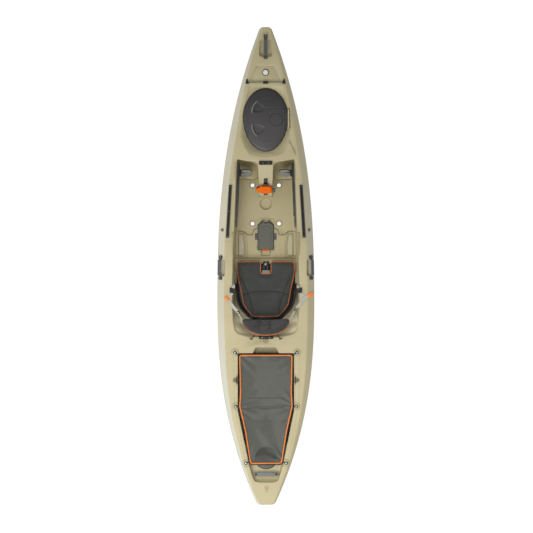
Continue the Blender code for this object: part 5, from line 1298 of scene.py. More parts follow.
steps = [
    (-0.03, 0.018), (-0.015, 0.018), (-0.011, 0.0147), (-0.001, 0.0147), (0.0, 0.0154), (0.0, 0.0205),
    (-0.0012, 0.0222), (-0.005, 0.0238), (-0.0075, 0.0242), (-0.0135, 0.0242), (-0.0155, 0.0232),
    (-0.018, 0.0232), (-0.02, 0.0248), (-0.024, 0.0254), (-0.035, 0.0256)
]
parts = [loft([mid_outline(0.0608 + grow, 0.1048 + grow, 0.021, z) for grow, z in steps])]
for side in (-1, 1):
    x = sorted((side * 0.0127, side * 0.026))
    parts.append(block(x, (0.1, mid_axis[0]), (0.016, 0.0228)))
    knuckle = turned(
        [(0.0036, 0.0), (0.0045, 0.0006), (0.0045, x[1] - x[0] - 0.0006), (0.0036, x[1] - x[0])], 20
    )
    parts.append(moved(knuckle, on_axis("Y", x[0], *mid_axis)))
# The lid's eyes for the latch
for side in (-1, 1):
    x = sorted((side * 0.0262, side * 0.034))
    parts.append(rounded_block(x, (-0.1155, -0.106), (0.0158, 0.0228), 0.0015))
# Grey hatch plastic of the small lids, foot pads and lock handles
grey_plastic = moulded("grey hatch plastic", "#56574F", "#66675F", 0.56, 0.0013, 0.0001)
lid = mesh_piece("midship_lid", moved(merge(*parts), MID))
finish(lid, grey_plastic, "midship lid", ["midship_hatch_lid"])
pin = turned([(0.0014, 0.0), (0.0019, 0.0006), (0.0019, 0.0714), (0.0014, 0.072)], 14)
pin = moved(pin, MID @ on_axis("Y", -0.036, *mid_axis))
fit("midship_pin", pin, stainless, nodes=["midship_hatch_pin"])

# Orange nylon of the latch, the clip, the zip tags and the small pulls
orange_nylon = moulded("orange moulded nylon", "#DE6000", "#F07200", 0.5, 0.0014, 0.00006, shine=0.12)
profile = [
    (-0.1052, 0.0196), (-0.1055, 0.0218), (-0.11, 0.0231), (-0.1135, 0.0231), (-0.1152, 0.0215),
    (-0.1158, 0.019), (-0.1158, 0.007), (-0.1178, 0.004), (-0.1172, 0.003), (-0.114, 0.0034), (-0.1128, 0.005),
    (-0.1124, 0.015)
]
latch = loft([[(x, y, z) for y, z in profile] for x in (-0.025, -0.0246, 0.0246, 0.025)])
ribs = []
for x in np.linspace(-0.02, 0.02, 9):
    ribs.append(rounded_block((x - 0.001, x + 0.001), (-0.1166, -0.115), (0.008, 0.0185), 0.0006, 1))
fit(
    "midship_latch", moved(merge(latch, *ribs), MID), orange_nylon, "midship latch",
    ["midship_hatch_latch"]
)


# Stern hatch. A round rim screwed on the shelf under the cover, and a lid that
# locks with a quarter turn of the bar moulded across it.
STERN = Matrix.Translation((0.0, STERN_Y, SHELF))
profile = [
    (0.07, 0.0005), (0.07, 0.0088), (0.0715, 0.0097), (0.0875, 0.0097), (0.0905, 0.009), (0.092, 0.007),
    (0.092, 0.0005)
]
sides = 96
circle = [(math.cos(2 * math.pi * i / sides), math.sin(2 * math.pi * i / sides)) for i in range(sides)]
rim = loft([[(r * c, r * s, z) for c, s in circle] for r, z in profile], closed=True)
fit("stern_rim", moved(rim, STERN), black_nylon, nodes=["stern_hatch_rim"])
profile = [
    (0.03, 0.0115), (0.064, 0.0115), (0.067, 0.0104), (0.0845, 0.0104), (0.0858, 0.0112), (0.0858, 0.0152),
    (0.0845, 0.0163), (0.0765, 0.0163), (0.0748, 0.0172), (0.0738, 0.0215), (0.072, 0.0223), (0.054, 0.0223),
    (0.0525, 0.0212), (0.05, 0.0212), (0.048, 0.0222), (0.02, 0.0224), (0.004, 0.0224)
]
rings = []
for r, z in profile:
    # Finger notches in the lid's edge
    notch = 0.0016 if 0.0104 < z < 0.016 and r > 0.084 else 0.0
    reaches = [r - notch * (i % 8 < 2) for i in range(sides)]
    rings.append([(reach * c, reach * s, z) for reach, (c, s) in zip(reaches, circle)])
bar = rounded_block((-0.045, 0.045), (-0.007, 0.007), (0.0205, 0.0292), 0.0028, 3)
lid = mesh_piece("stern_lid", moved(merge(loft(rings), bar), STERN))
finish(lid, grey_plastic, "stern lid", ["stern_hatch_lid"])


# Foot braces. A slotted rail screwed to each footwell wall, a carriage that
# slides in its slot and carries a ribbed pedal, and a lock handle at its aft end.
PEDAL_Y, RAIL_FRONT, RAIL_LENGTH, RAIL_HEIGHT, RAIL_DEPTH = 0.73, 0.808, 0.415, 0.215, 0.018
PEDALS = ("pedal left", "pedal right")


def wall_frame(y, z):
    """A frame on the cockpit's starboard wall: X outwards, Y along to the bow, Z up the wall."""
    lean = (cockpit_half(0.0) - 0.2265) / 0.838
    along = Vector((-lean, 1.0, 0.0)).normalized()
    outward = Vector((1.0, lean, -DRAFT)).normalized()
    up = outward.cross(along)
    turn = Matrix((outward, along, up)).transposed().to_4x4()
    return Matrix.Translation((cockpit_half(y) - (SIDE_HEIGHT - z) * DRAFT, y, z)) @ turn


def slotted_bar(width, height, slot, depth, length, round_off=0.0012):
    """A bar along Y with a T slot, its back at Z = 0, its mouth up and its ends eased."""
    half, lip, inner = width / 2, 0.0025, slot / 2 + 0.0035
    section = [
        (-half, 0.0), (half, 0.0), (half, height - round_off), (half - round_off, height),
        (slot / 2 + 0.0005, height), (slot / 2, height - 0.0005), (slot / 2, height - lip),
        (inner, height - lip), (inner, height - depth), (-inner, height - depth), (-inner, height - lip),
        (-slot / 2, height - lip), (-slot / 2, height - 0.0005), (-slot / 2 - 0.0005, height),
        (-half + round_off, height), (-half, height - round_off)
    ]
    reach = length / 2
    places = ((-reach, 0.96), (-reach + 0.0015, 1.0), (reach - 0.0015, 1.0), (reach, 0.96))
    return loft([[(x * s, y, z) for x, z in section] for y, s in places])


middle = RAIL_FRONT - RAIL_LENGTH / 2
WALL = wall_frame(middle, RAIL_HEIGHT)
OUT_OF_WALL = WALL.to_3x3() @ Vector((-1, 0, 0))
mouth_in = WALL @ Matrix.Translation((-0.0003, 0.0, 0.0)) @ Matrix.Rotation(-math.pi / 2, 4, "Y")
rail = mesh_piece("rail", moved(slotted_bar(0.032, RAIL_DEPTH, 0.01, 0.011, RAIL_LENGTH), mouth_in))
# Detents for the carriage's pin are pressed along both lips of the slot
teeth = []
for i in range(40):
    y = -RAIL_LENGTH / 2 + 0.012 + i * 0.01
    for x in (-0.0106, 0.0106):
        teeth.append(
            block((x - 0.0022, x + 0.0022), (y - 0.0028, y + 0.0028), (RAIL_DEPTH - 0.0009, RAIL_DEPTH + 0.002))
        )
cut_away(rail, mesh_piece("detents", moved(merge(*teeth), mouth_in)))
bm = bmesh.new()
bm.from_mesh(rail.data)
bpy.data.objects.remove(rail)
rail_metal = moulded("worn black-anodised aluminium", "#141416", "#56585B", 0.42, 0.006, 0.0001, metallic=0.2)
finish_pair("foot_rail", bm, rail_metal, nodes=["foot_rail"], angle=30.0)
places = []
for y in (-RAIL_LENGTH / 2 + 0.008, -0.04, 0.09, RAIL_LENGTH / 2 - 0.008):
    point = WALL @ Vector((-0.01, y, 0.0))
    places += [(point, OUT_OF_WALL), (to_port(point), to_port(OUT_OF_WALL))]
screws("rail_screws", places, 0.003)

along = PEDAL_Y - middle
face = -0.0003 - RAIL_DEPTH - 0.0003
carriage = merge(
    rounded_block((face - 0.0138, face), (along - 0.0278, along + 0.0278), (-0.0178, 0.0178), 0.003, 3),
    block((face - 0.002, face + 0.0045), (along - 0.024, along + 0.024), (-0.0043, 0.0043)),
    block((face + 0.0035, face + 0.0073), (along - 0.0235, along + 0.0235), (-0.0075, 0.0075)),
    rounded_block((face - 0.0335, face - 0.01), (along - 0.001, along + 0.02), (-0.0088, 0.0088), 0.0025, 2)
)
finish_pair("foot_carriage", moved(carriage, WALL), black_nylon, PEDALS, ["foot_carriage"])
bolts = [(WALL @ Vector((face - 0.0136, along + y, 0.0105)), OUT_OF_WALL) for y in (-0.02, 0.02)]
screws("carriage_bolts_left", [(to_port(a), to_port(b)) for a, b in bolts], 0.0032, "pedal left")
screws("carriage_bolts_right", bolts, 0.0032, "pedal right")

# Pedal: a dished plate with seven raised treads across it, and webs behind
lean = Matrix.Translation((0.0, PEDAL_Y, RAIL_HEIGHT - 0.02)) @ Matrix.Rotation(math.radians(-25.0), 4, "X")
STAND = lean @ on_axis("X", 0.149, 0.0, 0.0)
steps = [(0.0, 0.0006), (0.0, 0.0075), (-0.0008, 0.009), (-0.0022, 0.0096), (-0.006, 0.0088), (-0.009, 0.0078)]
pedal = [loft([oblong(0.043 + grow, 0.055 + grow, 0.033 + grow / 2, z, 10) for grow, z in steps])]
for i in range(7):
    y = -0.0405 + i * 0.0135
    reach = 0.0335 if abs(y) < 0.03 else 0.02
    pedal.append(rounded_block((-reach, reach), (y - 0.0034, y + 0.0034), (0.006, 0.0108), 0.0014, 2))
arm_end = WALL @ Vector((face - 0.034, along, 0.0))
# Light grey of the foot pads, uneven in shade
pad_grey = moulded("scuffed light grey foot pad plastic", "#82837C", "#9A9B94", 0.6, 0.003, 0.00012)
steps = ((0.0, -0.005), (0.0, 0.0012), (-0.003, 0.0022))
rim = loft([oblong(0.0446 + grow, 0.0566 + grow, 0.034, z, 10) for grow, z in steps])
y, z = (PEDAL_Y - 0.002, PEDAL_Y + 0.022), (RAIL_HEIGHT - 0.01, RAIL_HEIGHT + 0.01)
boss = rounded_block((arm_end.x - 0.026, arm_end.x - 0.0013), y, z, 0.0025)
finish_pair("foot_pedal_back", merge(moved(rim, STAND), boss), black_nylon, PEDALS)
finish_pair("foot_pedal", moved(merge(*pedal), STAND), pad_grey, PEDALS, ["foot_pedal"])

LOCK = WALL @ Matrix.Translation((-0.0003 - RAIL_DEPTH / 2, -RAIL_LENGTH / 2 - 0.0003, 0.0))
profile = [
    (0.0078, 0.0), (0.0085, 0.0008), (0.0085, 0.02), (0.0074, 0.0215), (0.0074, 0.025), (0.0083, 0.0265),
    (0.008, 0.05), (0.0078, 0.086), (0.007, 0.089), (0.005, 0.09)
]
rod = moved(turned(profile, 24), Matrix.Rotation(math.pi / 2, 4, "X"))
wing = rounded_block((-0.003, 0.003), (-0.086, -0.034), (-0.012, 0.0), 0.0012)
finish_pair(
    "foot_lock", moved(merge(rod, wing), LOCK), grey_plastic,
    ("lock handle left", "lock handle right"), ["foot_lock"]
)


# Gear tracks and paddle studs. Slotted black tracks lie along both side decks on
# three screws each; a stud on each gunwale keeps the paddle from rolling.
inner = BEVEL_WIDTH + 0.012
front = Vector((half_beam(0.634) - inner, 0.634))
rear = Vector((half_beam(0.2215) - inner - 0.007, 0.2215))
TRACK = Matrix.Translation((*((front + rear) / 2), SIDE_HEIGHT + 0.0003)) @ Matrix.Rotation(
    -math.atan2(front.x - rear.x, front.y - rear.y), 4, "Z"
)
length = (front - rear).length
bar = slotted_bar(0.024, 0.01, 0.008, 0.0075, length)
finish_pair("gear_track", moved(bar, TRACK), black_nylon, nodes=["gear_track"], angle=30.0)
places = []
for y in (-length / 2 + 0.01, 0.0, length / 2 - 0.01):
    point = TRACK @ Vector((0.0, y, 0.0028))
    places += [(Vector((side * point.x, point.y, point.z)), (0, 0, 1)) for side in (-1, 1)]
screws("track_screws", places, 0.0038)

stud_at = bevel_frame(0.282, 0.012, 0.45)
profile = [
    (0.0124, 0.0004), (0.0132, 0.0012), (0.0128, 0.004), (0.0092, 0.0058), (0.0088, 0.0084), (0.008, 0.0096),
    (0.003, 0.01)
]
finish_pair(
    "paddle_stud", moved(turned(profile, 28), stud_at), grey_plastic, nodes=["paddle_stud"]
)


# Console fittings. A blank accessory plate ahead of the console, and a rod clip
# whose orange body slides on its own short track and is clamped by a grey knob.
PLATE_Y = 0.785 + 0.0215
outline = [(x, y + PLATE_Y) for x, y in oblong(0.0525, 0.015, 0.004)]


def squeezed(outline, middle, steps):
    """A form of one outline at several levels, squeezed in width and in length about its middle."""
    return loft([[(x * s, middle + (y - middle) * t, z) for x, y in outline] for s, t, z in steps])


steps = (
    (1.0, 1.0, 0.3004), (1.0, 1.0, 0.3046), (0.975, 0.92, 0.306), (0.8, 0.6, 0.306), (0.785, 0.55, 0.3052),
    (0.2, 0.1, 0.3052)
)
plate = squeezed(outline, PLATE_Y, steps)
fit("console_plate_moulding", plate, black_nylon, nodes=["console_plate"])
screws("plate_screws", [((x, PLATE_Y, 0.3058), (0, 0, 1)) for x in (-0.022, 0.0225)], 0.0036)

# The console's ramp runs from its foot up to its top; the track lies on it
FOOT_Y, FOOT_Z, TOP_Y, TOP_Z, TRACK_Y = 0.552, 0.178, 0.785, 0.2985, 0.622
rise = math.atan2(TOP_Z - FOOT_Z, TOP_Y - FOOT_Y)
track_z = FOOT_Z + (TRACK_Y - FOOT_Y) * math.tan(rise)
RAMP = Matrix.Translation((0.0, TRACK_Y, track_z)) @ Matrix.Rotation(rise, 4, "X")
bar = moved(slotted_bar(0.03, 0.008, 0.01, 0.0062, 0.144), RAMP @ Matrix.Translation((0.0, 0.0, 0.0003)))
fit("clip_track_bar", bar, black_nylon, nodes=["clip_track"], angle=30.0)
facing = RAMP.to_3x3() @ Vector((0, 0, 1))
screws("clip_track_screws", [(RAMP @ Vector((0.0, y, 0.002)), facing) for y in (-0.062, 0.054)], 0.0034)

along, low = -0.0165, 0.0086
corners = [
    (0.049, along - 0.022, 0.006), (0.049, along + 0.02, 0.01), (0.026, along + 0.032, 0.006),
    (-0.034, along + 0.032, 0.008), (-0.078, along + 0.014, 0.006), (-0.078, along - 0.01, 0.008),
    (-0.03, along - 0.032, 0.01), (0.02, along - 0.032, 0.01)
]
outline = smooth_outline(corners, 0.006)
steps = (
    (0.97, 0.96, low), (1.0, 1.0, low + 0.0015), (1.0, 1.0, low + 0.0165), (0.985, 0.975, low + 0.0192),
    (0.93, 0.9, low + 0.0235), (0.85, 0.8, low + 0.0262), (0.7, 0.56, low + 0.027)
)
clip = [
    squeezed(outline, along, steps),
    block((-0.0044, 0.0044), (along - 0.02, along + 0.02), (low - 0.0038, low + 0.004)),
    block((-0.0076, 0.0076), (along - 0.0193, along + 0.0193), (low - 0.0042, low - 0.0034))
]
for i in range(8):
    # Ridges for the thumb along the front of the clip
    x = -0.0335 + i * 0.0082
    clip.append(
        rounded_block(
            (x - 0.0024, x + 0.0024), (along + 0.012, along + 0.0315), (low + 0.012, low + 0.0252), 0.0016
        )
    )
clip.append(rounded_block((-0.04, 0.036), (along + 0.0075, along + 0.0105), (low + 0.02, low + 0.029), 0.0012))
fit("clip_moulding", moved(merge(*clip), RAMP), orange_nylon, "clip", ["clip_body"])
# Black release lever in the clip's port arm, and the collar that stiffens its front
lever = rounded_block((-0.068, -0.05), (along + 0.012, along + 0.027), (low + 0.004, low + 0.0235), 0.003, 3)
front = along + 0.03
collar = [(-0.025, front), (0.025, front), (0.017, front + 0.019), (-0.017, front + 0.019)]
collar = slab(smooth_outline(collar, 0.004, 3), low + 0.0004, low + 0.012)
fit("clip_lever", moved(merge(lever, collar), RAMP), black_nylon, "clip")
KNOB = RAMP @ on_axis("Y", 0.0493, along - 0.003, 0.0261)
rings = []
for r, z in (
    (0.0085, 0.0), (0.012, 0.0006), (0.0125, 0.006), (0.016, 0.0072), (0.017, 0.0088), (0.0166, 0.016),
    (0.0157, 0.0225), (0.0143, 0.0248), (0.008, 0.0257)
):
    lobes = 0.1 if z > 0.0065 else 0.0
    ring = []
    for i in range(48):
        turn = 2 * math.pi * i / 48
        size = r * (1.0 - lobes * (0.5 - 0.5 * math.cos(6 * turn)))
        ring.append((size * math.cos(turn), size * math.sin(turn), z))
    rings.append(ring)
fit("clip_knob_grip", moved(loft(rings), KNOB), grip_rubber, "clip knob", ["clip_knob"])


# Seat pan. A black nylon shell lies on the seat floor: a flat base, a hip frame
# that wraps the sides and the rear corners, and two ears that carry the backrest.
SEAT_FLOOR, PAD_FRONT, PAD_REAR = 0.115, 0.037, -0.398
AXIS = Vector((0.0, -0.43, 0.155))
right = [
    (0.112, -0.4385), (0.138, -0.405), (0.1925, -0.34), (0.2245, -0.2515), (0.2305, -0.14), (0.23, -0.03),
    (0.222, 0.018)
]
outline = smooth_outline(right + [(-x, y) for x, y in reversed(right)], 0.008, 3)
steps = ((0.995, 0.1154), (1.0, 0.1162), (1.0, 0.124), (0.995, 0.1248))
pan = [loft([[(x * s, y * s, z) for x, y in outline] for s, z in steps])]
FRAME_LEVEL, FRAME_RISE = 0.1442, 0.0265
frame_path = [
    (0.2275, -0.14), (0.2255, -0.2), (0.222, -0.25), (0.21, -0.295), (0.19, -0.335), (0.162, -0.367),
    (0.131, -0.398)
]
for side in (-1, 1):
    route = curve_through([(side * x, y, FRAME_LEVEL) for x, y in frame_path], 5)
    tall, top = [], []
    for i, place in enumerate(route):
        ease = math.sin(math.pi * min(0.5, 0.12 + i / 12))
        tall.append([(x, z * ease - FRAME_RISE * (1 - ease)) for x, z in oval(0.0042, 2 * FRAME_RISE, 8.0, 20)])
        level = FRAME_LEVEL + FRAME_RISE * ease - 0.0275 * (1 - ease) - 0.003
        top.append((place.x + side * 0.0045, place.y - 0.001, level))
    pan.append(sweep(route, tall, (0.0, 0.0, 1.0)))
    # The rolled edge along the top of the hip frame
    pan.append(sweep(top, oval(0.015, 0.005, 3.0, 14), (0.0, 0.0, 1.0)))
    x = sorted((side * 0.0803, side * 0.0997))
    pan.append(rounded_block(x, (AXIS.y - 0.0085, PAD_REAR + 0.015), (0.116, 0.1245), 0.0015))
    pan.append(rounded_block(x, (AXIS.y - 0.0085, AXIS.y + 0.0085), (0.1165, AXIS.z), 0.0015))
    wide = x[1] - x[0]
    eye_ring = [(0.0078, 0.0), (0.0088, 0.0008), (0.0088, wide - 0.0014), (0.0078, wide - 0.0006)]
    pan.append(moved(turned(eye_ring, 28), on_axis("Y", x[0] + 0.0003, AXIS.y, AXIS.z)))
# Pan nylon is blacker and smoother than the fittings
pan_nylon = moulded("black seat pan nylon", "#0B0B0C", "#141415", 0.4, 0.002, 0.00006)
fit("seat_pan_shell", merge(*pan), pan_nylon, nodes=["seat_pan"])
pin = turned([(0.0034, 0.0), (0.004, 0.0008), (0.004, 0.2392), (0.0034, 0.24)], 18)
pin = moved(pin, on_axis("Y", -0.12, AXIS.y, AXIS.z))
fit("seat_pin", pin, stainless, nodes=["backrest_pin"])


# Cushions. Closed-cell foam in a woven polyester cover, cut in three panels with
# sewn channels, and bound along the edge with an orange piping.
def pillow(piece, held, grain=0.006, pressure=4.0, cap=0.007):
    """Swell a closed cushion as foam does under a stretched cover; held is how firmly its points are sewn."""
    remesh = piece.modifiers.new("grain", "REMESH")
    remesh.mode = "VOXEL"
    remesh.voxel_size = grain
    ease = piece.modifiers.new("rounded", "SMOOTH")
    ease.factor, ease.iterations = 0.5, 4
    settle(piece)
    mesh = piece.data
    start = read_points(mesh)[0]
    sewn = piece.vertex_groups.new(name="sewn")
    for i, firm in enumerate(held(start)):
        if firm > 0.02:
            sewn.add([i], float(firm), "REPLACE")
    cloth = piece.modifiers.new("cover", "CLOTH").settings
    cloth.quality, cloth.mass = 6, 0.3
    cloth.tension_stiffness, cloth.compression_stiffness, cloth.bending_stiffness = 12.0, 12.0, 0.4
    cloth.shrink_min = -0.035
    cloth.use_pressure, cloth.uniform_pressure_force = True, pressure
    cloth.effector_weights.gravity = 0.0
    cloth.vertex_group_mass = "sewn"
    for step in range(1, 21):
        bpy.context.scene.frame_set(step)
    swollen = piece.evaluated_get(bpy.context.evaluated_depsgraph_get()).data
    shift = read_points(swollen)[0] - start
    size = np.linalg.norm(shift, axis=1, keepdims=True)
    shift *= np.minimum(1.0, cap / np.maximum(size, 1e-9))
    piece.modifiers.clear()
    piece.vertex_groups.clear()
    bpy.context.scene.frame_set(1)
    mesh.vertices.foreach_set("co", (start + shift).ravel())
    finer = piece.modifiers.new("finer", "SUBSURF")
    finer.levels = finer.render_levels = 1
    settle(piece)


def distance_to_path(points, path):
    """Distance of points from a polyline in space."""
    near = np.full(len(points), 1e9)
    path = np.array([tuple(p) for p in path])
    for a, b in zip(path, path[1:]):
        line = b - a
        share = np.clip(((points - a) @ line) / (line @ line), 0.0, 1.0)
        near = np.minimum(near, np.linalg.norm(points - a - share[:, None] * line, axis=1))
    return near


def press(piece, paths, direction, depth, width=0.0055, axes=(1.0, 1.0, 1.0)):
    """Draw a cushion's cover down along its sewn channels, and mark them for painted shade in the cloth's
    colour.
    """
    mesh = piece.data
    co, normals = read_points(mesh)
    facing = np.clip((normals @ np.array(direction) - 0.2) / 0.4, 0.0, 1.0)
    shade = np.zeros(len(co))
    for path in paths:
        near = distance_to_path(co * np.array(axes), path)
        co -= np.array(direction) * (depth * np.exp(-((near / width) ** 2)) * facing)[:, None]
        shade = np.maximum(shade, np.exp(-((near / 0.0034) ** 2)) * facing)
    mesh.vertices.foreach_set("co", co.ravel())
    mark(mesh, "crease", shade)
    mesh.update()


# Piping: a round cord along a path
inputs = {"Radius": ("NodeSocketFloat", 0.003), "Material": ("NodeSocketMaterial", None)}
piping_tree, given = node_group("piping", inputs)
line = add(piping_tree, "GeometryNodeMeshToCurve", {}, {"Mesh": given["Geometry"]})
pitch = {"mode": "LENGTH", "Length": 0.004}
even = add(piping_tree, "GeometryNodeResampleCurve", pitch, {"Curve": line.outputs["Curve"]})
ring = add(piping_tree, "GeometryNodeCurvePrimitiveCircle", {"Resolution": 10}, {"Radius": given["Radius"]})
feeds = {"Curve": even.outputs["Curve"], "Profile Curve": ring.outputs["Curve"]}
skin = add(piping_tree, "GeometryNodeCurveToMesh", {"Fill Caps": True}, feeds)
end_group(piping_tree, skin.outputs["Mesh"], given["Material"])

# Stitches: short raised threads set along a path at an even pitch
inputs = {
    "Pitch": ("NodeSocketFloat", 0.006), "Thread": ("NodeSocketFloat", 0.0006),
    "Material": ("NodeSocketMaterial", None)
}
stitch_tree, given = node_group("stitches", inputs)
line = add(stitch_tree, "GeometryNodeMeshToCurve", {}, {"Mesh": given["Geometry"]})
feeds = {"Curve": line.outputs["Curve"], "Length": given["Pitch"]}
even = add(stitch_tree, "GeometryNodeResampleCurve", {"mode": "LENGTH"}, feeds)
along = {"Vector": add(stitch_tree, "GeometryNodeInputTangent").outputs["Tangent"]}
lie = add(stitch_tree, "FunctionNodeAlignRotationToVector", {"axis": "X"}, along)
bead = add(stitch_tree, "GeometryNodeMeshIcoSphere", {"Radius": 1.0, "Subdivisions": 1})
feeds = {"X": scaled(stitch_tree, given["Pitch"], 0.36), "Y": given["Thread"], "Z": given["Thread"]}
size = add(stitch_tree, "ShaderNodeCombineXYZ", {}, feeds)
feeds = {
    "Points": even.outputs["Curve"], "Instance": bead.outputs["Mesh"], "Rotation": lie.outputs["Rotation"],
    "Scale": size.outputs["Vector"]
}
placed = add(stitch_tree, "GeometryNodeInstanceOnPoints", {}, feeds)
end_group(stitch_tree, placed.outputs["Instances"], given["Material"])


def line_mesh(name, paths, closed=False):
    """Paths as edges, for a node group to follow."""
    points, edges = [], []
    for path in paths:
        first = len(points)
        points += [tuple(p) for p in path]
        edges += [(i, i + 1) for i in range(first, len(points) - 1)]
        if closed:
            edges.append((len(points) - 1, first))
    mesh = bpy.data.meshes.new(name)
    mesh.from_pydata(points, edges, [])
    return mesh


def piping(name, paths, radius, material, body=FIXED, closed=False):
    inputs = {"Radius": radius, "Material": material}
    return finish(put_nodes_on(name, line_mesh(name, paths, closed), piping_tree, inputs), material, body)


def stitches(name, paths, material, body=FIXED, pitch=0.006, thread=0.0006):
    inputs = {"Pitch": pitch, "Thread": thread, "Material": material}
    return finish(put_nodes_on(name, line_mesh(name, paths), stitch_tree, inputs), material, body)


def surface_line(piece, points, direction, lift):
    """The points dropped along a direction on to a piece, then lifted off it a little."""
    graph = bpy.context.evaluated_depsgraph_get()
    held = piece.evaluated_get(graph)
    out = []
    for point in points:
        start = Vector(point) + Vector(direction) * 0.2
        hit, place, normal, _ = held.ray_cast(start, -Vector(direction))
        if hit:
            out.append(place + normal * lift)
    return out


# Woven polyester of the seat: dark slate with a heather of lighter threads
seat_cloth = woven("slate heather seat cloth", "#292B29", "#444643", 0.0012, 0.88, 0.25)
# Orange binding tape and piping of the seat
orange_binding = woven("orange binding tape", "#BC5A1A", "#E67E36", 0.0009, 0.8, 0.15)
dark_thread = woven("black sewing thread", "#141414", "#262625", 0.0005, 0.8, 0.1)

low = SEAT_FLOOR + 0.01 + 0.0003


def pad_half(y):
    ends = [
        (0.0266, 0.229), (-0.0234, 0.231), (-0.08, 0.224), (-0.185, 0.2), (-0.3, 0.181), (-0.345, 0.152),
        (-0.395, 0.11)
    ]
    return width_at(y, ends)


right = [
    (0.1, PAD_REAR), (0.15, -0.345), (0.179, -0.3), (0.2, -0.185), (0.224, -0.08), (0.229, -0.023),
    (0.226, PAD_FRONT), (0.037, PAD_FRONT), (0.037, PAD_FRONT - 0.0935)
]
corners = [(x, y, 0.02 if x > 0.05 else 0.012) for x, y in right]
corners += [(-x, y, r) for x, y, r in reversed(corners)]
pad_outline = smooth_outline(corners, 0.012, 4)
side_seam = [
    (0.192, -0.085), (0.172, -0.135), (0.145, -0.205), (0.122, -0.265), (0.106, -0.345), (0.102, -0.385)
]
seams = [curve_through([(side * x, y, 0.0) for x, y in side_seam], 6) for side in (-1, 1)]
half_seam = [(0.0, -0.1965), (0.06, -0.1985), (0.125, -0.207), (0.186, -0.23)]
cross_seam = [(-x, y, 0) for x, y in reversed(half_seam[1:])] + [(x, y, 0) for x, y in half_seam]
seams.append(curve_through(cross_seam, 6))
steps = 96
xs = np.linspace(-0.232, 0.232, 2 * steps + 1)
ys = np.linspace(PAD_REAR - 0.002, PAD_FRONT + 0.002, 190)
grid_x, grid_y = [a.ravel() for a in np.meshgrid(xs, ys)]
inside = -polygon_distance(grid_x, grid_y, pad_outline)
width = np.array([pad_half(y) for y in ys])
half_at = np.repeat(width, len(xs))
rise = np.sqrt(np.clip(inside / 0.034, 0.0, 1.0))
crown = 0.01 * np.clip(1.0 - (grid_x / half_at) ** 2, 0.0, 1.0) * rise
top = low + 0.024 + 0.0155 * rise + crown
rows = top.reshape(len(ys), len(xs))
kept = (inside > 0.0).reshape(rows.shape)
bm = bmesh.new()
upper = {}
for j, y in enumerate(ys):
    for i, x in enumerate(xs):
        if kept[j, i]:
            upper[i, j] = (bm.verts.new((x, y, rows[j, i])), bm.verts.new((x * 0.985, y, low + 0.0008)))
# The skirt hangs from the edges that only one face has
edges = {}
for i, j in upper:
    square = [(i, j), (i + 1, j), (i + 1, j + 1), (i, j + 1)]
    if not all(corner in upper for corner in square):
        continue
    bm.faces.new([upper[corner][0] for corner in square])
    bm.faces.new([upper[corner][1] for corner in reversed(square)])
    for a, b in zip(square, square[1:] + square[:1]):
        if (b, a) in edges:
            del edges[b, a]
        else:
            edges[a, b] = True
for a, b in edges:
    bm.faces.new((upper[b][0], upper[a][0], upper[a][1], upper[b][1]))
bmesh.ops.delete(bm, geom=[v for v in bm.verts if not v.link_faces], context="VERTS")
base_pad = mesh_piece("base_pad", bm)


def pad_held(points):
    """Firm at the underside, along the channels and at the bound edge."""
    firm = np.clip((low + 0.004 - points[:, 2]) / 0.003, 0.0, 1.0)
    flat = points * np.array([1.0, 1.0, 0.0])
    for seam in seams:
        firm = np.maximum(
            firm, np.exp(-((distance_to_path(flat, seam) / 0.005) ** 2)) * (points[:, 2] > low + 0.02)
        )
    edge = np.abs(polygon_distance(points[:, 0], points[:, 1], pad_outline))
    return np.maximum(firm, 0.9 * np.exp(-((edge / 0.006) ** 2)) * (points[:, 2] > low + 0.012))


pillow(base_pad, pad_held)
press(base_pad, seams, (0.0, 0.0, 1.0), 0.005, axes=(1.0, 1.0, 0.0))
finish(base_pad, seat_cloth, nodes=["seat_base_pad"], angle=70.0)


def inset(outline, distance):
    """A counter-clockwise outline moved inwards."""
    out = []
    for before, point, after in zip(outline[-1:] + outline[:-1], outline, outline[1:] + outline[:1]):
        run = Vector((after[0] - before[0], after[1] - before[1])).normalized()
        out.append((point[0] - run.y * distance, point[1] + run.x * distance, 0.0))
    return out


edge_line = surface_line(base_pad, inset(pad_outline, 0.005), (0.0, 0.0, 1.0), 0.0008)
piping("base_pad_piping", [edge_line], 0.0029, orange_binding, closed=True)
rows = []
for seam in seams:
    for shift in (-0.0045, 0.0045):
        normal = [Vector((b.y - a.y, a.x - b.x, 0)).normalized() for a, b in zip(seam, seam[1:])]
        moved_line = [a + n * shift for a, n in zip(seam, normal)]
        rows.append(surface_line(base_pad, moved_line, (0.0, 0.0, 1.0), 0.0002))
stitches("base_pad_stitches", rows, dark_thread)

# Lift strap in the pad's notch: two webbings under a black tab, a silver snap
# ahead of them and a grey pull tab behind
tab = [rounded_block((-0.029, 0.029), (-0.0615, -0.03), (low + 0.001, low + 0.03), 0.004, 3)]
for x in (-0.014, 0.014):
    tab.append(
        rounded_block(
            (x - 0.009, x + 0.009), (-0.034, PAD_FRONT - 0.001), (low + 0.0004, low + 0.0125), 0.002, 2
        )
    )
fit("lift_strap", merge(*tab), pan_nylon, nodes=["seat_lift_strap"])
snap = turned(
    [(0.01, 0.0), (0.011, 0.001), (0.01, 0.0034), (0.006, 0.0046), (0.003, 0.004), (0.001, 0.0036)], 32
)
fit("lift_snap", moved(snap, Matrix.Translation((0.0, 0.017, low + 0.0128))), stainless)
# Grey webbing, plain woven polyester
webbing = woven("light grey webbing", "#98978F", "#C0BEB4", 0.0011, 0.82, 0.15, where="UV")
pull = rounded_block((-0.03, 0.03), (-0.063, -0.032), (low + 0.0302, low + 0.0332), 0.0014, 2)
grey_tab = woven("grey tab webbing", "#74746D", "#8A8981", 0.0014, 0.84, 0.15)
fit("lift_pull_tab", pull, grey_tab)


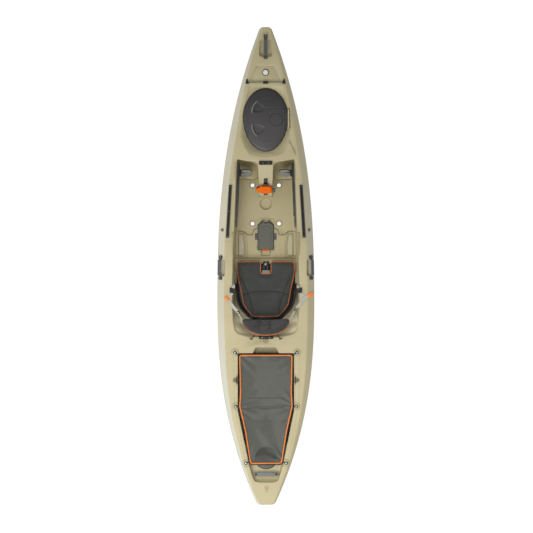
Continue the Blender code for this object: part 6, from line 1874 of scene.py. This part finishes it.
# Backrest. A ribbed nylon frame on the seat pin with a curved foam pad in front of
# it, sewn in three panels and piped round its top edge.
BACK_LEAN, BACK_HALF, BACK_TALL, BACK_BOTTOM = math.radians(24.0), 0.187, 0.285, 0.035
up_axis = Vector((0.0, -math.sin(BACK_LEAN), math.cos(BACK_LEAN)))
out_axis = Vector((0.0, math.cos(BACK_LEAN), math.sin(BACK_LEAN)))


def back_point(x, up, out):
    """A point of the backrest: across, up along it, and out of its front face."""
    return AXIS + Vector((x, 0, 0)) + up_axis * up + out_axis * (out + 0.025 * (x / BACK_HALF) ** 2)


def back_top(x, half, tall):
    return 0.21 * tall + 0.79 * tall * math.sqrt(max(0.0, 1.0 - abs(x / half) ** 2.4))


def back_slab(half, tall, bottom, behind, front, columns=72, rows=44):
    """A closed curved slab between a rear and a front face given as functions of (x, up, top)."""
    rings = []
    for c in range(columns + 1):
        x = half * math.sin(math.pi / 2 * (2 * c / columns - 1))
        top = back_top(x, half, tall)
        base = bottom + 0.062 * max(0.0, (abs(x) / half - 0.8) / 0.2) ** 2
        base = min(base, top - 0.001)
        ups = [base + (top - base) * r / rows for r in range(rows + 1)]
        ring = [back_point(x, up, behind(x, up, top)) for up in ups]
        ring += [back_point(x, up, front(x, up, top)) for up in reversed(ups)]
        rings.append(ring)
    return loft(rings)


def ribbed(x, up, top):
    """The frame's rear face has upright ribs that stop short of its edge."""
    rim = min(1.0, max(0.0, min(top - up, up - 0.03, BACK_HALF - 0.018 - abs(x)) / 0.016))
    return -0.004 - 0.0016 * (0.5 + 0.5 * math.cos(2 * math.pi * x / 0.026)) * rim


shell = [
    back_slab(BACK_HALF - 0.0142, BACK_TALL - 0.0125, BACK_BOTTOM - 0.0115, ribbed, lambda x, up, top: -0.0006)
]
for side in (-1, 1):
    x = sorted((side * 0.1007, side * 0.1163))
    eye_ring = [(0.0085, 0.0), (0.0095, 0.0008), (0.0095, 0.0148), (0.0085, 0.0156)]
    shell.append(moved(turned(eye_ring, 28), on_axis("Y", x[0], AXIS.y, AXIS.z)))
    web = [
        back_point(side * 0.1085, up, out) for up, out in ((0.006, -0.0065), (0.03, -0.0075), (0.058, -0.009))
    ]
    shell.append(sweep(web, oval(0.015, 0.01, 5.0, 16), (0.0, 1.0, 0.3)))
fit("backrest_shell", merge(*shell), pan_nylon, "backrest", ["backrest_frame"])


def swell(x, up, top):
    side = min((BACK_HALF - abs(x)) / 0.03, (top - up) / 0.03, (up - BACK_BOTTOM) / 0.03)
    return 0.011 + 0.0185 * math.sqrt(min(1.0, max(0.0, side)))


foam = back_slab(BACK_HALF - 0.0015, BACK_TALL - 0.0015, BACK_BOTTOM + 0.001, lambda x, up, top: 0.0008, swell)
back_pad = mesh_piece("back_pad", foam)
back_seams = []
for low_x, high_x in ((-0.036, -0.062), (0.03, 0.039)):
    seam = []
    for share in np.linspace(0.0, 1.0, 24):
        up = BACK_BOTTOM + 0.004 + (BACK_TALL - 0.014 - BACK_BOTTOM) * share
        seam.append(back_point(low_x + (high_x - low_x) * share, up, 0.03))
    back_seams.append(seam)
back_edge = []
for x in np.linspace(-1.0, 1.0, 81):
    across = (BACK_HALF - 0.001) * math.sin(math.pi / 2 * x)
    back_edge.append(back_point(across, back_top(across, BACK_HALF, BACK_TALL) - 0.0005, 0.0075))


def back_held(points):
    rel = points - np.array(tuple(AXIS))
    out = rel @ np.array(tuple(out_axis)) - 0.025 * (points[:, 0] / BACK_HALF) ** 2
    firm = np.clip((0.006 - out) / 0.003, 0.0, 1.0)
    for seam in back_seams:
        firm = np.maximum(firm, np.exp(-((distance_to_path(points, seam) / 0.008) ** 2)))
    return np.maximum(firm, 0.9 * np.exp(-((distance_to_path(points, back_edge) / 0.008) ** 2)))


pillow(back_pad, back_held)
press(back_pad, back_seams, tuple(out_axis), 0.0035, 0.0055)
finish(back_pad, seat_cloth, "backrest", ["backrest_pad"], angle=70.0)
piping("back_pad_piping", [back_edge], 0.003, orange_binding, "backrest")
rows = []
for seam in back_seams:
    for shift in (-0.0045, 0.0045):
        rows.append(surface_line(back_pad, [p + Vector((shift, 0, 0)) for p in seam], out_axis, 0.0002))
stitches("back_pad_stitches", rows, dark_thread, "backrest")


# Side straps. Grey webbing runs up the well's wall from the seat to a black
# buckle on the side deck, back down to the backrest, and an orange tail lies out.
BUCKLE = Vector((0.276, -0.188, SIDE_HEIGHT))


def band(points, facings, width=0.025, thick=0.0019, steps=6):
    """Webbing along a smooth path, its flat side to the facings, with texture lengths in metres."""
    path = curve_through(points, steps)
    ups = []
    for a, b in zip(facings, facings[1:]):
        ups += [Vector(a).lerp(Vector(b), i / steps) for i in range(steps)]
    ups.append(Vector(facings[-1]))
    section = oval(width, thick, 7.0, 20)
    bm = sweep(path, section, ups)
    lengths = [0.0]
    for a, b in zip(path, path[1:]):
        lengths.append(lengths[-1] + (b - a).length)
    layer = bm.loops.layers.uv.new("metres")
    bm.verts.index_update()
    for face in bm.faces:
        for loop in face.loops:
            row, column = divmod(loop.vert.index, len(section))
            loop[layer].uv = (lengths[row], section[column][0])
    return bm


def four_bars(half, reach, opening, inner_reach, z, radius, overlap=0.0):
    """Bars round an oblong opening: two across it and two along it, the latter standing out by the overlap."""
    bars = []
    for side in (-1, 1):
        bars.append(rounded_block((-half, half), sorted((side * inner_reach, side * reach)), z, radius))
    for side in (-1, 1):
        x = sorted((side * opening, side * (half + overlap)))
        bars.append(rounded_block(x, (-reach, reach), z, radius))
    return bars


parts = four_bars(0.017, 0.02, 0.013, 0.0145, (0.0006, 0.0106), 0.0018)
parts.append(rounded_block((-0.015, 0.015), (-0.004, 0.001), (0.003, 0.0098), 0.0015))
parts.append(rounded_block((-0.015, 0.015), (-0.016, 0.016), (0.0006, 0.003), 0.0006, 1))
at = Matrix.Translation(BUCKLE + Vector((-0.01, -0.002, 0.0)))
finish_pair("strap_buckle_frame", moved(merge(*parts), at), black_nylon, nodes=["strap_buckle"])

# Each strap leaves its buckle, turns at a fold on the deck and goes down to the
# backrest; the starboard one has its spare end laid out, the port one is folded
# back under its tab.
hold = back_point(BACK_HALF, 0.1, 0.006) + Vector((0.0016, 0.0, 0.0))
deck = SIDE_HEIGHT + 0.0028
upper = {
    "right": [(0.272, -0.209, deck), (0.288, -0.227, deck), (0.304, -0.245, deck)],
    "left": [(-0.264, -0.21, deck), (-0.283, -0.233, deck + 0.0004), (-0.301, -0.254, deck)]
}
lower = {
    "right": [
        (0.303, -0.243, deck + 0.0022), (0.286, -0.268, deck + 0.003), (0.262, -0.302, deck + 0.0055),
        (0.236, -0.337, deck + 0.002)
    ],
    "left": [
        (-0.302, -0.25, deck + 0.0022), (-0.286, -0.276, deck + 0.003), (-0.256, -0.316, deck + 0.0055),
        (-0.222, -0.36, deck + 0.002)
    ]
}
spare = [(0.296, -0.256, deck + 0.0044), (0.318, -0.244, deck + 0.0044), (0.336, -0.234, deck + 0.004)]
fold = {
    "right": [(0.33, -0.237, deck + 0.005), (0.349, -0.227, deck + 0.005), (0.367, -0.216, deck + 0.001)],
    "left": [(-0.318, -0.241, deck + 0.005), (-0.303, -0.2525, deck + 0.0056), (-0.287, -0.265, deck + 0.0058)]
}
UP = (0, 0, 1)
# Orange tape folded over the spare end of each strap
orange_tape = woven("bright orange strap tape", "#E4600A", "#FF8A2A", 0.001, 0.75, 0.15)
for hand, side in (("left", -1.0), ("right", 1.0)):
    end = Vector((side * hold.x, hold.y, hold.z))
    away = Vector((side * 0.01, 0.04, 0.014))
    route = lower[hand] + [tuple(end + away), tuple(end + away * 0.3), tuple(end - away * 0.2)]
    turned_side = (side * (0.75 if side > 0 else 0.45), 0.3, 0.6)
    onto_back = (side * 0.8, 0, 0.6)
    facings = [UP, UP, (side * 0.3, 0.1, 1), turned_side, (side * 0.7, 0.3, 0.7), onto_back, onto_back]
    strap = merge(band(route, facings, 0.0235), band(upper[hand], [UP] * 3))
    if hand == "right":
        strap = merge(strap, band(spare, [UP] * 3))
    piece = mesh_piece(f"side_strap_webbing_{hand}", strap)
    finish(piece, webbing, None, nodes=[f"side_strap_{hand}"])
    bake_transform(piece)
    tab = band(fold[hand], [UP] * 3, 0.0275 if hand == "right" else 0.0225, 0.004)
    fit(f"strap_pull_tab_{hand}", tab, orange_tape)
    # A small black slider where the strap turns down to the backrest
    slider = merge(*four_bars(0.015, 0.012, 0.0125, 0.008, (-0.004, 0.004), 0.0014, 0.0005))
    ahead = (Vector(route[4]) - Vector(route[3])).normalized()
    across = ahead.cross(Vector(turned_side)).normalized()
    turn = Matrix((across, ahead, across.cross(ahead))).transposed().to_4x4()
    slider = moved(slider, Matrix.Translation(Vector(route[3]) + ahead * 0.004) @ turn)
    fit(f"strap_slider_{hand}", slider, black_nylon)

x, y = BUCKLE.x - 0.01, BUCKLE.y - 0.002
lead = []
for before, height in ((0.138, SEAT_FLOOR + 0.04), (0.1, SEAT_FLOOR + 0.092), (0.066, 0.252), (0.042, 0.286)):
    wall = wall_frame(y + before, height).translation
    lead.append((wall.x - 0.002, y + before, height))
lead += [(x - 0.016, y + 0.031, SIDE_HEIGHT + 0.008), (x - 0.003, y + 0.0225, SIDE_HEIGHT + 0.007)]
front = band(lead, [(1.0, 0.0, -DRAFT)] * 4 + [(0.6, 0.0, 0.8), (0.0, 0.0, 1.0)])
finish_pair("strap_lead_webbing", front, webbing, nodes=["strap_lead"])


# Seat bracket. A black plate with two blocks behind the seat, screwed to the
# deck, and a cord hook on each side of it.
BRACKET_Y = -0.5585
near, far = BRACKET_Y - 0.0123, BRACKET_Y + 0.0123
parts = [
    rounded_block((-0.056, 0.056), (near, BRACKET_Y - 0.0075), (0.3004, 0.312), 0.0015),
    rounded_block((-0.056, 0.056), (near, far), (0.3004, 0.305), 0.0012)
]
for side in (-1, 1):
    x = sorted((side * 0.04, side * 0.0555))
    parts.append(rounded_block(x, (BRACKET_Y - 0.0105, BRACKET_Y + 0.0105), (0.304, 0.3195), 0.0025, 3))
fit("seat_bracket", merge(*parts), black_nylon, nodes=["seat_rear_bracket"])
screws("bracket_screws", [((x, BRACKET_Y + 0.001, 0.305), UP) for x in (-0.03, 0.03)], 0.006)
places = [((x, -0.6, SIDE_HEIGHT + 0.0002), UP) for x in (-0.137, 0.137)]
places.append(((0.353, -0.4335, SIDE_HEIGHT - 0.023), (0.67, 0, 0.74)))
screws("deck_screws", places, 0.003)
route = [
    (0.0885, -0.535, 0.3035), (0.0945, -0.548, 0.306), (0.106, -0.564, 0.307), (0.116, -0.569, 0.306),
    (0.128, -0.564, 0.305)
]
hook = tube(curve_through(route, 6), 0.0032)
pad_eye = rounded_block((0.105, 0.117), (-0.576, -0.566), (0.3004, 0.304), 0.0015)
finish_pair("seat_cord_hook", merge(hook, pad_eye), black_nylon)


# Tank well cover. One sheet of vinyl-coated polyester mesh stretched over the
# well by an elastic edge from six anchors, bound with a fat orange piping.
COVER_FRONT, COVER_REAR = -0.696, -1.5455
# Where the anchors stand, and where the pull lines of each begin
anchors = [("front", 0.242, -0.676, 0.4), ("middle", 0.237, -1.098, 1.3), ("rear", 0.1582, -1.54, 2.2)]


def cover_half(y):
    ends = [(COVER_FRONT, 0.206), (-0.99, 0.2005), (-1.097, 0.2075), (-1.3, 0.161), (COVER_REAR, 0.1213)]
    return width_at(y, ends)


def cover_level(x, y):
    """Height of the sheet's middle: taut at its edges, sagging a little between them, with drawn wrinkles."""
    share = np.clip(x / np.array([cover_half(v) for v in y]), -1.0, 1.0)
    along = np.clip((COVER_FRONT - y) / (COVER_FRONT - COVER_REAR), 0.0, 1.0)
    level = np.array([sheer(v) for v in y]) + 0.002
    level = level - 0.01 * (1 - share**2) * np.sin(math.pi * along)
    folds = 0.0
    # Pull lines fan out of each anchor and fade towards the middle
    for side in (-1, 1):
        for _, ax, ay, phase in anchors:
            dx, dy = x - side * ax, y - ay
            reach = np.hypot(dx, dy)
            bearing = np.arctan2(dy, -side * dx)
            fan = np.sin(13.0 * bearing + phase + side)
            folds = folds + 0.0014 * fan * np.exp(-((reach - 0.09) / 0.075) ** 2)
    drape = 0.0012 * np.sin(38.0 * x + 3.0 * np.sin(9.0 * y)) * np.sin(math.pi * along) ** 0.5 * (along > 0.5)
    return level + (folds + drape) * np.sqrt(np.clip(1.0 - np.abs(share) ** 6, 0.0, 1.0))


corners = [
    (0.1213, COVER_REAR, 0.022), (0.161, -1.3, 0.2), (0.2075, -1.097, 0.06), (0.2005, -0.99, 0.06),
    (0.206, COVER_FRONT, 0.016)
]
corners += [(-x, y, r) for x, y, r in reversed(corners)]
cover_outline = smooth_outline(corners, 0.02, 8)


def along_outline(outline, spacing):
    """Even places round a closed outline."""
    out = []
    for (ax, ay), (bx, by) in zip(outline, outline[1:] + outline[:1]):
        pieces = max(1, round(math.hypot(bx - ax, by - ay) / spacing))
        out += [(ax + (bx - ax) * i / pieces, ay + (by - ay) * i / pieces) for i in range(pieces)]
    return out


rim = along_outline(cover_outline, 0.004)
middle_y = (COVER_FRONT + COVER_REAR) / 2
xs, ys = np.arange(-0.212, 0.2121, 0.0036), np.arange(COVER_REAR - 0.001, COVER_FRONT + 0.001, 0.004)
gx, gy = [a.ravel() for a in np.meshgrid(xs, ys)]
inside = polygon_distance(gx, gy, cover_outline) < -0.0022
points = [Vector(p) for p in rim] + [Vector((x, y)) for x, y, keep in zip(gx, gy, inside) if keep]
ring_edges = [(i, (i + 1) % len(rim)) for i in range(len(rim))]
places, edges, faces, *_ = delaunay_2d_cdt(points, ring_edges, [], 1, 1e-6)
px = np.array([p.x for p in places])
py = np.array([p.y for p in places])
pz = cover_level(px, py)
gap = -polygon_distance(px, py, cover_outline)
seam_lines = [
    (0.142, -1.029, 0.001), (0.142, -1.098, 0.0016), (0.142, -1.111, 0.0012), (0.105, -1.518, 0.0014)
]
shade = np.zeros(len(px))
# The cross seams are drawn in and darkened with painted shade
for half, y, depth in seam_lines:
    near = polygon_distance(px, py, [(-half, y), (half, y)], False)
    pz -= depth * np.exp(-((near / 0.004) ** 2))
    shade = np.maximum(shade, 0.45 * np.exp(-((near / 0.0042) ** 2)))
tape = np.clip(1.0 - np.abs(gap - 0.0115) / 0.006, 0.0, 1.0)
lid_under = np.clip((0.088 - np.hypot(px, py - STERN_Y)) / 0.004, 0.0, 1.0) * (py > -1.512)
bm = bmesh.new()
tops = [bm.verts.new((x, y, z + 0.0009)) for x, y, z in zip(px, py, pz)]
lows = [bm.verts.new((x, y, z - 0.0009)) for x, y, z in zip(px, py, pz)]
for face in faces:
    bm.faces.new([tops[i] for i in face])
    bm.faces.new([lows[i] for i in reversed(face)])
for i in range(len(rim)):
    j = (i + 1) % len(rim)
    bm.faces.new((tops[i], lows[i], lows[j], tops[j]))
cover = mesh_piece("tank_cover_sheet", bm)
number = {(round(x, 5), round(y, 5)): i for i, (x, y) in enumerate(zip(px, py))}
order = [number.get((round(v.co.x, 5), round(v.co.y, 5)), 0) for v in cover.data.vertices]
for name, values in (("crease", shade), ("tape", tape), ("lid_under", lid_under)):
    mark(cover.data, name, values[order])

# Vinyl-coated mesh: an open grid of coated threads, seen as a fine grey-green net
mesh_cloth, tree = new_material("grey vinyl-coated mesh")
where = own_place(tree)
warp, weft = threads(tree, where, 0.0018, 0.25)
net = add(tree, "ShaderNodeMath", {"operation": "MAXIMUM"}, {0: warp, 1: weft}).outputs[0]
colour = cloth_shade(tree, net, noise(tree, where, 7.0, 6.0, 0.65), 0.45, "#35372F", "#494B42")
# Painted shade darkens the seams; the tape and the lid seen through the mesh are tinted darker too
for name, strength, shade_colour in (
    ("tape", 0.75, "#333D45"), ("lid_under", 0.95, "#262622"), ("crease", 0.7, "#1E1F1C")
):
    colour = tinted(tree, colour, name, strength, shade_colour)
close_material(tree, colour, net, 0.55, 0.00035, {"Roughness": 0.55, "Coat Weight": 0.1})
finish(cover, mesh_cloth, nodes=["tank_cover"], angle=60.0)

# Elastic edge outside the piping, and the piping itself
elastic = woven("black elastic edge", "#101011", "#29292A", 0.001, 0.82, 0.1)
cover_piping = woven("bright orange piping cover", "#E8700E", "#F88E2C", 0.001, 0.7, 0.15)


def edge_at(inward, lift, spacing=0.006):
    out = []
    for x, y in along_outline(cover_outline, spacing):
        towards = Vector((-x, middle_y - y)).normalized()
        place = Vector((x, y)) + towards * inward
        level = float(cover_level(np.array([place.x]), np.array([place.y]))[0])
        out.append((place.x, place.y, level + lift))
    return out


trim = [
    piping("tank_cover_elastic", [edge_at(-0.004, 0.001)], 0.006, elastic, closed=True),
    piping("tank_cover_piping", [edge_at(0.003, 0.003)], 0.0052, cover_piping, closed=True)
]
rows = [edge_at(inward, 0.0016) for inward in (0.0085, 0.0165)]
trim.append(stitches("tank_cover_edge_stitches", rows, dark_thread, pitch=0.005))
cross_rows = []
for half, y, depth in seam_lines:
    spread_x = np.linspace(-half, half, 40)
    for shift in (-0.0038, 0.0038):
        heights = cover_level(spread_x, np.full(40, y + shift)) + 0.0008
        cross_rows.append([(x, y + shift, z) for x, z in zip(spread_x, heights)])
trim.append(stitches("tank_cover_cross_stitches", cross_rows, dark_thread, pitch=0.005))

# A webbing tab with a hook runs from each corner to its anchor
tabs = []
for name, ax, ay, phase in anchors:
    hold = min(cover_outline, key=lambda p: math.hypot(p[0] - ax, p[1] - ay))
    start = Vector((*hold, sheer(hold[1]) + 0.0045))
    end = Vector((ax, ay, sheer(ay) + 0.0045))
    pull = (start - end).normalized()
    hook = end + pull * 0.0125
    strip = band([start, (start + end) / 2, hook], [UP] * 3, 0.009, 0.0018, 4)
    circle = [(0.0055 * math.cos(a), 0.0055 * math.sin(a), 0.001) for a in np.linspace(0, 2 * math.pi, 15)[:-1]]
    tabs += [strip, tube([hook + Vector(spoke) for spoke in circle], 0.0014, 8, True)]
finish_pair("cover_tabs", merge(*tabs), elastic)
trim += [bpy.data.objects["cover_tabs_left"], bpy.data.objects["cover_tabs_right"]]

# Anchors: a steel eye post on each moulded boss
for name, ax, ay, phase in anchors:
    at = deck_frame(ax, ay) @ Matrix.Translation((0.0, 0.0, 0.0036))
    profile = [
        (0.009, 0.0004), (0.0094, 0.001), (0.009, 0.0024), (0.0056, 0.0036), (0.005, 0.0082), (0.0072, 0.0096),
        (0.0072, 0.011), (0.0052, 0.0119), (0.0036, 0.0116), (0.0032, 0.0092), (0.0008, 0.009)
    ]
    finish_pair(
        f"anchor_{name}", moved(turned(profile, 28), at), stainless, nodes=[f"cover_anchor_{name}"]
    )
    washer = [(0.0096, 0.0002), (0.0146, 0.0002), (0.0146, 0.0012), (0.014, 0.0018), (0.0098, 0.0018)]
    finish_pair(f"anchor_washer_{name}", moved(turned(washer, 32), at), black_nylon)

# Side toggles of the cover, half in their recesses in the well's edge
profile = [(0.006, 0.0), (0.013, 0.0012), (0.0138, 0.0055), (0.0118, 0.0085), (0.006, 0.0095)]
toggle = moved(turned(profile, 28), Matrix.Translation((0.2425, -0.893, 0.3008)))
bar = rounded_block((0.2235, 0.2325), (-0.928, -0.858), (0.3004, 0.3095), 0.0025)
olive = moulded("dark olive cord toggle", "#5A553F", "#6C664D", 0.5, 0.002, 0.00008)
finish_pair("cover_toggle", toggle, olive)
finish_pair("cover_toggle_bar", bar, black_nylon)
places = [((x, y, 0.3095), UP) for x in (-0.228, 0.228) for y in (-0.9215, -0.8645)]
screws("toggle_ends", places, 0.0046)


# Hull protection. A replaceable nylon skid plate is riveted under the stern's
# keel, a foam block carries the foredeck inside the bow, and a plug shuts the drain.
SKID_REAR, SKID_FRONT = -1.785, -1.415
rings = []
for y in fine_places(SKID_REAR, SKID_FRONT, 0.012):
    level = keel(y) - 0.0009
    end = min(1.0, (min(y - SKID_REAR, SKID_FRONT - y) / 0.01) ** 0.5 * 0.35 + 0.65)
    half = 0.0198 * end
    section = [(half, 0.0), (half, -0.003), (half - 0.002, -0.0038)]
    section = [(-x, z) for x, z in section] + section[::-1]
    rings.append([(x, y, level + z) for x, z in section])
fit("skid_plate", loft(rings), black_nylon, nodes=["keel_skid_plate"])
places = [((0.0, y, keel(y) - 0.0038), (0, 0, -1)) for y in (-1.44, -1.52, -1.6, -1.68, -1.76)]
screws("skid_rivets", places, 0.005)
rings = []
for y, shrink in ((1.5002, 0.0025), (1.503, 0.0), (1.597, 0.0), (1.5998, 0.0025)):
    low_z, high_z = keel(y) + 0.0056 + shrink, sheer(y) - 0.0056 - shrink
    corners = [
        (0.03 - shrink, low_z), (0.03 - shrink, high_z), (-0.03 + shrink, high_z), (-0.03 + shrink, low_z)
    ]
    rings.append([(x, y, z) for x, z in smooth_outline(corners, 0.004, 3)])
block_foam = moulded("white minicell foam", "#D8D8D2", "#E6E6E1", 0.95, 0.002, 0.0006)
fit("foam_block", loft(rings), block_foam, nodes=["bow_foam_block"])
drain = deck_frame(0.0, -1.741)
profile = [(0.01, 0.0004), (0.011, 0.001), (0.011, 0.004), (0.0098, 0.0056), (0.004, 0.006)]
plug = merge(turned(profile, 32), rounded_block((-0.0088, 0.0088), (-0.0019, 0.0019), (0.0042, 0.0098), 0.001))
# The plug is moulded in the hull's colour
sand_nylon = moulded("sand-coloured nylon", "#ADA27C", "#B7AC86", 0.52, 0.0016, 0.00006)
fit("drain_plug_cap", moved(plug, drain), sand_nylon, "drain plug", ["drain_plug"])

bpy.data.objects.remove(head)
